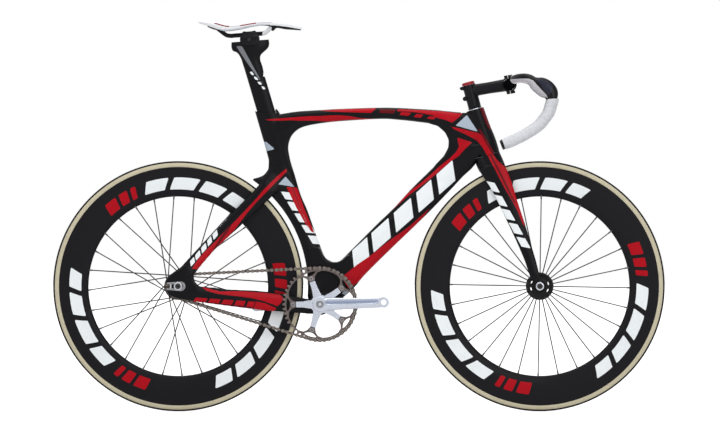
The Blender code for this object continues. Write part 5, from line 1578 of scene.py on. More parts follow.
@dataclass
class FrameHardware(Maker):
    """What is fixed to the frame: bearings, cups, the post's wedge and the slots' plates."""

    cup_flange: float = 0.0050
    cup_depth: float = 0.014
    flange_radius: float = 0.0222
    wedge_half: float = 0.0070
    slot_half: float = 0.0054
    plate_half: float = 0.0128
    plate_reach: float = 0.0300

    def bearings(self) -> None:
        """The two bearings of the head tube."""
        inner, outer = STEERER_RADIUS + GAP, BEARING_RADIUS
        low = ring_wall(outer, inner, HEAD_LOW + GAP, HEAD_LOW + BEARING_HEIGHT)
        foot, lip, crest = HEAD_HIGH - 0.0071, HEAD_HIGH + 0.0012, HEAD_HIGH + 0.0025
        high = [(outer, foot), (outer, lip), (outer - 0.0012, crest), (inner, crest), (inner, foot)]
        for name, profile in (("headset_lower", low), ("headset_upper", high)):
            made = turned(f"{name}_bearing", profile, STEER_FOOT, STEER_LINE.direction)
            self.present(soften(made, 0.0003), "frame", "silver", "polished_alloy", name)

    def cups(self) -> None:
        """The two cups of the bottom bracket, each with its spanner notches."""
        top, foot, end = SHELL_HALF + self.cup_flange, SHELL_HALF + GAP, SHELL_HALF - self.cup_depth
        edge, thread, inner = self.flange_radius, 0.0200, 0.0123
        profile = [(edge, top), (edge, foot), (thread, foot), (thread, end), (inner, end), (inner, top)]
        for side in Side:
            cup = turned("cup", [(radius, side.value * y) for radius, y in profile], CRANK_AXLE)
            middle = CRANK_AXLE + Y_AXIS * (side.value * (SHELL_HALF + 0.004))
            notched(cup, middle, edge, 8, (0.0014, 0.0022), 12)
            cup.name = f"cup_{side.word}"
            soften(cup, 0.0003)
            self.present(cup, "frame", "black_alloy", "black_alloy", f"bearing_cup_{side.word}")

    def wedge(self) -> None:
        """The wedge that holds the post, and its bolt."""
        outline = SEAT_LINE.outline((
            (-0.0380, -0.0235), (-0.0130, -0.0235), (-0.0130, -0.0298), (-0.0240, -0.0332),
            (-0.0380, -0.0300),
        ), SEAT_TUBE_LENGTH)
        block = soften(plate("post_wedge", outline, -self.wedge_half, self.wedge_half), 0.0007)
        line = SideLine(SEAT_LINE.at(SEAT_TUBE_LENGTH - 0.013, -0.0268), angle=pi - SEAT_ANGLE)
        hole = drum("hole", 0.0018, -0.0243, 0.002, line.start, line.direction, 24)
        carve(block, hole)
        self.present(block, "frame", "black_alloy", "black_alloy", "seat_clamp")
        head = [
            (0.0, -0.022), (0.0015, -0.022), (0.0015, GAP), (0.0026, GAP), (0.0026, 0.0014), (0.0022, 0.0020),
            (0.0013, 0.0020), (0.0013, 0.0008), (0.0, 0.0008),
        ]
        bolt = turned("wedge_bolt", head, line.start, line.direction, 24, closed=False)
        self.present(bolt, "frame", "silver", "dark_steel", "seat_clamp_bolt")

    def slot_plates(self) -> None:
        """The silver plate round each axle slot, proud of the dropout."""
        half, slot_half, end = self.plate_half, self.slot_half, REAR_AXLE + 0.0070 * X_AXIS
        bend = [around(end, half, -pi / 2 + pi * index / 16) for index in range(17)]
        heights = (half * 0.75, slot_half, -slot_half, -half * 0.75)
        tail = [REAR_AXLE + Vector((-self.plate_reach, 0.0, up)) for up in heights]
        slot = [around(end, slot_half, pi / 2 - pi * index / 10) for index in range(11)]
        outline = [*bend, tail[0], tail[1], *slot, tail[2], tail[3]]
        for side in Side:
            for face, faces in (("out", (0.0664, 0.0676)), ("in", (0.0598, 0.0606))):
                made = plate(f"slot_plate_{face}_{side.word}", outline, *side.span(*faces))
                soften(made, 0.0003)
                self.present(made, "frame", "silver", "plate_steel")

    def build(self) -> None:
        """Makes all of it."""
        self.bearings()
        self.cups()
        self.wedge()
        self.slot_plates()


@dataclass
class AxleSet(Maker):
    """An axle with its collars, and the washer and nut outside each end."""

    name: str
    centre: Vector
    body: str
    radius: float
    inner: float
    thickness: float
    nut_across: float = 0.0190
    bolt_radius: float = 0.0070
    reach: float = 0.0125

    def shaft(self) -> Object:
        """The axle with its inner collars, and a bolt with a hexagon socket in each end."""
        foot = self.inner + self.thickness + GAP
        end = foot + self.reach
        bolt, radius, inner = self.bolt_radius, self.radius, self.inner
        upper = [
            (0.0, end - 0.0032), (0.0026, end - 0.0032), (0.0029, end - 0.0002), (0.0034, end),
            (bolt - 0.0007, end), (bolt, end - 0.0007), (bolt, foot + 0.0032), (radius, foot + 0.0032),
            (radius, inner - GAP), (0.0080, inner - GAP), (0.0083, inner - 0.0012), (0.0080, inner - 0.003),
            (radius, inner - 0.003),
        ]
        profile = [*upper, *flipped(upper)]
        return turned(f"{self.name}_shaft", profile, self.centre, steps=32, closed=False)

    def nut(self, side: Side) -> Object:
        """The hexagon nut with its captive washer on one side."""
        foot = self.inner + self.thickness + GAP
        corner_radius = self.nut_across / 2 / cos(pi / 6)
        hexagon = [around(self.centre, corner_radius, tau * index / 6) for index in range(6)]
        nut = plate(f"{self.name}_nut_{side.word}", hexagon, *side.span(foot + 0.0020, foot + 0.0095))
        bolt, hole = self.bolt_radius + GAP, self.radius + GAP
        outer = [(0.02, 0.02), (0.02, 0.0080), (0.0112, 0.0080), (0.0100, 0.0096), (0.0096, 0.02)]
        inner = [(0.0, 0.02), (bolt, 0.02), (bolt, 0.0029), (hole, 0.0029), (hole, -0.01), (0.0, -0.01)]
        washer = [(0.0112, 0.0), (0.0112, 0.0016), (0.0104, 0.0024), (hole, 0.0024), (hole, 0.0)]
        kinds = (("corners", outer, True), ("room", inner, False), ("washer", washer, True))
        turned_parts = []
        for name, profile, closed in kinds:
            placed = [(radius, side.value * (foot + height)) for radius, height in profile]
            turned_parts.append(turned(f"nut_{name}", placed, self.centre, steps=48, closed=closed))
        corners, room, ring = turned_parts
        soften(carve(nut, corners, room), 0.0003)
        return gather(f"{self.name}_nut_{side.word}", [nut, ring])

    def build(self) -> None:
        """Makes the axle and both nuts."""
        self.present(self.shaft(), self.body, "silver", "dark_steel", self.name)
        for side in Side:
            name = f"{self.name}_nut_{side.word}"
            self.present(self.nut(side), self.body, "silver", "polished_alloy", name)


# The fork and the cockpit


@dataclass
class Fork(Maker):
    """Crown, blades and tips as one moulding, with the steerer in it.

    Crown rows give a height on the steering axis, the rear and front edge and the half
    width. Blade rows end with the inner and outer face across Y instead.
    """

    voxel: float = 0.0020
    rounds: int = 7
    squareness: float = 0.9
    tyre_gap: float = 0.008
    arch_half: float = 0.0175
    crown_slit: float = 0.00012
    tip_faces: Point = (0.0502, 0.0558)
    slot_half: float = 0.0048
    spacer_wall: float = 0.0042
    crown_rows: tuple[Row, ...] = (
        (HEAD_LOW + 0.018, 0.0354, -0.0316, 0.0202),
        (HEAD_LOW + 0.002, 0.0356, -0.0320, 0.0206),
        (HEAD_LOW - 0.012, 0.0380, -0.0340, 0.0230),
        (HEAD_LOW - 0.029, 0.0360, -0.0365, 0.0265),
        (HEAD_LOW - 0.049, 0.0310, -0.0380, 0.0290),
        (HEAD_LOW - 0.074, 0.0215, -0.0410, 0.0303),
    )
    blade_rows: tuple[Row, ...] = (
        (0.345, 0.0330, -0.0370, 0.0180, 0.0285),
        (0.330, 0.0315, -0.0375, 0.0178, 0.0292),
        (0.285, 0.0170, -0.0420, 0.0180, 0.0305),
        (0.236, 0.0070, -0.0430, 0.0200, 0.0325),
        (0.175, -0.0040, -0.0460, 0.0265, 0.0385),
        (0.120, -0.0130, -0.0470, 0.0350, 0.0465),
        (0.072, -0.0190, -0.0480, 0.0430, 0.0535),
        (0.038, -0.0205, -0.0475, 0.0485, 0.0562),
        (0.016, -0.0235, -0.0480, 0.0500, 0.0562),
    )
    tip_outline: tuple[Point, ...] = (
        (0.030, -0.0240), (0.030, -0.0450), (0.012, -0.0515), (-0.006, -0.0505),
        (-0.011, -0.0470), (-0.011, -0.0325), (-0.006, -0.0285), (0.010, -0.0265),
    )

    def skins(self) -> list[Object]:
        """The closed bodies that the fork is melted from."""
        crown = tube("crown", STEER_LINE, self.crown_rows, self.squareness)
        half = self.arch_half
        carve(crown, drum("arch", WHEEL_RADIUS + self.tyre_gap, -half, half, FRONT_AXLE, steps=180))
        made = [crown]
        for side in Side:
            made.append(tube("blade", STEER_LINE, self.blade_rows, self.squareness, side))
            made.append(plate("tip", STEER_LINE.outline(self.tip_outline), *side.span(*self.tip_faces)))
        return made

    def cutters(self) -> list[Object]:
        """What is cut from the fork after it is smoothed."""
        top = HEAD_LOW + GAP - self.crown_slit
        above = [(0.0, top), (0.06, top), (0.06, HEAD_LOW + 0.03), (0.0, HEAD_LOW + 0.03)]
        made = [turned("above_crown", above, STEER_FOOT, STEER_LINE.direction, closed=False)]
        line = SideLine(FRONT_AXLE, FRONT_AXLE - STEER_LINE.across)
        half = self.slot_half
        bend = [line.at(half * cos(pi * index / 10), half * sin(pi * index / 10)) for index in range(11)]
        outline = [line.at(half, -0.03), *bend, line.at(-half, -0.03)]
        for side in Side:
            made.append(plate("tip_slot", outline, *side.span(0.045, 0.06)))
        return made

    def paint(self, moulding: Object) -> None:
        """Marks where each colour lies."""
        red = (
            Patch(((0.3403, 0.6881), (0.343, 0.6838), (0.3499, 0.6696), (0.3619, 0.6483),
                   (0.3766, 0.6189), (0.3913, 0.5909), (0.406, 0.5668), (0.422, 0.5375), (0.4367, 0.5001),
                   (0.4423, 0.4921), (0.4353, 0.5321), (0.4228, 0.5642), (0.4113, 0.6016),
                   (0.402, 0.6309), (0.3913, 0.6509), (0.3779, 0.6619), (0.3659, 0.6742),
                   (0.3563, 0.6897), (0.3552, 0.6937))),
        )
        shares = ((0.03, 0.17), (0.22, 0.37), (0.42, 0.57), (0.62, 0.77), (0.82, 0.96))
        white = slanted_blocks((0.347, 0.618), (0.450, 0.430), (0.009, 0.0095), shares, 0.016)
        mark(moulding, "red", red)
        mark(moulding, "white", white)
        line = (
            Patch(((0.3483, 0.6843), (0.3523, 0.6859), (0.375, 0.6456), (0.3964, 0.6016), (0.418, 0.5562),
                   (0.414, 0.5551), (0.3916, 0.5989), (0.3702, 0.6421))),
        )
        mark(moulding, "deep_red", line)

    def build(self) -> None:
        """Melts, cuts, paints and hangs the fork and its steerer."""
        moulding = forge(gather("fork_moulding", self.skins()), self.voxel, self.rounds)
        carve(moulding, *self.cutters())
        turn_out(moulding)
        self.paint(moulding)
        self.present(moulding, "fork", "black_paint", "fork_lacquer", "fork")
        foot, way = STEER_FOOT, STEER_LINE.direction
        steerer = drum("steerer", STEERER_RADIUS, HEAD_LOW - 0.004, STEM_TOP - 0.003, foot, way)
        self.present(soften(steerer, 0.0006), "fork", "black_alloy", "black_alloy")
        outer, inner = STEERER_RADIUS + self.spacer_wall, STEERER_RADIUS + GAP
        wall = ring_wall(outer, inner, HEAD_HIGH + 0.0028, STEM_FOOT - GAP)
        spacer = soften(turned("stem_spacer", wall, foot, way), 0.0005)
        self.present(spacer, "fork", "black_alloy", "black_alloy", "headset_spacer")


@dataclass
class Stem(Maker):
    """The forged stem, its face plate, its bolts and the cap on the steerer."""

    voxel: float = 0.0011
    face_voxel: float = 0.0010
    rounds: int = 5
    outer_radius: float = 0.0173
    wall_radius: float = 0.0204
    bar_radius: float = 0.0159
    half_width: float = 0.021
    face_gap: float = 0.0006
    cap_skirt: float = 0.0025
    wall: float = 0.0027
    ear: Point = (0.0252, 0.0155)
    pinch_places: Point = (0.0285, 0.0580)
    pinch_behind: float = 0.0195

    def slab(self, start: float, end: float, reach: float, half: float) -> Object:
        """A block square to the stem, between two distances ahead of the bar's centre."""
        corners = ((start, -reach), (end, -reach), (end, reach), (start, reach))
        return plate("slab", STEM_LINE.outline(corners), -half, half)

    def barrel(self, name: str, radius: float, half: float) -> Object:
        """A drum round the bar's clamped middle."""
        return drum(name, radius, -half, half, BAR_CENTRE, steps=72)

    def body(self) -> Object:
        """The stem itself, melted from its clamp, extension and bar seat."""
        rows = (
            (-STEM_LENGTH, 0.0165, -0.0165, 0.0150), (-0.080, 0.0160, -0.0160, 0.0146),
            (-0.050, 0.0158, -0.0158, 0.0150), (-0.010, 0.0170, -0.0170, 0.0165),
        )
        parts = [
            tube("extension", STEM_LINE, rows),
            drum("clamp", self.outer_radius, STEM_FOOT, STEM_TOP, STEER_FOOT, STEER_LINE.direction),
            self.barrel("bar_seat", self.wall_radius, self.half_width),
            self.slab(-0.010, 0.002, *self.ear),
        ]
        boss, behind, web_half = 0.0060, self.pinch_behind, 0.0105
        for along in self.pinch_places:
            centre = STEER_LINE.at(STEM_FOOT + along, behind)
            parts.append(drum("pinch_boss", boss, -0.0110, 0.0110, centre, steps=32))
            corners = ((-boss, 0.010), (boss, 0.010), (boss, behind), (-boss, behind))
            web = STEER_LINE.outline(corners, STEM_FOOT + along)
            parts.append(plate("pinch_web", web, -web_half, web_half))
        return forge(gather("stem_body", parts), self.voxel, self.rounds)

    def cut_body(self, body: Object) -> Object:
        """Bores and slits the stem."""
        foot, way = STEER_FOOT, STEER_LINE.direction
        low, high = STEM_FOOT - 0.01, STEM_TOP + 0.01
        ends = ((0.0, -0.02), (0.05, -0.02), (0.05, 0.0), (0.0, 0.0))
        below = [(radius, STEM_FOOT + height) for radius, height in ends]
        above = [(radius, STEM_TOP - self.cap_skirt - height) for radius, height in ends]
        slit = STEER_LINE.outline(((low, 0.012), (high, 0.012), (high, 0.03), (low, 0.03)))
        return carve(
            body,
            drum("stem_bore", self.outer_radius - self.wall, low, high, foot, way),
            turned("below", below, foot, way, closed=False),
            turned("above", above, foot, way, closed=False),
            plate("slit", slit, -0.0008, 0.0008),
            self.slab(-self.face_gap, 0.06, 0.06, 0.05),
            self.barrel("bar_room", self.bar_radius + GAP, 0.04),
        )

    def face(self) -> Object:
        """The face plate, with its four ears and a window in its middle."""
        parts = [self.barrel("face", self.wall_radius, self.half_width), self.slab(-0.003, 0.009, *self.ear)]
        made = forge(gather("stem_face", parts), self.face_voxel, self.rounds)
        half = 0.0085
        corners = ((0.005, -half), (0.05, -half), (0.05, half), (0.005, half))
        window = plate("window", STEM_LINE.outline(corners), -half, half)
        return carve(
            made,
            self.barrel("bar_room", self.bar_radius + GAP, 0.04),
            self.slab(-0.06, self.face_gap, 0.06, 0.05),
            soften(window, 0.003),
        )

    def bolt(self, name: str, centre: Vector, axis: Vector, radius: float, height: float) -> Object:
        """A cap bolt with a hexagon socket, its head's foot at a place.

        Args:
            name: The bolt's name.
            centre: Where its head stands.
            axis: The way that its head points.
            radius: The head's radius.
            height: The head's height.

        Returns:
            The bolt.
        """
        shank, socket, floor, edge = radius * 0.6, radius * 0.55, height * 0.45, 0.0007
        profile = [
            (0.0, -0.006), (shank, -0.006), (shank, 0.0), (radius, 0.0), (radius, height - edge),
            (radius - edge, height), (socket, height), (radius * 0.5, floor), (0.0, floor),
        ]
        return turned(name, profile, centre, axis, 24, closed=False)

    def bolts(self) -> Object:
        """The face plate's four bolts and the clamp's two, as one set."""
        made = []
        for across in (0.0215, -0.0215):
            for side in Side:
                place = STEM_LINE.at(0.0088, across, side.value * 0.0105)
                made.append(self.bolt("face_bolt", place, STEM_LINE.direction, 0.0036, 0.0040))
        for along in self.pinch_places:
            place = STEER_LINE.at(STEM_FOOT + along, self.pinch_behind, -0.0108)
            made.append(self.bolt("pinch_bolt", place, -Y_AXIS, 0.0038, 0.0036))
        return gather("stem_bolts", made)

    def cap(self) -> Object:
        """The domed cap on the steerer, with its bolt's hollow."""
        low, high, edge = STEM_TOP - 0.0022, STEM_TOP + 0.0060, self.outer_radius
        dish, socket = high - 0.0018, high - 0.0040
        profile = [
            (0.0, low), (edge, low), (edge, high - 0.0026), (edge - 0.0012, high - 0.0010),
            (edge - 0.0035, high), (0.0062, high), (0.0055, dish), (0.0026, dish), (0.0024, socket),
            (0.0, socket),
        ]
        return turned("steerer_cap", profile, STEER_FOOT, STEER_LINE.direction, closed=False)

    def build(self) -> None:
        """Makes the stem and what is bolted to it."""
        self.present(self.cut_body(self.body()), "fork", "black_alloy", "black_alloy", "stem")
        self.present(self.face(), "fork", "black_alloy", "black_alloy", "stem_faceplate")
        self.present(self.bolts(), "fork", "black_alloy", "black_alloy")
        self.present(self.cap(), "fork", "red_alloy", "red_alloy", "stem_cap")


@dataclass
class Handlebar(Maker):
    """The drop bar, the tape on its drops and the plugs in its ends."""

    half_width: float = 0.197
    clamp_radius: float = 0.0159
    radius: float = 0.012
    clamp_half: float = 0.036
    shoulder: float = 0.002
    facets: int = 28
    tape: float = 0.0036
    wrap: float = 0.0125
    overlap: float = 0.0009
    edge: float = 0.0006
    edge_share: float = 0.125
    tucked: float = 0.012
    thinnest: float = 0.0012
    hole_pitch: float = 0.0026
    taped_from: int = 10
    matt_half: float = 0.128
    palm_stretch: float = 0.9
    palm_place: Point = (0.0935, -0.011)
    palm_reach: float = 0.036
    steps: int = 8
    route: tuple[Row, ...] = (
        (0.000, 0.000, 0.000), (0.000, 0.000, 0.120), (0.000, 0.000, 0.180), (0.004, 0.004, 0.400),
        (0.013, 0.013, 0.630), (0.032, 0.017, 0.800), (0.053, 0.014, 0.900), (0.0720, 0.0020, 0.952),
        (0.0895, -0.0065, 0.972), (0.1085, -0.0215, 0.990), (0.1150, -0.040, 1.000), (0.1115, -0.056, 1.000),
        (0.105, -0.076, 1.000), (0.093, -0.093, 1.000), (0.078, -0.110, 1.000), (0.049, -0.130, 1.000),
        (0.012, -0.149, 1.000), (-0.016, -0.160, 1.000),
    )

    def half_path(self, side: Side) -> list[Vector]:
        """Half of the bar's centre line, from the middle to one end."""
        points = []
        for ahead, above, share in self.route:
            points.append(BAR_CENTRE + Vector((ahead, side.value * share * self.half_width, above)))
        return flowing(points, self.steps)

    def stretch(self, place: Vector) -> float:
        """How much taller than wide the bar is at a place, for the palm's rest on its bend."""
        reach = Vector((place.x - BAR_CENTRE.x, place.z - BAR_CENTRE.z)) - Vector(self.palm_place)
        return 1.0 + self.palm_stretch * max(0.0, 1.0 - (reach.length / self.palm_reach) ** 2)

    def bar(self) -> tuple[Object, Object]:
        """The bare bar: its matt middle, and both of its lacquered ends."""
        path = [*reversed(self.half_path(Side.LEFT)), *self.half_path(Side.RIGHT)[1:]]
        first = next(index for index, place in enumerate(path) if abs(place.y) < self.matt_half)
        last = len(path) - 1 - first
        parts = []
        for here, there in ((first, last), (0, first), (last, len(path) - 1)):
            rings = []
            for place, way, across in path_frames(path[here : there + 1], Z_AXIS):
                slope = min(max((abs(place.y) - self.clamp_half) / self.shoulder, 0.0), 1.0)
                radius = self.clamp_radius + (self.radius - self.clamp_radius) * slope
                stretch = self.stretch(place)
                ring = []
                for point in circle_ring(place, way, across, radius, self.facets):
                    offset = point - place
                    ring.append(place + Vector((offset.x * stretch, offset.y, offset.z * stretch)))
                rings.append(ring)
            parts.append(loft("bar_part", rings))
        middle, *ends = parts
        middle.name = "bar_middle"
        return middle, gather("bar", ends)

    def tape_on(self, side: Side) -> Object:
        """The tape on one drop: overlapping wraps whose edges wind round the bar."""
        path = self.half_path(side)[self.taped_from * self.steps :]
        fine = flowing(path, 3)
        count = self.facets
        outer, inner, gone = [], [], [0.0]
        for here, there in zip(fine, fine[1:]):
            gone.append(gone[-1] + (there - here).length)
        frames = path_frames(fine, Z_AXIS)
        for (place, way, across), distance in zip(frames, gone):
            ring = []
            for index, point in enumerate(circle_ring(place, way, across, 1.0, count)):
                phase = (distance / self.wrap + side.value * index / count) % 1.0
                swell = self.tape - self.overlap * phase
                swell -= self.edge * (1 - min(phase / self.edge_share, 1.0))
                ends = min(1.0, (gone[-1] - distance) / self.tucked)
                swell = self.thinnest + (swell - self.thinnest) * ends
                ring.append(place + (point - place) * (self.radius + swell))
            outer.append(ring)
            inner.append(circle_ring(place, way, across, self.radius + 0.0001, count))
        made = loft(f"tape_{side.word}", [*outer, *reversed(inner)], closed=True)
        self.lay(made, len(outer), count, gone)
        return made

    def lay(self, tape: Object, rows: int, count: int, gone: Sequence[float]) -> None:
        """Writes the tape's own flat coordinates, one unit for each of its holes.

        Args:
            tape: The tape, with the number of its ring and of its place in the ring.
            rows: The number of its outer rings.
            count: The number of places in a ring.
            gone: How far along the bar each ring lies.
        """
        pitch = self.hole_pitch
        data = tape.data
        stations, seats = np.empty(len(data.vertices), int), np.empty(len(data.vertices), int)
        data.attributes["station"].data.foreach_get("value", stations)
        data.attributes["seat"].data.foreach_get("value", seats)
        distances = np.array([*gone, *reversed(gone)])[np.clip(stations, 0, 2 * rows - 1)]
        girth = tau * (self.radius + self.tape)
        for name, values in (("along", distances / pitch), ("round", seats / count * round(girth / pitch))):
            data.attributes.new(name, "FLOAT", "POINT").data.foreach_set("value", values.astype(np.float32))

    def plug(self, side: Side) -> Object:
        """The rounded plug in one end."""
        path = self.half_path(side)
        way = (path[-1] - path[-2]).normalized()
        profile = [
            (0.0, -0.010), (0.0100, -0.010), (0.0105, 0.0002), (0.0136, 0.0003), (0.0140, 0.0016),
            (0.0128, 0.0034), (0.0080, 0.0040), (0.0, 0.0041),
        ]
        return turned(f"plug_{side.word}", profile, path[-1], way, 32, closed=False)

    def paint(self, bar: Object) -> None:
        """Marks the painted reflections on the bar: a pale one under it and a slate-blue one on its bend."""
        painted_pale_reflection = Patch((
            (0.3739, 0.8819), (0.4033, 0.8851), (0.43, 0.8867), (0.4514, 0.8867), (0.4631, 0.8816),
            (0.4759, 0.8669), (0.4879, 0.8539), (0.4989, 0.8429), (0.5021, 0.8312), (0.4887, 0.8285),
            (0.4674, 0.8365), (0.4567, 0.8525), (0.4487, 0.8659), (0.43, 0.868), (0.4033, 0.8659),
            (0.3739, 0.8686),
        ))
        slate = Patch((
            (0.468, 0.886), (0.486, 0.884), (0.506, 0.876), (0.516, 0.868), (0.512, 0.850), (0.504, 0.842),
            (0.494, 0.853), (0.482, 0.872),
        ))
        mark(bar, "silver", (painted_pale_reflection,))
        mark(bar, "slate", (slate,))

    def build(self) -> None:
        """Makes the bar with its tape and plugs."""
        middle, bar = self.bar()
        self.paint(bar)
        self.present(middle, "handlebar", "black_alloy", "black_matt")
        self.present(bar, "handlebar", "black_alloy", "bar_lacquer", "handlebar")
        for side in Side:
            name, tape = f"bar_tape_{side.word}", self.tape_on(side)
            self.present(tape, "handlebar", "white_tape", "white_tape", name, angle=radians(60))
            name = f"bar_plug_{side.word}"
            self.present(self.plug(side), "handlebar", "black_plastic", "black_nylon", name)


# The wheels


@dataclass
class Wheel(Maker):
    """Tyre, deep rim, hub and spokes of one wheel.

    The spokes start at the first angle on the right side. Those of a crossed wheel
    lean by the crossing angle in turn, with every second head inside the flange.
    """

    name: str
    centre: Vector
    body: str
    flanges: dict[Side, float]
    hub_profile: tuple[Point, ...]
    first_spoke: float
    crossing: float
    first_block: float
    spokes_a_side: int = 14
    slot_angles: tuple[float, ...] = (17.5, -27.5, 152.5, 197.5)
    rim_inner: float = 0.2393
    tyre_centre: float = 0.3225
    casing_radius: float = 0.0112
    tread_radius: float = 0.0115
    groove_radius: float = 0.0113
    glued_radius: float = 0.0108
    bed_radius: float = 0.0118
    spoke_circle: float = 0.033
    spoke_radius: float = 0.0016

    def tyre(self) -> None:
        """The cream casing and the ribbed black tread glued on it."""
        casing = []
        for index in range(40):
            turn = tau * (index + 0.5) / 40
            casing.append((self.tyre_centre + self.casing_radius * cos(turn), self.casing_radius * sin(turn)))
        made = turned(f"{self.name}_casing", casing, self.centre, steps=160)
        self.present(made, self.body, "cream_rubber", "cream_casing", f"{self.name}_tyre")
        half_angle, ribs = radians(52), 26
        outer, inner = [], []
        for index in range(ribs + 1):
            turn = -half_angle + 2 * half_angle * index / ribs
            middle = abs(turn) < radians(20)
            height = self.tread_radius if middle or index % 2 else self.groove_radius
            if index in (0, ribs):
                height = 0.01125
            outer.append((self.tyre_centre + height * cos(turn), height * sin(turn)))
            inner.append((self.tyre_centre + self.glued_radius * cos(turn), self.glued_radius * sin(turn)))
        tread = turned(f"{self.name}_tread", [*outer, *reversed(inner)], self.centre, steps=160)
        self.present(tread, self.body, "cream_rubber", "tread_rubber")

    def rim(self) -> None:
        """The deep rim with its painted blocks."""
        half = [
            Vector(point) for point in (
                (0.3182, 0.0110), (0.3160, 0.0112), (0.3080, 0.0112), (0.2980, 0.0111), (0.2850, 0.0108),
                (0.2720, 0.0102), (0.2600, 0.0092), (0.2500, 0.0074), (0.2440, 0.0052), (0.2404, 0.0026),
            )
        ]
        side = [tuple(point) for point in flowing(half, 3)]
        bed = []
        for index in range(1, 8):
            turn = pi + radians(68) - radians(136) * index / 8
            bed.append((self.tyre_centre + self.bed_radius * cos(turn), -self.bed_radius * sin(turn)))
        left = [(radius, -y) for radius, y in reversed(side)]
        profile = [*side, (self.rim_inner, 0.0), *left, *reversed(bed)]
        made = turned(f"{self.name}_rim_shell", profile, self.centre, steps=360)
        self.paint_rim(made)
        self.present(made, self.body, "black_rim", "rim_lacquer", f"{self.name}_rim", angle=radians(50))

    def paint_rim(self, rim: Object) -> None:
        """Marks the red and the white blocks, three groups round the rim."""
        low, high, mean = 0.2585, 0.2905, 0.2745
        white_spans = ((15, 27), (30, 44), (47, 59), (62, 72))
        red_spans = ((-9.5, -2.5), (-0.5, 4.5), (6.5, 9.5))

        def unroll(places: np.ndarray) -> np.ndarray:
            """Lays the rim out flat: degrees as millimetres clockwise of a group's start, and radius."""
            ahead, up = places[:, 0] - self.centre.x, places[:, 2] - self.centre.z
            turn = (self.first_block - np.arctan2(up, ahead) + radians(20)) % (tau / 3) - radians(20)
            return np.stack([turn * mean, np.hypot(ahead, up)], axis=1)

        def blocks(spans: Sequence[Point], lean: float) -> list[Patch]:
            """Slanted blocks between two radii."""
            made = []
            for span in spans:
                start, end = [radians(angle) * mean for angle in span]
                corners = ((start - lean, low), (end - lean, low), (end + lean, high), (start + lean, high))
                made.append(Patch(corners))
            return made

        mark(rim, "white", blocks(white_spans, 0.007), unroll)
        mark(rim, "red", blocks(red_spans, 0.003), unroll)

    def hub(self) -> None:
        """The hub with its drilled flanges."""
        made = turned(f"{self.name}_hub_shell", self.hub_profile, self.centre, steps=72)
        rings = []
        for y in (-0.05, 0.05):
            ring = []
            for index in range(20):
                turn = tau * index / 20
                ring.append(self.centre + Vector((0.0240 + 0.0020 * cos(turn), y, 0.0046 * sin(turn))))
            rings.append(ring)
        slot = loft("hub_slot", rings)
        for turn in self.slot_angles:
            carve(made, copied(slot, "hub_slot", about(self.centre, Y_AXIS, -radians(turn))))
        discard(slot)
        soften(made, 0.0005)
        self.present(made, self.body, "black_alloy", "hub_alloy", f"{self.name}_hub")

    def spoke(self, side: Side, first: float, lean: float, inside: bool) -> tuple[Object, Object]:
        """One spoke with its head, and its nipple.

        Args:
            side: The side of its flange.
            first: The angle of its head.
            lean: How far the angle at the rim differs from that.
            inside: True if it runs inside its flange.

        Returns:
            The spoke and the nipple.
        """
        out, thick = self.flanges[side], 0.0040
        head_y, run_y = out - thick - 0.0008, out + 0.0012
        if inside:
            head_y, run_y = out + 0.0010, out - thick - 0.0012
        eye = around(self.centre, self.spoke_circle, first, side.value * head_y)
        bend = around(self.centre, self.spoke_circle, first, side.value * run_y)
        end = around(self.centre, self.rim_inner + 0.004, first + lean, side.value * 0.0018)
        way = (end - bend).normalized()
        path = [eye, bend - Y_AXIS * side.value * (run_y - head_y) * 0.25, bend + way * 0.0012, end]
        radii = [self.spoke_radius * 1.7, self.spoke_radius, self.spoke_radius, self.spoke_radius]
        sideways = way.cross(Y_AXIS).normalized()
        wire = swept("spoke", path, radii, sideways, 8)
        tip = end - way * 0.0120
        steps = [tip, tip + way * 0.0006, tip + way * 0.0080, end]
        nipple = swept("nipple", steps, (0.0018, 0.0022, 0.0024, 0.0026), sideways, 8)
        return wire, nipple

    def spokes(self) -> None:
        """All the spokes, each kind made once and copied round."""
        nipples = []
        for side in (Side.RIGHT, Side.LEFT):
            first = self.first_spoke + (0.0 if side is Side.RIGHT else pi / self.spokes_a_side)
            wires = []
            kinds = ((0, -1), (1, 1)) if self.crossing else ((0, 0), (1, 0))
            for offset, sign in kinds:
                start = first + tau * offset / self.spokes_a_side
                wire, nipple = self.spoke(side, start, sign * self.crossing, sign > 0)
                for index in range(self.spokes_a_side // 2):
                    turn = about(self.centre, Y_AXIS, -2 * tau * index / self.spokes_a_side)
                    wires.append(copied(wire, "spoke", turn))
                    nipples.append(copied(nipple, "nipple", turn))
                discard(wire, nipple)
            name = f"{self.name}_spokes_{side.word}"
            made = gather(f"{self.name}_wires_{side.word}", wires)
            self.present(made, self.body, "spoke_steel", "spoke_steel", name)
        self.present(gather(f"{self.name}_nipples", nipples), self.body, "spoke_steel", "nipple_alloy")

    def build(self) -> None:
        """Makes the whole wheel."""
        self.tyre()
        self.rim()
        self.hub()
        self.spokes()


def flange(out: float, body: float, radius: float = 0.0368) -> list[Point]:
    """A hub flange's profile, from its outer face inwards.

    Args:
        out: The outer face's distance from the hub's middle.
        body: The hub's radius beside the flange.
        radius: The flange's radius.

    Returns:
        The profile's points, on the side where heights are more than 0.
    """
    inner = out - 0.0036
    return [
        (body, out + 0.0008), (0.0180, out - 0.0006), (0.0295, out - 0.0006), (0.0300, out), (radius, out),
        (radius, inner), (0.0300, inner), (0.0295, inner + 0.0006), (0.0180, inner + 0.0006),
        (body, inner - 0.0030),
    ]


def front_hub_profile() -> tuple[Point, ...]:
    """The front hub from end to end."""
    upper = [
        (0.0100, 0.0465), (0.0112, 0.0455), (0.0115, 0.0430), (0.0135, 0.0405), *flange(0.037, 0.0150),
        (0.0125, 0.018),
    ]
    return (*upper, *flipped(upper), (0.0048, -0.0465), (0.0048, 0.0465))


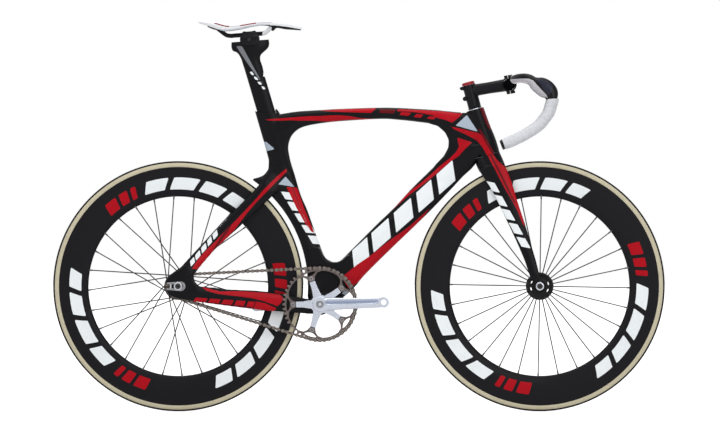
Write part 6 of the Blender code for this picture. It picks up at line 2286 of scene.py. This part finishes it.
def rear_hub_profile() -> tuple[Point, ...]:
    """The rear hub, whose right end carries the sprocket: heights run to the left."""
    left = [(0.0105, 0.0565), (0.0130, 0.0545), (0.0132, 0.0405), *flange(0.036, 0.0150), (0.0135, 0.014)]
    right = [
        (0.0145, -0.012), *flipped(flange(0.032, 0.0170)), (0.0168, -0.0496), (0.0130, -0.0500),
        (0.0130, -0.0545), (0.0105, -0.0565),
    ]
    return (*left, *right, (0.0053, -0.0565), (0.0053, 0.0565))


# The drive


@dataclass
class Drive(Maker):
    """Chain, chainring, cranks, sprocket and lockring."""

    ring_teeth: int = 48
    sprocket_teeth: int = 15
    links: int = 92
    pitch: float = 0.0127
    chain_line: float = 0.042
    tooth_half: float = 0.0016
    crank_length: float = 0.170
    crank_lift: float = radians(1.8)
    first_arm: float = radians(36.7)
    arms: int = 5
    arm_squareness: float = 0.72
    arm_voxel: float = 0.0010
    arm_rounds: int = 5
    bolt_circle: float = 0.072
    boss_face: float = 0.0604
    # How softly the painted shade in each arm's groove blends at its edges.
    recess_softness: float = 10.0
    crank_rows: tuple[Row, ...] = (
        (-0.002, 0.0180, -0.0185, 0.0470, 0.0600), (0.030, 0.0166, -0.0168, 0.0478, 0.0612),
        (0.080, 0.0150, -0.0154, 0.0508, 0.0642), (0.130, 0.0142, -0.0146, 0.0552, 0.0686),
        (0.170, 0.0138, -0.0140, 0.0584, 0.0706),
    )

    def pitch_radius(self, teeth: int) -> float:
        """The radius where the pins run on a toothed wheel."""
        return self.pitch / (2 * sin(pi / teeth))

    def toothed(self, centre: Vector, teeth: int, first: float) -> Ring:
        """A toothed wheel's edge, seven points a tooth."""
        middle = self.pitch_radius(teeth)
        shape = (
            (-0.5, -0.0039), (-0.36, -0.0030), (-0.24, 0.0002), (-0.10, 0.0033), (0.10, 0.0033),
            (0.24, 0.0002), (0.36, -0.0030),
        )
        outline = []
        for tooth in range(teeth):
            for offset, height in shape:
                outline.append(around(centre, middle + height, first + (tooth + offset) * tau / teeth))
        return outline

    def chain_path(self) -> tuple[Callable[[float], Vector], float]:
        """The pins' line: round the chainring, back along the top and round the sprocket.

        Returns:
            A function from a distance along the line to its place, and the line's length.
        """
        small, large = self.pitch_radius(self.sprocket_teeth), self.pitch_radius(self.ring_teeth)
        forward = CRANK_AXLE - REAR_AXLE
        tilt = atan2(forward.z, forward.x)
        lean = asin((large - small) / forward.length)
        low, high = tilt - pi / 2 - lean, tilt + pi / 2 + lean
        front, back = (high - low) * large, (tau - (high - low)) * small
        straight = forward.length * cos(lean)
        y = Y_AXIS * -self.chain_line

        def at(distance: float) -> Vector:
            """The place at a distance along the line."""
            if distance < front:
                return around(CRANK_AXLE, large, low + distance / large) + y
            distance -= front
            start, end = around(CRANK_AXLE, large, high), around(REAR_AXLE, small, high)
            if distance < straight:
                return start.lerp(end, distance / straight) + y
            distance -= straight
            if distance < back:
                return around(REAR_AXLE, small, high + distance / small) + y
            distance -= back
            start, end = around(REAR_AXLE, small, low), around(CRANK_AXLE, large, low)
            return start.lerp(end, distance / straight) + y

        return at, front + back + 2 * straight

    def link(self, name: str, plate_in: float, plate_out: float, pin: float, pin_half: float) -> Object:
        """One link, from a pin at the origin to one a pitch ahead.

        Args:
            name: The link's name.
            plate_in: The plates' inner faces across Y.
            plate_out: The plates' outer faces.
            pin: The radius of its pins or rollers.
            pin_half: Half their length.

        Returns:
            The link.
        """
        half, waist = 0.0047, 0.0026
        outline = []
        for end, start in ((self.pitch, -pi / 2), (0.0, pi / 2)):
            for index in range(5):
                turn = start + pi * index / 4
                outline.append(Vector((end + half * cos(turn), 0.0, half * sin(turn))))
            sign = 1 if end else -1
            outline.append(Vector((self.pitch / 2, 0.0, sign * waist)))
        parts = []
        for side in Side:
            parts.append(plate("link_plate", outline, *side.span(plate_in, plate_out)))
        for end in (0.0, self.pitch):
            parts.append(drum("pin", pin, -pin_half, pin_half, X_AXIS * end, steps=8))
        return gather(name, parts)

    def chain(self) -> None:
        """The chain, link by link."""
        at, length = self.chain_path()
        step = length / self.links
        start = self.pitch * 0.25
        pins = [at((start + step * index) % length) for index in range(self.links + 1)]
        kinds = (
            self.link("outer_link", 0.0030, 0.0038, 0.0018, 0.0043),
            self.link("inner_link", 0.0021, 0.0029, 0.0038, 0.0021),
        )
        made = ([], [])
        for index, (here, there) in enumerate(zip(pins, pins[1:])):
            way = there - here
            angle = atan2(way.z, way.x)
            stretch = Matrix.Scale(way.length / self.pitch, 4, X_AXIS)
            move = Matrix.Translation(here) @ Matrix.Rotation(-angle, 4, Y_AXIS) @ stretch
            made[index % 2].append(copied(kinds[index % 2], "link", move))
        discard(*kinds)
        self.present(gather("outer_links", made[0]), "frame", "dark_steel", "chain_steel", "chain")
        self.present(gather("inner_links", made[1]), "frame", "dark_steel", "inner_link_steel")

    def chainring(self) -> None:
        """The toothed ring with its tabs and windows."""
        inner = (
            (6.2, 0.0652), (7.2, 0.0690), (9.4, 0.0770), (14, 0.0850), (22, 0.0895), (29, 0.0901),
            (36, 0.0903),
        )
        window = (
            (-10.5, 0.0866), (-5, 0.0808), (0, 0.0795), (5, 0.0808), (10.5, 0.0866), (10.8, 0.0879),
            (9.5, 0.0889), (5, 0.0895), (0, 0.0896), (-5, 0.0895), (-9.5, 0.0889), (-10.8, 0.0879),
        )
        inside, holes = [], []
        face = 0.06
        for arm in range(self.arms):
            middle = self.first_arm + tau * arm / self.arms
            turns = [(-angle, radius) for angle, radius in reversed(inner[:-1])]
            for angle, radius in (*turns, *inner):
                inside.append(around(CRANK_AXLE, radius, middle + radians(angle)))
            outline = [around(CRANK_AXLE, radius, middle + radians(angle)) for angle, radius in window]
            holes.append(plate("window", outline, -face, face))
        holes.append(plate("ring_middle", inside, -face, face))
        low_y, high_y = -self.chain_line - self.tooth_half, -self.chain_line + self.tooth_half
        ring = plate("chainring_plate", self.toothed(CRANK_AXLE, self.ring_teeth, pi / 2), low_y, high_y)
        carve(ring, *holes)
        soften(ring, 0.00035, 1)
        self.present(ring, "crankset", "dark_steel", "ring_steel", "chainring", angle=radians(25))

    def arm(self, side: Side, angle: float) -> Object:
        """A crank arm, with its boss and eye, before it is bored."""
        line = SideLine(CRANK_AXLE, angle=angle)
        made = [
            tube("arm", line, self.crank_rows, self.arm_squareness, side),
            drum("eye", 0.0147, *side.span(0.0580, 0.0712), line.at(self.crank_length)),
            drum("boss", 0.0192, *side.span(0.0406, self.boss_face), CRANK_AXLE),
        ]
        if side is Side.RIGHT:
            made += self.spider()
        body = gather("crank", made)
        melted(body, self.arm_voxel)
        carve(body, self.groove(side, line))
        return smoothed(body, self.arm_rounds)

    def groove(self, side: Side, line: SideLine) -> Object:
        """The long shallow hollow in an arm's outer face."""
        rows = (
            (0.016, 0.0598, 0.0010), (0.024, 0.0606, 0.0062), (0.080, 0.0642, 0.0066),
            (0.130, 0.0686, 0.0062), (0.148, 0.0696, 0.0054), (0.156, 0.0702, 0.0010),
        )
        lift, depth, outside = 0.0036, 0.0020, 0.0002
        rings = []
        for along, face, half in flowing_rows(rows, 3):
            low, high = line.at(along, lift - half), line.at(along, lift + half)
            rings.append(section(low, high, depth, side.value * (face + outside), 1.0, 16))
        return loft("groove", rings)

    def spider(self) -> list[Object]:
        """The five arms that carry the chainring, and the thinner tabs behind its own tabs."""
        arm_corners = (
            (0.030, -0.0105), (0.045, -0.0082), (0.0640, -0.0078), (0.0640, 0.0078), (0.045, 0.0082),
            (0.030, 0.0105),
        )
        tab_corners = ((0.050, -0.0070), (0.079, -0.0060), (0.079, 0.0060), (0.050, 0.0070))
        middles = [self.first_arm + tau * arm / self.arms for arm in range(self.arms)]
        lines = [SideLine(CRANK_AXLE, angle=middle) for middle in middles]
        star, hollow_radius = [], 0.0255
        for line, middle in zip(lines, middles):
            star += line.outline(arm_corners)
            for share in (0.38, 0.5, 0.62):
                star.append(around(CRANK_AXLE, hollow_radius, middle + share * tau / self.arms))
        made = [plate("star", star, -0.0470, -0.0388)]
        for line in lines:
            made.append(plate("tab", line.outline(tab_corners), -0.0401, -0.0368))
        return made

    def cranks(self) -> None:
        """Both arms, bored, and the shaft between them."""
        # The painted shade over each arm's groove, outlined along the arm.
        recess = (
            (0.014, -0.0004), (0.080, -0.0010), (0.154, -0.0006), (0.154, 0.0072), (0.080, 0.0082),
            (0.014, 0.0082),
        )
        for side, angle in ((Side.RIGHT, self.crank_lift), (Side.LEFT, self.crank_lift + pi)):
            body = self.arm(side, angle)
            line = SideLine(CRANK_AXLE, angle=angle)
            carve(
                body,
                drum("eye_hole", 0.0070, -0.09, 0.09, line.at(self.crank_length)),
                drum("shaft_bore", 0.0123, *side.span(0.034, 0.0573), CRANK_AXLE),
                drum("cup_room", 0.0236, *side.span(0.030, 0.0402), CRANK_AXLE),
            )
            turn_out(body)
            body.name = body.data.name = f"crank_{side.word}"
            # Paints the shade into the groove, with soft edges.
            corners = tuple((place.x, place.z) for place in line.outline(recess))
            mark(body, "recess", (Patch(corners),), softness=self.recess_softness)
            name = f"crank_arm_{side.word}"
            self.present(body, "crankset", "silver", "crank_alloy", name, angle=radians(40))
            self.crank_cap(side)
        shaft = drum("crank_shaft", 0.0120, -0.0570, 0.0570, CRANK_AXLE)
        self.present(soften(shaft, 0.0005), "crankset", "silver", "bolt_steel", "crank_spindle")

    def crank_cap(self, side: Side) -> None:
        """The dust cap and bolt in an arm's boss."""
        profile = (
            (0.0, -0.002), (0.0108, -0.002), (0.0108, 0.0006), (0.0098, 0.0014), (0.0070, 0.0016),
            (0.0062, 0.0002), (0.0042, 0.0002), (0.0040, -0.0012), (0.0, -0.0012),
        )
        placed = [(radius, side.value * (self.boss_face + out)) for radius, out in profile]
        made = turned(f"crank_cap_{side.word}", placed, CRANK_AXLE, closed=False)
        self.present(made, "crankset", "silver", "bolt_steel")

    def ring_bolts(self) -> None:
        """The five bolts that hold the chainring."""
        profile = [
            (0.0, -0.0360), (0.0058, -0.0360), (0.0060, -0.0366), (0.0060, -0.0372), (0.0050, -0.0372),
            (0.0050, -0.0432), (0.0054, -0.0436), (0.0054, -0.0446), (0.0047, -0.0452), (0.0031, -0.0452),
            (0.0029, -0.0432), (0.0, -0.0432),
        ]
        place = around(CRANK_AXLE, self.bolt_circle, self.first_arm)
        bolt = turned("ring_bolt", profile, place, steps=24, closed=False)
        made = [bolt]
        for index in range(1, self.arms):
            made.append(copied(bolt, "ring_bolt", about(CRANK_AXLE, Y_AXIS, -tau * index / self.arms)))
        self.present(gather("chainring_bolts", made), "crankset", "silver", "bolt_steel")

    def sprocket(self) -> None:
        """The sprocket and the lockring outside it."""
        outer, inner = -self.chain_line - self.tooth_half, -self.chain_line + self.tooth_half
        cog = plate("sprocket_plate", self.toothed(REAR_AXLE, self.sprocket_teeth, pi / 2), outer, inner)
        hub = 0.0173
        carve(cog, drum("cog_hole", hub, -0.06, -0.03, REAR_AXLE))
        self.present(soften(cog, 0.0003, 1), "rear_wheel", "dark_steel", "chain_steel", "sprocket")
        foot, shoulder, end = outer - GAP, outer - 0.0030, outer - 0.0045
        profile = [(0.0200, end), (0.0220, shoulder), (0.0220, foot), (hub, foot), (hub, end)]
        lock = turned("lockring_body", profile, REAR_AXLE)
        notched(lock, REAR_AXLE + Y_AXIS * (outer - 0.003), 0.0226, 6, (0.0018, 0.004), 16)
        self.present(soften(lock, 0.0003), "rear_wheel", "silver", "polished_alloy", "lockring")

    def build(self) -> None:
        """Makes the whole drive."""
        self.chain()
        self.chainring()
        self.cranks()
        self.ring_bolts()
        self.sprocket()


# The seat


@dataclass
class SeatPost(Maker):
    """The aero post with its flared head.

    Rows give the place on the seat line and the distance from it of the rear and the
    front edge, and the half width.
    """

    rows: tuple[Row, ...] = (
        (0.426, 0.0238, 0.426, -0.0232, 0.0100), (0.560, 0.0238, 0.560, -0.0232, 0.0100),
        (0.622, 0.0238, 0.6265, -0.0231, 0.0100), (0.624, 0.0238, 0.6290, -0.0190, 0.0100),
        (0.636, 0.0238, 0.6400, -0.0234, 0.0101), (0.652, 0.0238, 0.6560, -0.0246, 0.0103),
        (0.672, 0.0242, 0.6730, -0.0240, 0.0110), (0.694, 0.0252, 0.6850, -0.0290, 0.0120),
        (0.709, 0.0305, 0.6920, -0.0420, 0.0130), (0.717, 0.0395, 0.6985, -0.0535, 0.0138),
        (0.727, 0.0408, 0.7080, -0.0592, 0.0140), (0.740, 0.0370, 0.7190, -0.0610, 0.0140),
    )
    plain_rows: int = 4
    ring_step: float = 0.004
    squareness: float = 0.9
    facets: int = 36

    def plain_rings(self, alongs: Sequence[float], grow: float) -> list[Ring]:
        """The post's constant section at places on the seat line, grown by a gap."""
        rings = []
        for along in alongs:
            low, high = SEAT_LINE.at(along, -0.0232 - grow), SEAT_LINE.at(along, 0.0238 + grow)
            rings.append(section(low, high, 0.010 + grow, 0.0, self.squareness, self.facets))
        return rings

    def build(self) -> None:
        """Makes, paints and hangs the post."""
        rings = []
        for rear_along, rear, front_along, front, half in self.rows:
            low, high = SEAT_LINE.at(front_along, front), SEAT_LINE.at(rear_along, rear)
            rings.append(section(low, high, half, 0.0, self.squareness, self.facets))
        refined = rings[: self.plain_rows]
        columns = [flowing(column, ROW_STEPS) for column in zip(*rings[self.plain_rows :])]
        refined += [list(ring) for ring in zip(*columns)]
        spread = []
        for here, there in zip(refined, refined[1:]):
            steps = max(1, round((there[0] - here[0]).length / self.ring_step))
            for step in range(steps):
                spread.append([a.lerp(b, step / steps) for a, b in zip(here, there)])
        post = loft("post", [*spread, refined[-1]])
        carve(post, drum("cradle_room", 0.0163, -0.02, 0.02, TILT_CENTRE))
        soften(post, 0.0008, 2, radians(50))
        sliver = ((-0.328, 0.975), (-0.312, 0.975), (-0.292, 0.938), (-0.252, 0.866), (-0.304, 0.938))
        mark(post, "silver", (Patch(sliver),))
        shares = ((0.05, 0.22), (0.30, 0.47), (0.55, 0.72), (0.80, 0.95))
        mark(post, "white", slanted_blocks((-0.291, 0.909), (-0.250, 0.857), (0.003, 0.003), shares, 0.004))
        self.present(post, "seat_post", "black_paint", "post_lacquer", "seat_post")


@dataclass
class Saddle(Maker):
    """Cushion, piping, shell, rails and the clamp that holds them.

    Rows give the place ahead of the tilt axis, the top and lower edge above it, and
    the half width.
    """

    rail_radius: float = 0.004
    rail_tall: float = 1.4
    rail_half: float = 0.022
    clamp_half: float = 0.0288
    shell_squareness: float = 0.55
    piping_radius: float = 0.0019
    piping_share: float = 0.965
    piping_drop: float = 0.0034
    piping_ends: Point = (-0.096, 0.064)
    padding_rows: tuple[Row, ...] = (
        (-0.1358, 0.0384, 0.0352, 0.034), (-0.1330, 0.0398, 0.0338, 0.048), (-0.1200, 0.0408, 0.0304, 0.060),
        (-0.0950, 0.0385, 0.0216, 0.0655), (-0.0720, 0.0320, 0.0142, 0.0655),
        (-0.0550, 0.0292, 0.0136, 0.062),
        (-0.0256, 0.0315, 0.0178, 0.050), (0.0010, 0.0360, 0.0240, 0.0375), (0.0320, 0.0400, 0.0290, 0.0268),
        (0.0620, 0.0401, 0.0290, 0.0218), (0.0950, 0.0376, 0.0256, 0.0198), (0.1210, 0.0318, 0.0214, 0.0175),
        (0.1350, 0.0270, 0.0190, 0.0140), (0.1400, 0.0236, 0.0184, 0.0090),
    )
    shell_rows: tuple[Row, ...] = (
        (-0.1120, 0.0320, 0.0250, 0.044), (-0.0950, 0.0280, 0.0178, 0.050), (-0.0780, 0.0250, 0.0160, 0.051),
        (-0.0550, 0.0220, 0.0165, 0.050), (-0.0250, 0.0255, 0.0212, 0.039), (0.0010, 0.0305, 0.0260, 0.028),
        (0.0280, 0.0335, 0.0288, 0.0205), (0.0540, 0.0345, 0.0262, 0.0165), (0.0590, 0.0342, 0.0150, 0.0160),
        (0.0650, 0.0340, 0.0155, 0.0155), (0.0710, 0.0334, 0.0215, 0.0150), (0.0800, 0.0325, 0.0215, 0.0148),
        (0.0960, 0.0305, 0.0186, 0.0140), (0.1210, 0.0260, 0.0170, 0.0120), (0.1370, 0.0220, 0.0158, 0.0085),
    )
    cushion_side: tuple[Point, ...] = (
        (0.00, -0.0022), (0.10, -0.0018), (0.20, -0.0004), (0.38, 0.0006), (0.60, 0.0004), (0.80, -0.0008),
        (0.93, -0.0024),
    )

    def cushion_ring(self, ahead: float, top: float, low: float, half: float) -> Ring:
        """The cushion's section: a crowned top with a channel, and sides drawn in under a bead.

        Args:
            ahead: The place ahead of the tilt axis.
            top: The top's height above it.
            low: The lower edge's height.
            half: Half the width.

        Returns:
            The ring of points.
        """
        tall = top - low
        right = [(across, top + up * min(1.0, tall / 0.009)) for across, up in self.cushion_side]
        for across, share in ((1.0, 0.66), (1.012, 0.48), (0.99, 0.28), (0.985, 0.10)):
            right.append((across, low + share * tall))
        right += [(0.955, low), (0.80, low + 0.0004)]
        left = [(-across, height) for across, height in reversed(right[1:])]
        ring = []
        for across, height in (*right, (0.0, low + 0.0004), *left):
            ring.append(TILT_CENTRE + Vector((ahead, half * across, height)))
        return ring

    def cushion(self) -> None:
        """The padded cover, its underside hollowed for the shell."""
        rings = [self.cushion_ring(*row) for row in flowing_rows(self.padding_rows, 3)]
        made = loft("saddle_cushion", rings)
        apply_modifier(made, "SUBSURF", levels=2, render_levels=2)
        carve(made, self.shell_body("shell_room", GAP))
        turn_out(made)
        # Painted shade: a light grey band along the lower side of the cushion.
        lower = Patch((
            (-0.411, 1.0300), (-0.398, 1.0255), (-0.376, 1.0200), (-0.355, 1.0185), (-0.339, 1.0195),
            (-0.318, 1.0235), (-0.291, 1.0300), (-0.264, 1.0335), (-0.237, 1.0335), (-0.237, 1.0280),
            (-0.264, 1.028), (-0.291, 1.0240), (-0.318, 1.0180), (-0.339, 1.0130), (-0.355, 1.0110),
            (-0.376, 1.0130), (-0.398, 1.0220), (-0.411, 1.0280),
        ))
        mark(made, "grey", (lower,))
        self.present(made, "saddle", "white_cover", "white_cover", "saddle_padding", angle=radians(50))

    def piping(self) -> None:
        """The thin bead along each side's upper edge."""
        rear, front = self.piping_ends
        tip_radius = 0.0004
        rows = [row for row in flowing_rows(self.padding_rows, 3) if rear < row[0] < front]
        for side in Side:
            path = []
            for ahead, top, _, half in rows:
                out = side.value * half * self.piping_share
                path.append(TILT_CENTRE + Vector((ahead, out, top - self.piping_drop)))
            radii = [tip_radius, *[self.piping_radius] * (len(path) - 2), tip_radius]
            made = swept(f"saddle_piping_{side.word}", path, radii, Z_AXIS, 8)
            mark(made, "grey", (
                Patch(((-0.346, 1.0), (-0.317, 1.0), (-0.317, 1.06), (-0.346, 1.06))),
                Patch(((-0.275, 1.0), (-0.20, 1.0), (-0.20, 1.06), (-0.275, 1.06))),
            ))
            self.present(made, "saddle", "white_cover", "red_piping")

    def shell_body(self, name: str, grow: float) -> Object:
        """The stiff shell, or the room for it when it is grown by a gap."""
        rings = []
        for ahead, top, low, half in flowing_rows(self.shell_rows, 3):
            place = TILT_CENTRE + X_AXIS * ahead
            low_end, high_end = place + Z_AXIS * (low - grow), place + Z_AXIS * (top + grow)
            rings.append(section(low_end, high_end, half + grow, squareness=self.shell_squareness))
        if grow:
            rings[0] = [point - X_AXIS * grow for point in rings[0]]
            rings[-1] = [point + X_AXIS * grow for point in rings[-1]]
        return loft(name, rings)

    def rail(self, side: Side, radius: float) -> Object:
        """One rail: straight through the clamp, its ends turned up into the shell."""
        behind = ((-0.0860, 0.031, 0.0215), (-0.0740, 0.029, 0.0120), (-0.0620, 0.024, 0.0035))
        ahead = ((0.0445, 0.0180, 0.0115), (0.0545, 0.0130, 0.0205), (0.0650, 0.0090, 0.0265))
        path = [Vector((x, side.value * y, z)) for x, y, z in behind]
        for along in (-0.050, -0.038, 0.0, 0.028, 0.034):
            path.append(RAIL_LINE.at(along, 0.0, side.value * self.rail_half) - TILT_CENTRE)
        path += [Vector((x, side.value * y, z)) for x, y, z in ahead]
        path = flowing([point + TILT_CENTRE for point in path], 5)
        return swept(f"saddle_bar_{side.word}", path, [radius] * len(path), Y_AXIS, 16, self.rail_tall)

    def shell_and_rails(self) -> None:
        """The shell with its sockets, and the rails in them."""
        shell = self.shell_body("saddle_base", 0.0)
        bare = Patch(((-0.2600, 0.99), (-0.20, 0.99), (-0.20, 1.05), (-0.2520, 1.05)))
        for side in Side:
            carve(shell, self.rail(side, self.rail_radius + 2 * GAP))
            rail = self.rail(side, self.rail_radius)
            mark(rail, "silver", (bare,))
            self.present(rail, "saddle", "black_alloy", "rail_lacquer", f"saddle_rail_{side.word}")
        soften(shell, 0.0005, 2, radians(40))
        self.present(shell, "saddle", "black_plastic", "black_nylon", "saddle_shell")

    def clamp(self) -> None:
        """The cradle under the rails, its cap over them, and the bolts."""
        radius, count = 0.016, 24
        cradle = []
        for index in range(count + 1):
            turn = -pi + pi * index / count
            cradle.append(RAIL_LINE.at(radius * cos(turn), radius * sin(turn) - RAIL_LIFT))
        low_outline = (
            (-0.0215, -0.0055), (-0.0185, -0.0086), (0.0185, -0.0086), (0.0215, -0.0055), (0.0215, -GAP),
            (-0.0215, -GAP),
        )
        high_outline = (
            (-0.0190, GAP), (0.0190, GAP), (0.0190, 0.0062), (0.0150, 0.0094), (0.0060, 0.0080),
            (-0.0060, 0.0080), (-0.0150, 0.0094), (-0.0190, 0.0062),
        )
        half = self.clamp_half
        base = plate("clamp_base", RAIL_LINE.outline(low_outline), -half, half)
        carve(base, plate("cradle", cradle, -0.0120, 0.0120), operation="UNION")
        ear = (
            (-0.0200, -0.0040), (-0.0220, -0.0052), (-0.0250, -0.0058), (-0.0262, -0.0090),
            (-0.0262, -0.0190), (-0.0225, -0.0255), (-0.0120, -0.0290), (0.0120, -0.0290), (0.0225, -0.0255),
            (0.0262, -0.0190), (0.0262, -0.0090), (0.0250, -0.0058), (0.0220, -0.0052), (0.0200, -0.0040),
        )
        for side in Side:
            cheek = plate("cheek", RAIL_LINE.outline(ear), *side.span(0.0150, 0.0208))
            carve(base, soften(cheek, 0.0012, 2), operation="UNION")
        cap = plate("clamp_cap", RAIL_LINE.outline(high_outline), -half, half)
        wide = RAIL_LINE.across
        for obj in (base, cap):
            for side in Side:
                ends = [RAIL_LINE.at(along, 0.0, side.value * self.rail_half) for along in (-0.05, 0.05)]
                radii = [self.rail_radius + GAP] * 2
                carve(obj, swept("groove", ends, radii, Y_AXIS, 32, self.rail_tall))
            carve(obj, drum("bolt_hole", 0.003, -0.0095, 0.02, RAIL_LINE.start, wide, 24))
            soften(obj, 0.0006)
        self.present(base, "saddle_clamp", "black_alloy", "black_alloy", "saddle_clamp_base")
        self.present(cap, "saddle_clamp", "black_alloy", "black_alloy", "saddle_clamp_cap")
        profile = [
            (0.0, -0.0090), (0.0027, -0.0090), (0.0027, 0.0044), (0.0048, 0.0044), (0.0048, 0.0073),
            (0.0042, 0.0080), (0.0026, 0.0080), (0.0024, 0.0058), (0.0, 0.0058),
        ]
        bolt = turned("clamp_bolt", profile, RAIL_LINE.start, wide, 24, closed=False)
        self.present(bolt, "saddle_clamp", "silver", "dark_steel", "saddle_clamp_bolt")
        screws = []
        head = [
            (0.0, -0.003), (0.0040, -0.003), (0.0042, 0.0), (0.0038, 0.0016), (0.0022, 0.0018),
            (0.0019, 0.0004), (0.0, 0.0004),
        ]
        for side in Side:
            place = RAIL_LINE.at(-0.002, -0.0125, side.value * 0.0206)
            screws.append(turned("side_screw", head, place, Y_AXIS * side.value, 20, closed=False))
        self.present(gather("clamp_screws", screws), "saddle_clamp", "silver", "dark_steel")

    def build(self) -> None:
        """Makes the saddle and its clamp."""
        self.clamp()
        self.shell_and_rails()
        self.cushion()
        self.piping()


# The studio


@dataclass
class Studio:
    """A pale floor, soft lamps, a white surround and the camera at the bicycle's right side."""

    lens: float = 800.0
    sensor: float = 36.0
    view_width: float = 1.9224
    view_middle: Point = (0.0028, 0.5174)
    floor_size: float = 160.0
    floor_tones: Point = (0.84, 0.86)
    floor_scale: float = 3.0
    floor_roughness: float = 0.9
    fill: float = 0.45
    glow_near: float = 0.40
    glow_far: float = 0.95
    glow_start: float = 1.6
    glow_full: float = 6.0

    def camera(self) -> None:
        """The long lens that sees the whole bicycle from its right side."""
        data = bpy.data.cameras.new("camera")
        data.lens, data.sensor_width = self.lens, self.sensor
        data.clip_start, data.clip_end = 0.1, 300.0
        camera = bpy.data.objects.new("camera", data)
        distance = self.view_width * self.lens / self.sensor
        camera.location = (self.view_middle[0], -distance, self.view_middle[1])
        camera.rotation_euler = (pi / 2, 0.0, 0.0)
        bpy.context.scene.collection.objects.link(camera)
        bpy.context.scene.camera = camera

    def seen_directly(self, tree: bpy.types.NodeTree) -> bpy.types.NodeSocket:
        """A mask that is 1 for what the camera sees, also in metal and through glass."""
        path = tree.nodes.new("ShaderNodeLightPath").outputs
        seen = path["Is Camera Ray"]
        for ray in ("Is Glossy Ray", "Is Transmission Ray"):
            seen = add_node(tree, "ShaderNodeMath", {0: seen, 1: path[ray]}, operation="MAXIMUM").outputs[0]
        return seen

    def surround(self) -> None:
        """The world: white to the eye, and a gentle fill on the object."""
        world = bpy.data.worlds.new("surround")
        bpy.context.scene.world = world
        world.use_nodes = True
        tree = world.node_tree
        seen = self.seen_directly(tree)
        level = add_node(tree, "ShaderNodeMapRange", {"Value": seen, "To Min": self.fill, "To Max": 1.0})
        background = tree.nodes["Background"]
        background.inputs["Color"].default_value = (1.0, 1.0, 1.0, 1.0)
        tree.links.new(level.outputs["Result"], background.inputs["Strength"])

    def floor(self) -> None:
        """A wide white floor that keeps the soft shadows."""
        bpy.ops.object.select_all(action="DESELECT")
        bpy.ops.mesh.primitive_plane_add(size=self.floor_size, location=(0.0, 0.0, -0.0002))
        floor = bpy.context.active_object
        floor.name = "floor"
        bpy.ops.object.transform_apply(location=True, rotation=True, scale=True)
        material = bpy.data.materials.new("floor_white")
        material.use_nodes = True
        tree = material.node_tree
        shader = tree.nodes["Principled BSDF"]
        place = add_node(tree, "ShaderNodeTexCoord", {}).outputs["Object"]
        noise = add_node(tree, "ShaderNodeTexNoise", {"Vector": place, "Scale": self.floor_scale})
        low, high = self.floor_tones
        limits = {"Value": noise.outputs["Fac"], "To Min": low, "To Max": high}
        tint = add_node(tree, "ShaderNodeMapRange", limits)
        tree.links.new(tint.outputs["Result"], shader.inputs["Base Color"])
        shader.inputs["Roughness"].default_value = self.floor_roughness
        shader.inputs["Specular IOR Level"].default_value = 0.0
        seen = self.seen_directly(tree)
        reach = add_node(tree, "ShaderNodeVectorMath", {0: place}, operation="LENGTH").outputs["Value"]
        limits = {
            "Value": reach,
            "From Min": self.glow_start,
            "From Max": self.glow_full,
            "To Min": self.glow_near,
            "To Max": self.glow_far,
        }
        level = add_node(tree, "ShaderNodeMapRange", limits)
        glow = add_node(tree, "ShaderNodeMath", {0: seen, 1: level.outputs["Result"]}, operation="MULTIPLY")
        shader.inputs["Emission Color"].default_value = (1.0, 1.0, 1.0, 1.0)
        tree.links.new(glow.outputs[0], shader.inputs["Emission Strength"])
        floor.data.materials.append(material)

    def lamp(self, name: str, place: Point, size: float, power: float) -> None:
        """A square soft lamp aimed at the bicycle's middle.

        Args:
            name: The lamp's name.
            place: Where it hangs.
            size: Its side.
            power: Its power in watts.
        """
        data = bpy.data.lights.new(name, "AREA")
        data.size, data.energy = size, power
        lamp = bpy.data.objects.new(name, data)
        lamp.location = place
        aim = Vector((0.0, 0.0, 0.5)) - Vector(place)
        lamp.rotation_euler = aim.to_track_quat("-Z", "Y").to_euler()
        lamp.visible_camera = False
        bpy.context.scene.collection.objects.link(lamp)

    def build(self) -> None:
        """Sets up the view, the floor and the light."""
        settings = bpy.context.scene.view_settings
        settings.view_transform = "Standard"
        self.camera()
        self.surround()
        self.floor()
        self.lamp("lamp_above", (0.0, -0.6, 3.6), 3.2, 64.0)
        self.lamp("lamp_front", (1.6, -3.6, 1.9), 2.4, 39.0)
        self.lamp("lamp_rear", (-2.2, -3.2, 2.2), 2.0, 22.0)
        self.lamp("lamp_behind", (0.3, 3.4, 2.4), 2.6, 36.0)


def main() -> None:
    """Builds the studio, then the bicycle from the frame outwards."""
    logging.basicConfig(level=logging.INFO, format="%(message)s")
    Studio().build()
    finishes = Finishes()
    makers = (
        FrameMoulding(finishes),
        FrameHardware(finishes),
        AxleSet(finishes, "rear_axle", REAR_AXLE, "frame", radius=0.005, inner=0.060, thickness=0.007),
        AxleSet(finishes, "front_axle", FRONT_AXLE, "fork", radius=0.0045, inner=0.050, thickness=0.006),
        Fork(finishes),
        Stem(finishes),
        Handlebar(finishes),
        Wheel(
            finishes,
            "front",
            FRONT_AXLE,
            "front_wheel",
            flanges={Side.LEFT: 0.037, Side.RIGHT: 0.037},
            hub_profile=front_hub_profile(),
            first_spoke=radians(89.0),
            crossing=0.0,
            first_block=radians(135.4),
        ),
        Wheel(
            finishes,
            "rear",
            REAR_AXLE,
            "rear_wheel",
            flanges={Side.LEFT: 0.036, Side.RIGHT: 0.032},
            hub_profile=rear_hub_profile(),
            first_spoke=radians(41.2),
            crossing=2 * tau / Wheel.spokes_a_side,
            first_block=radians(123.5),
        ),
        Drive(finishes),
        SeatPost(finishes),
        Saddle(finishes),
    )
    for maker in makers:
        maker.build()


if __name__ == "__main__":
    main()
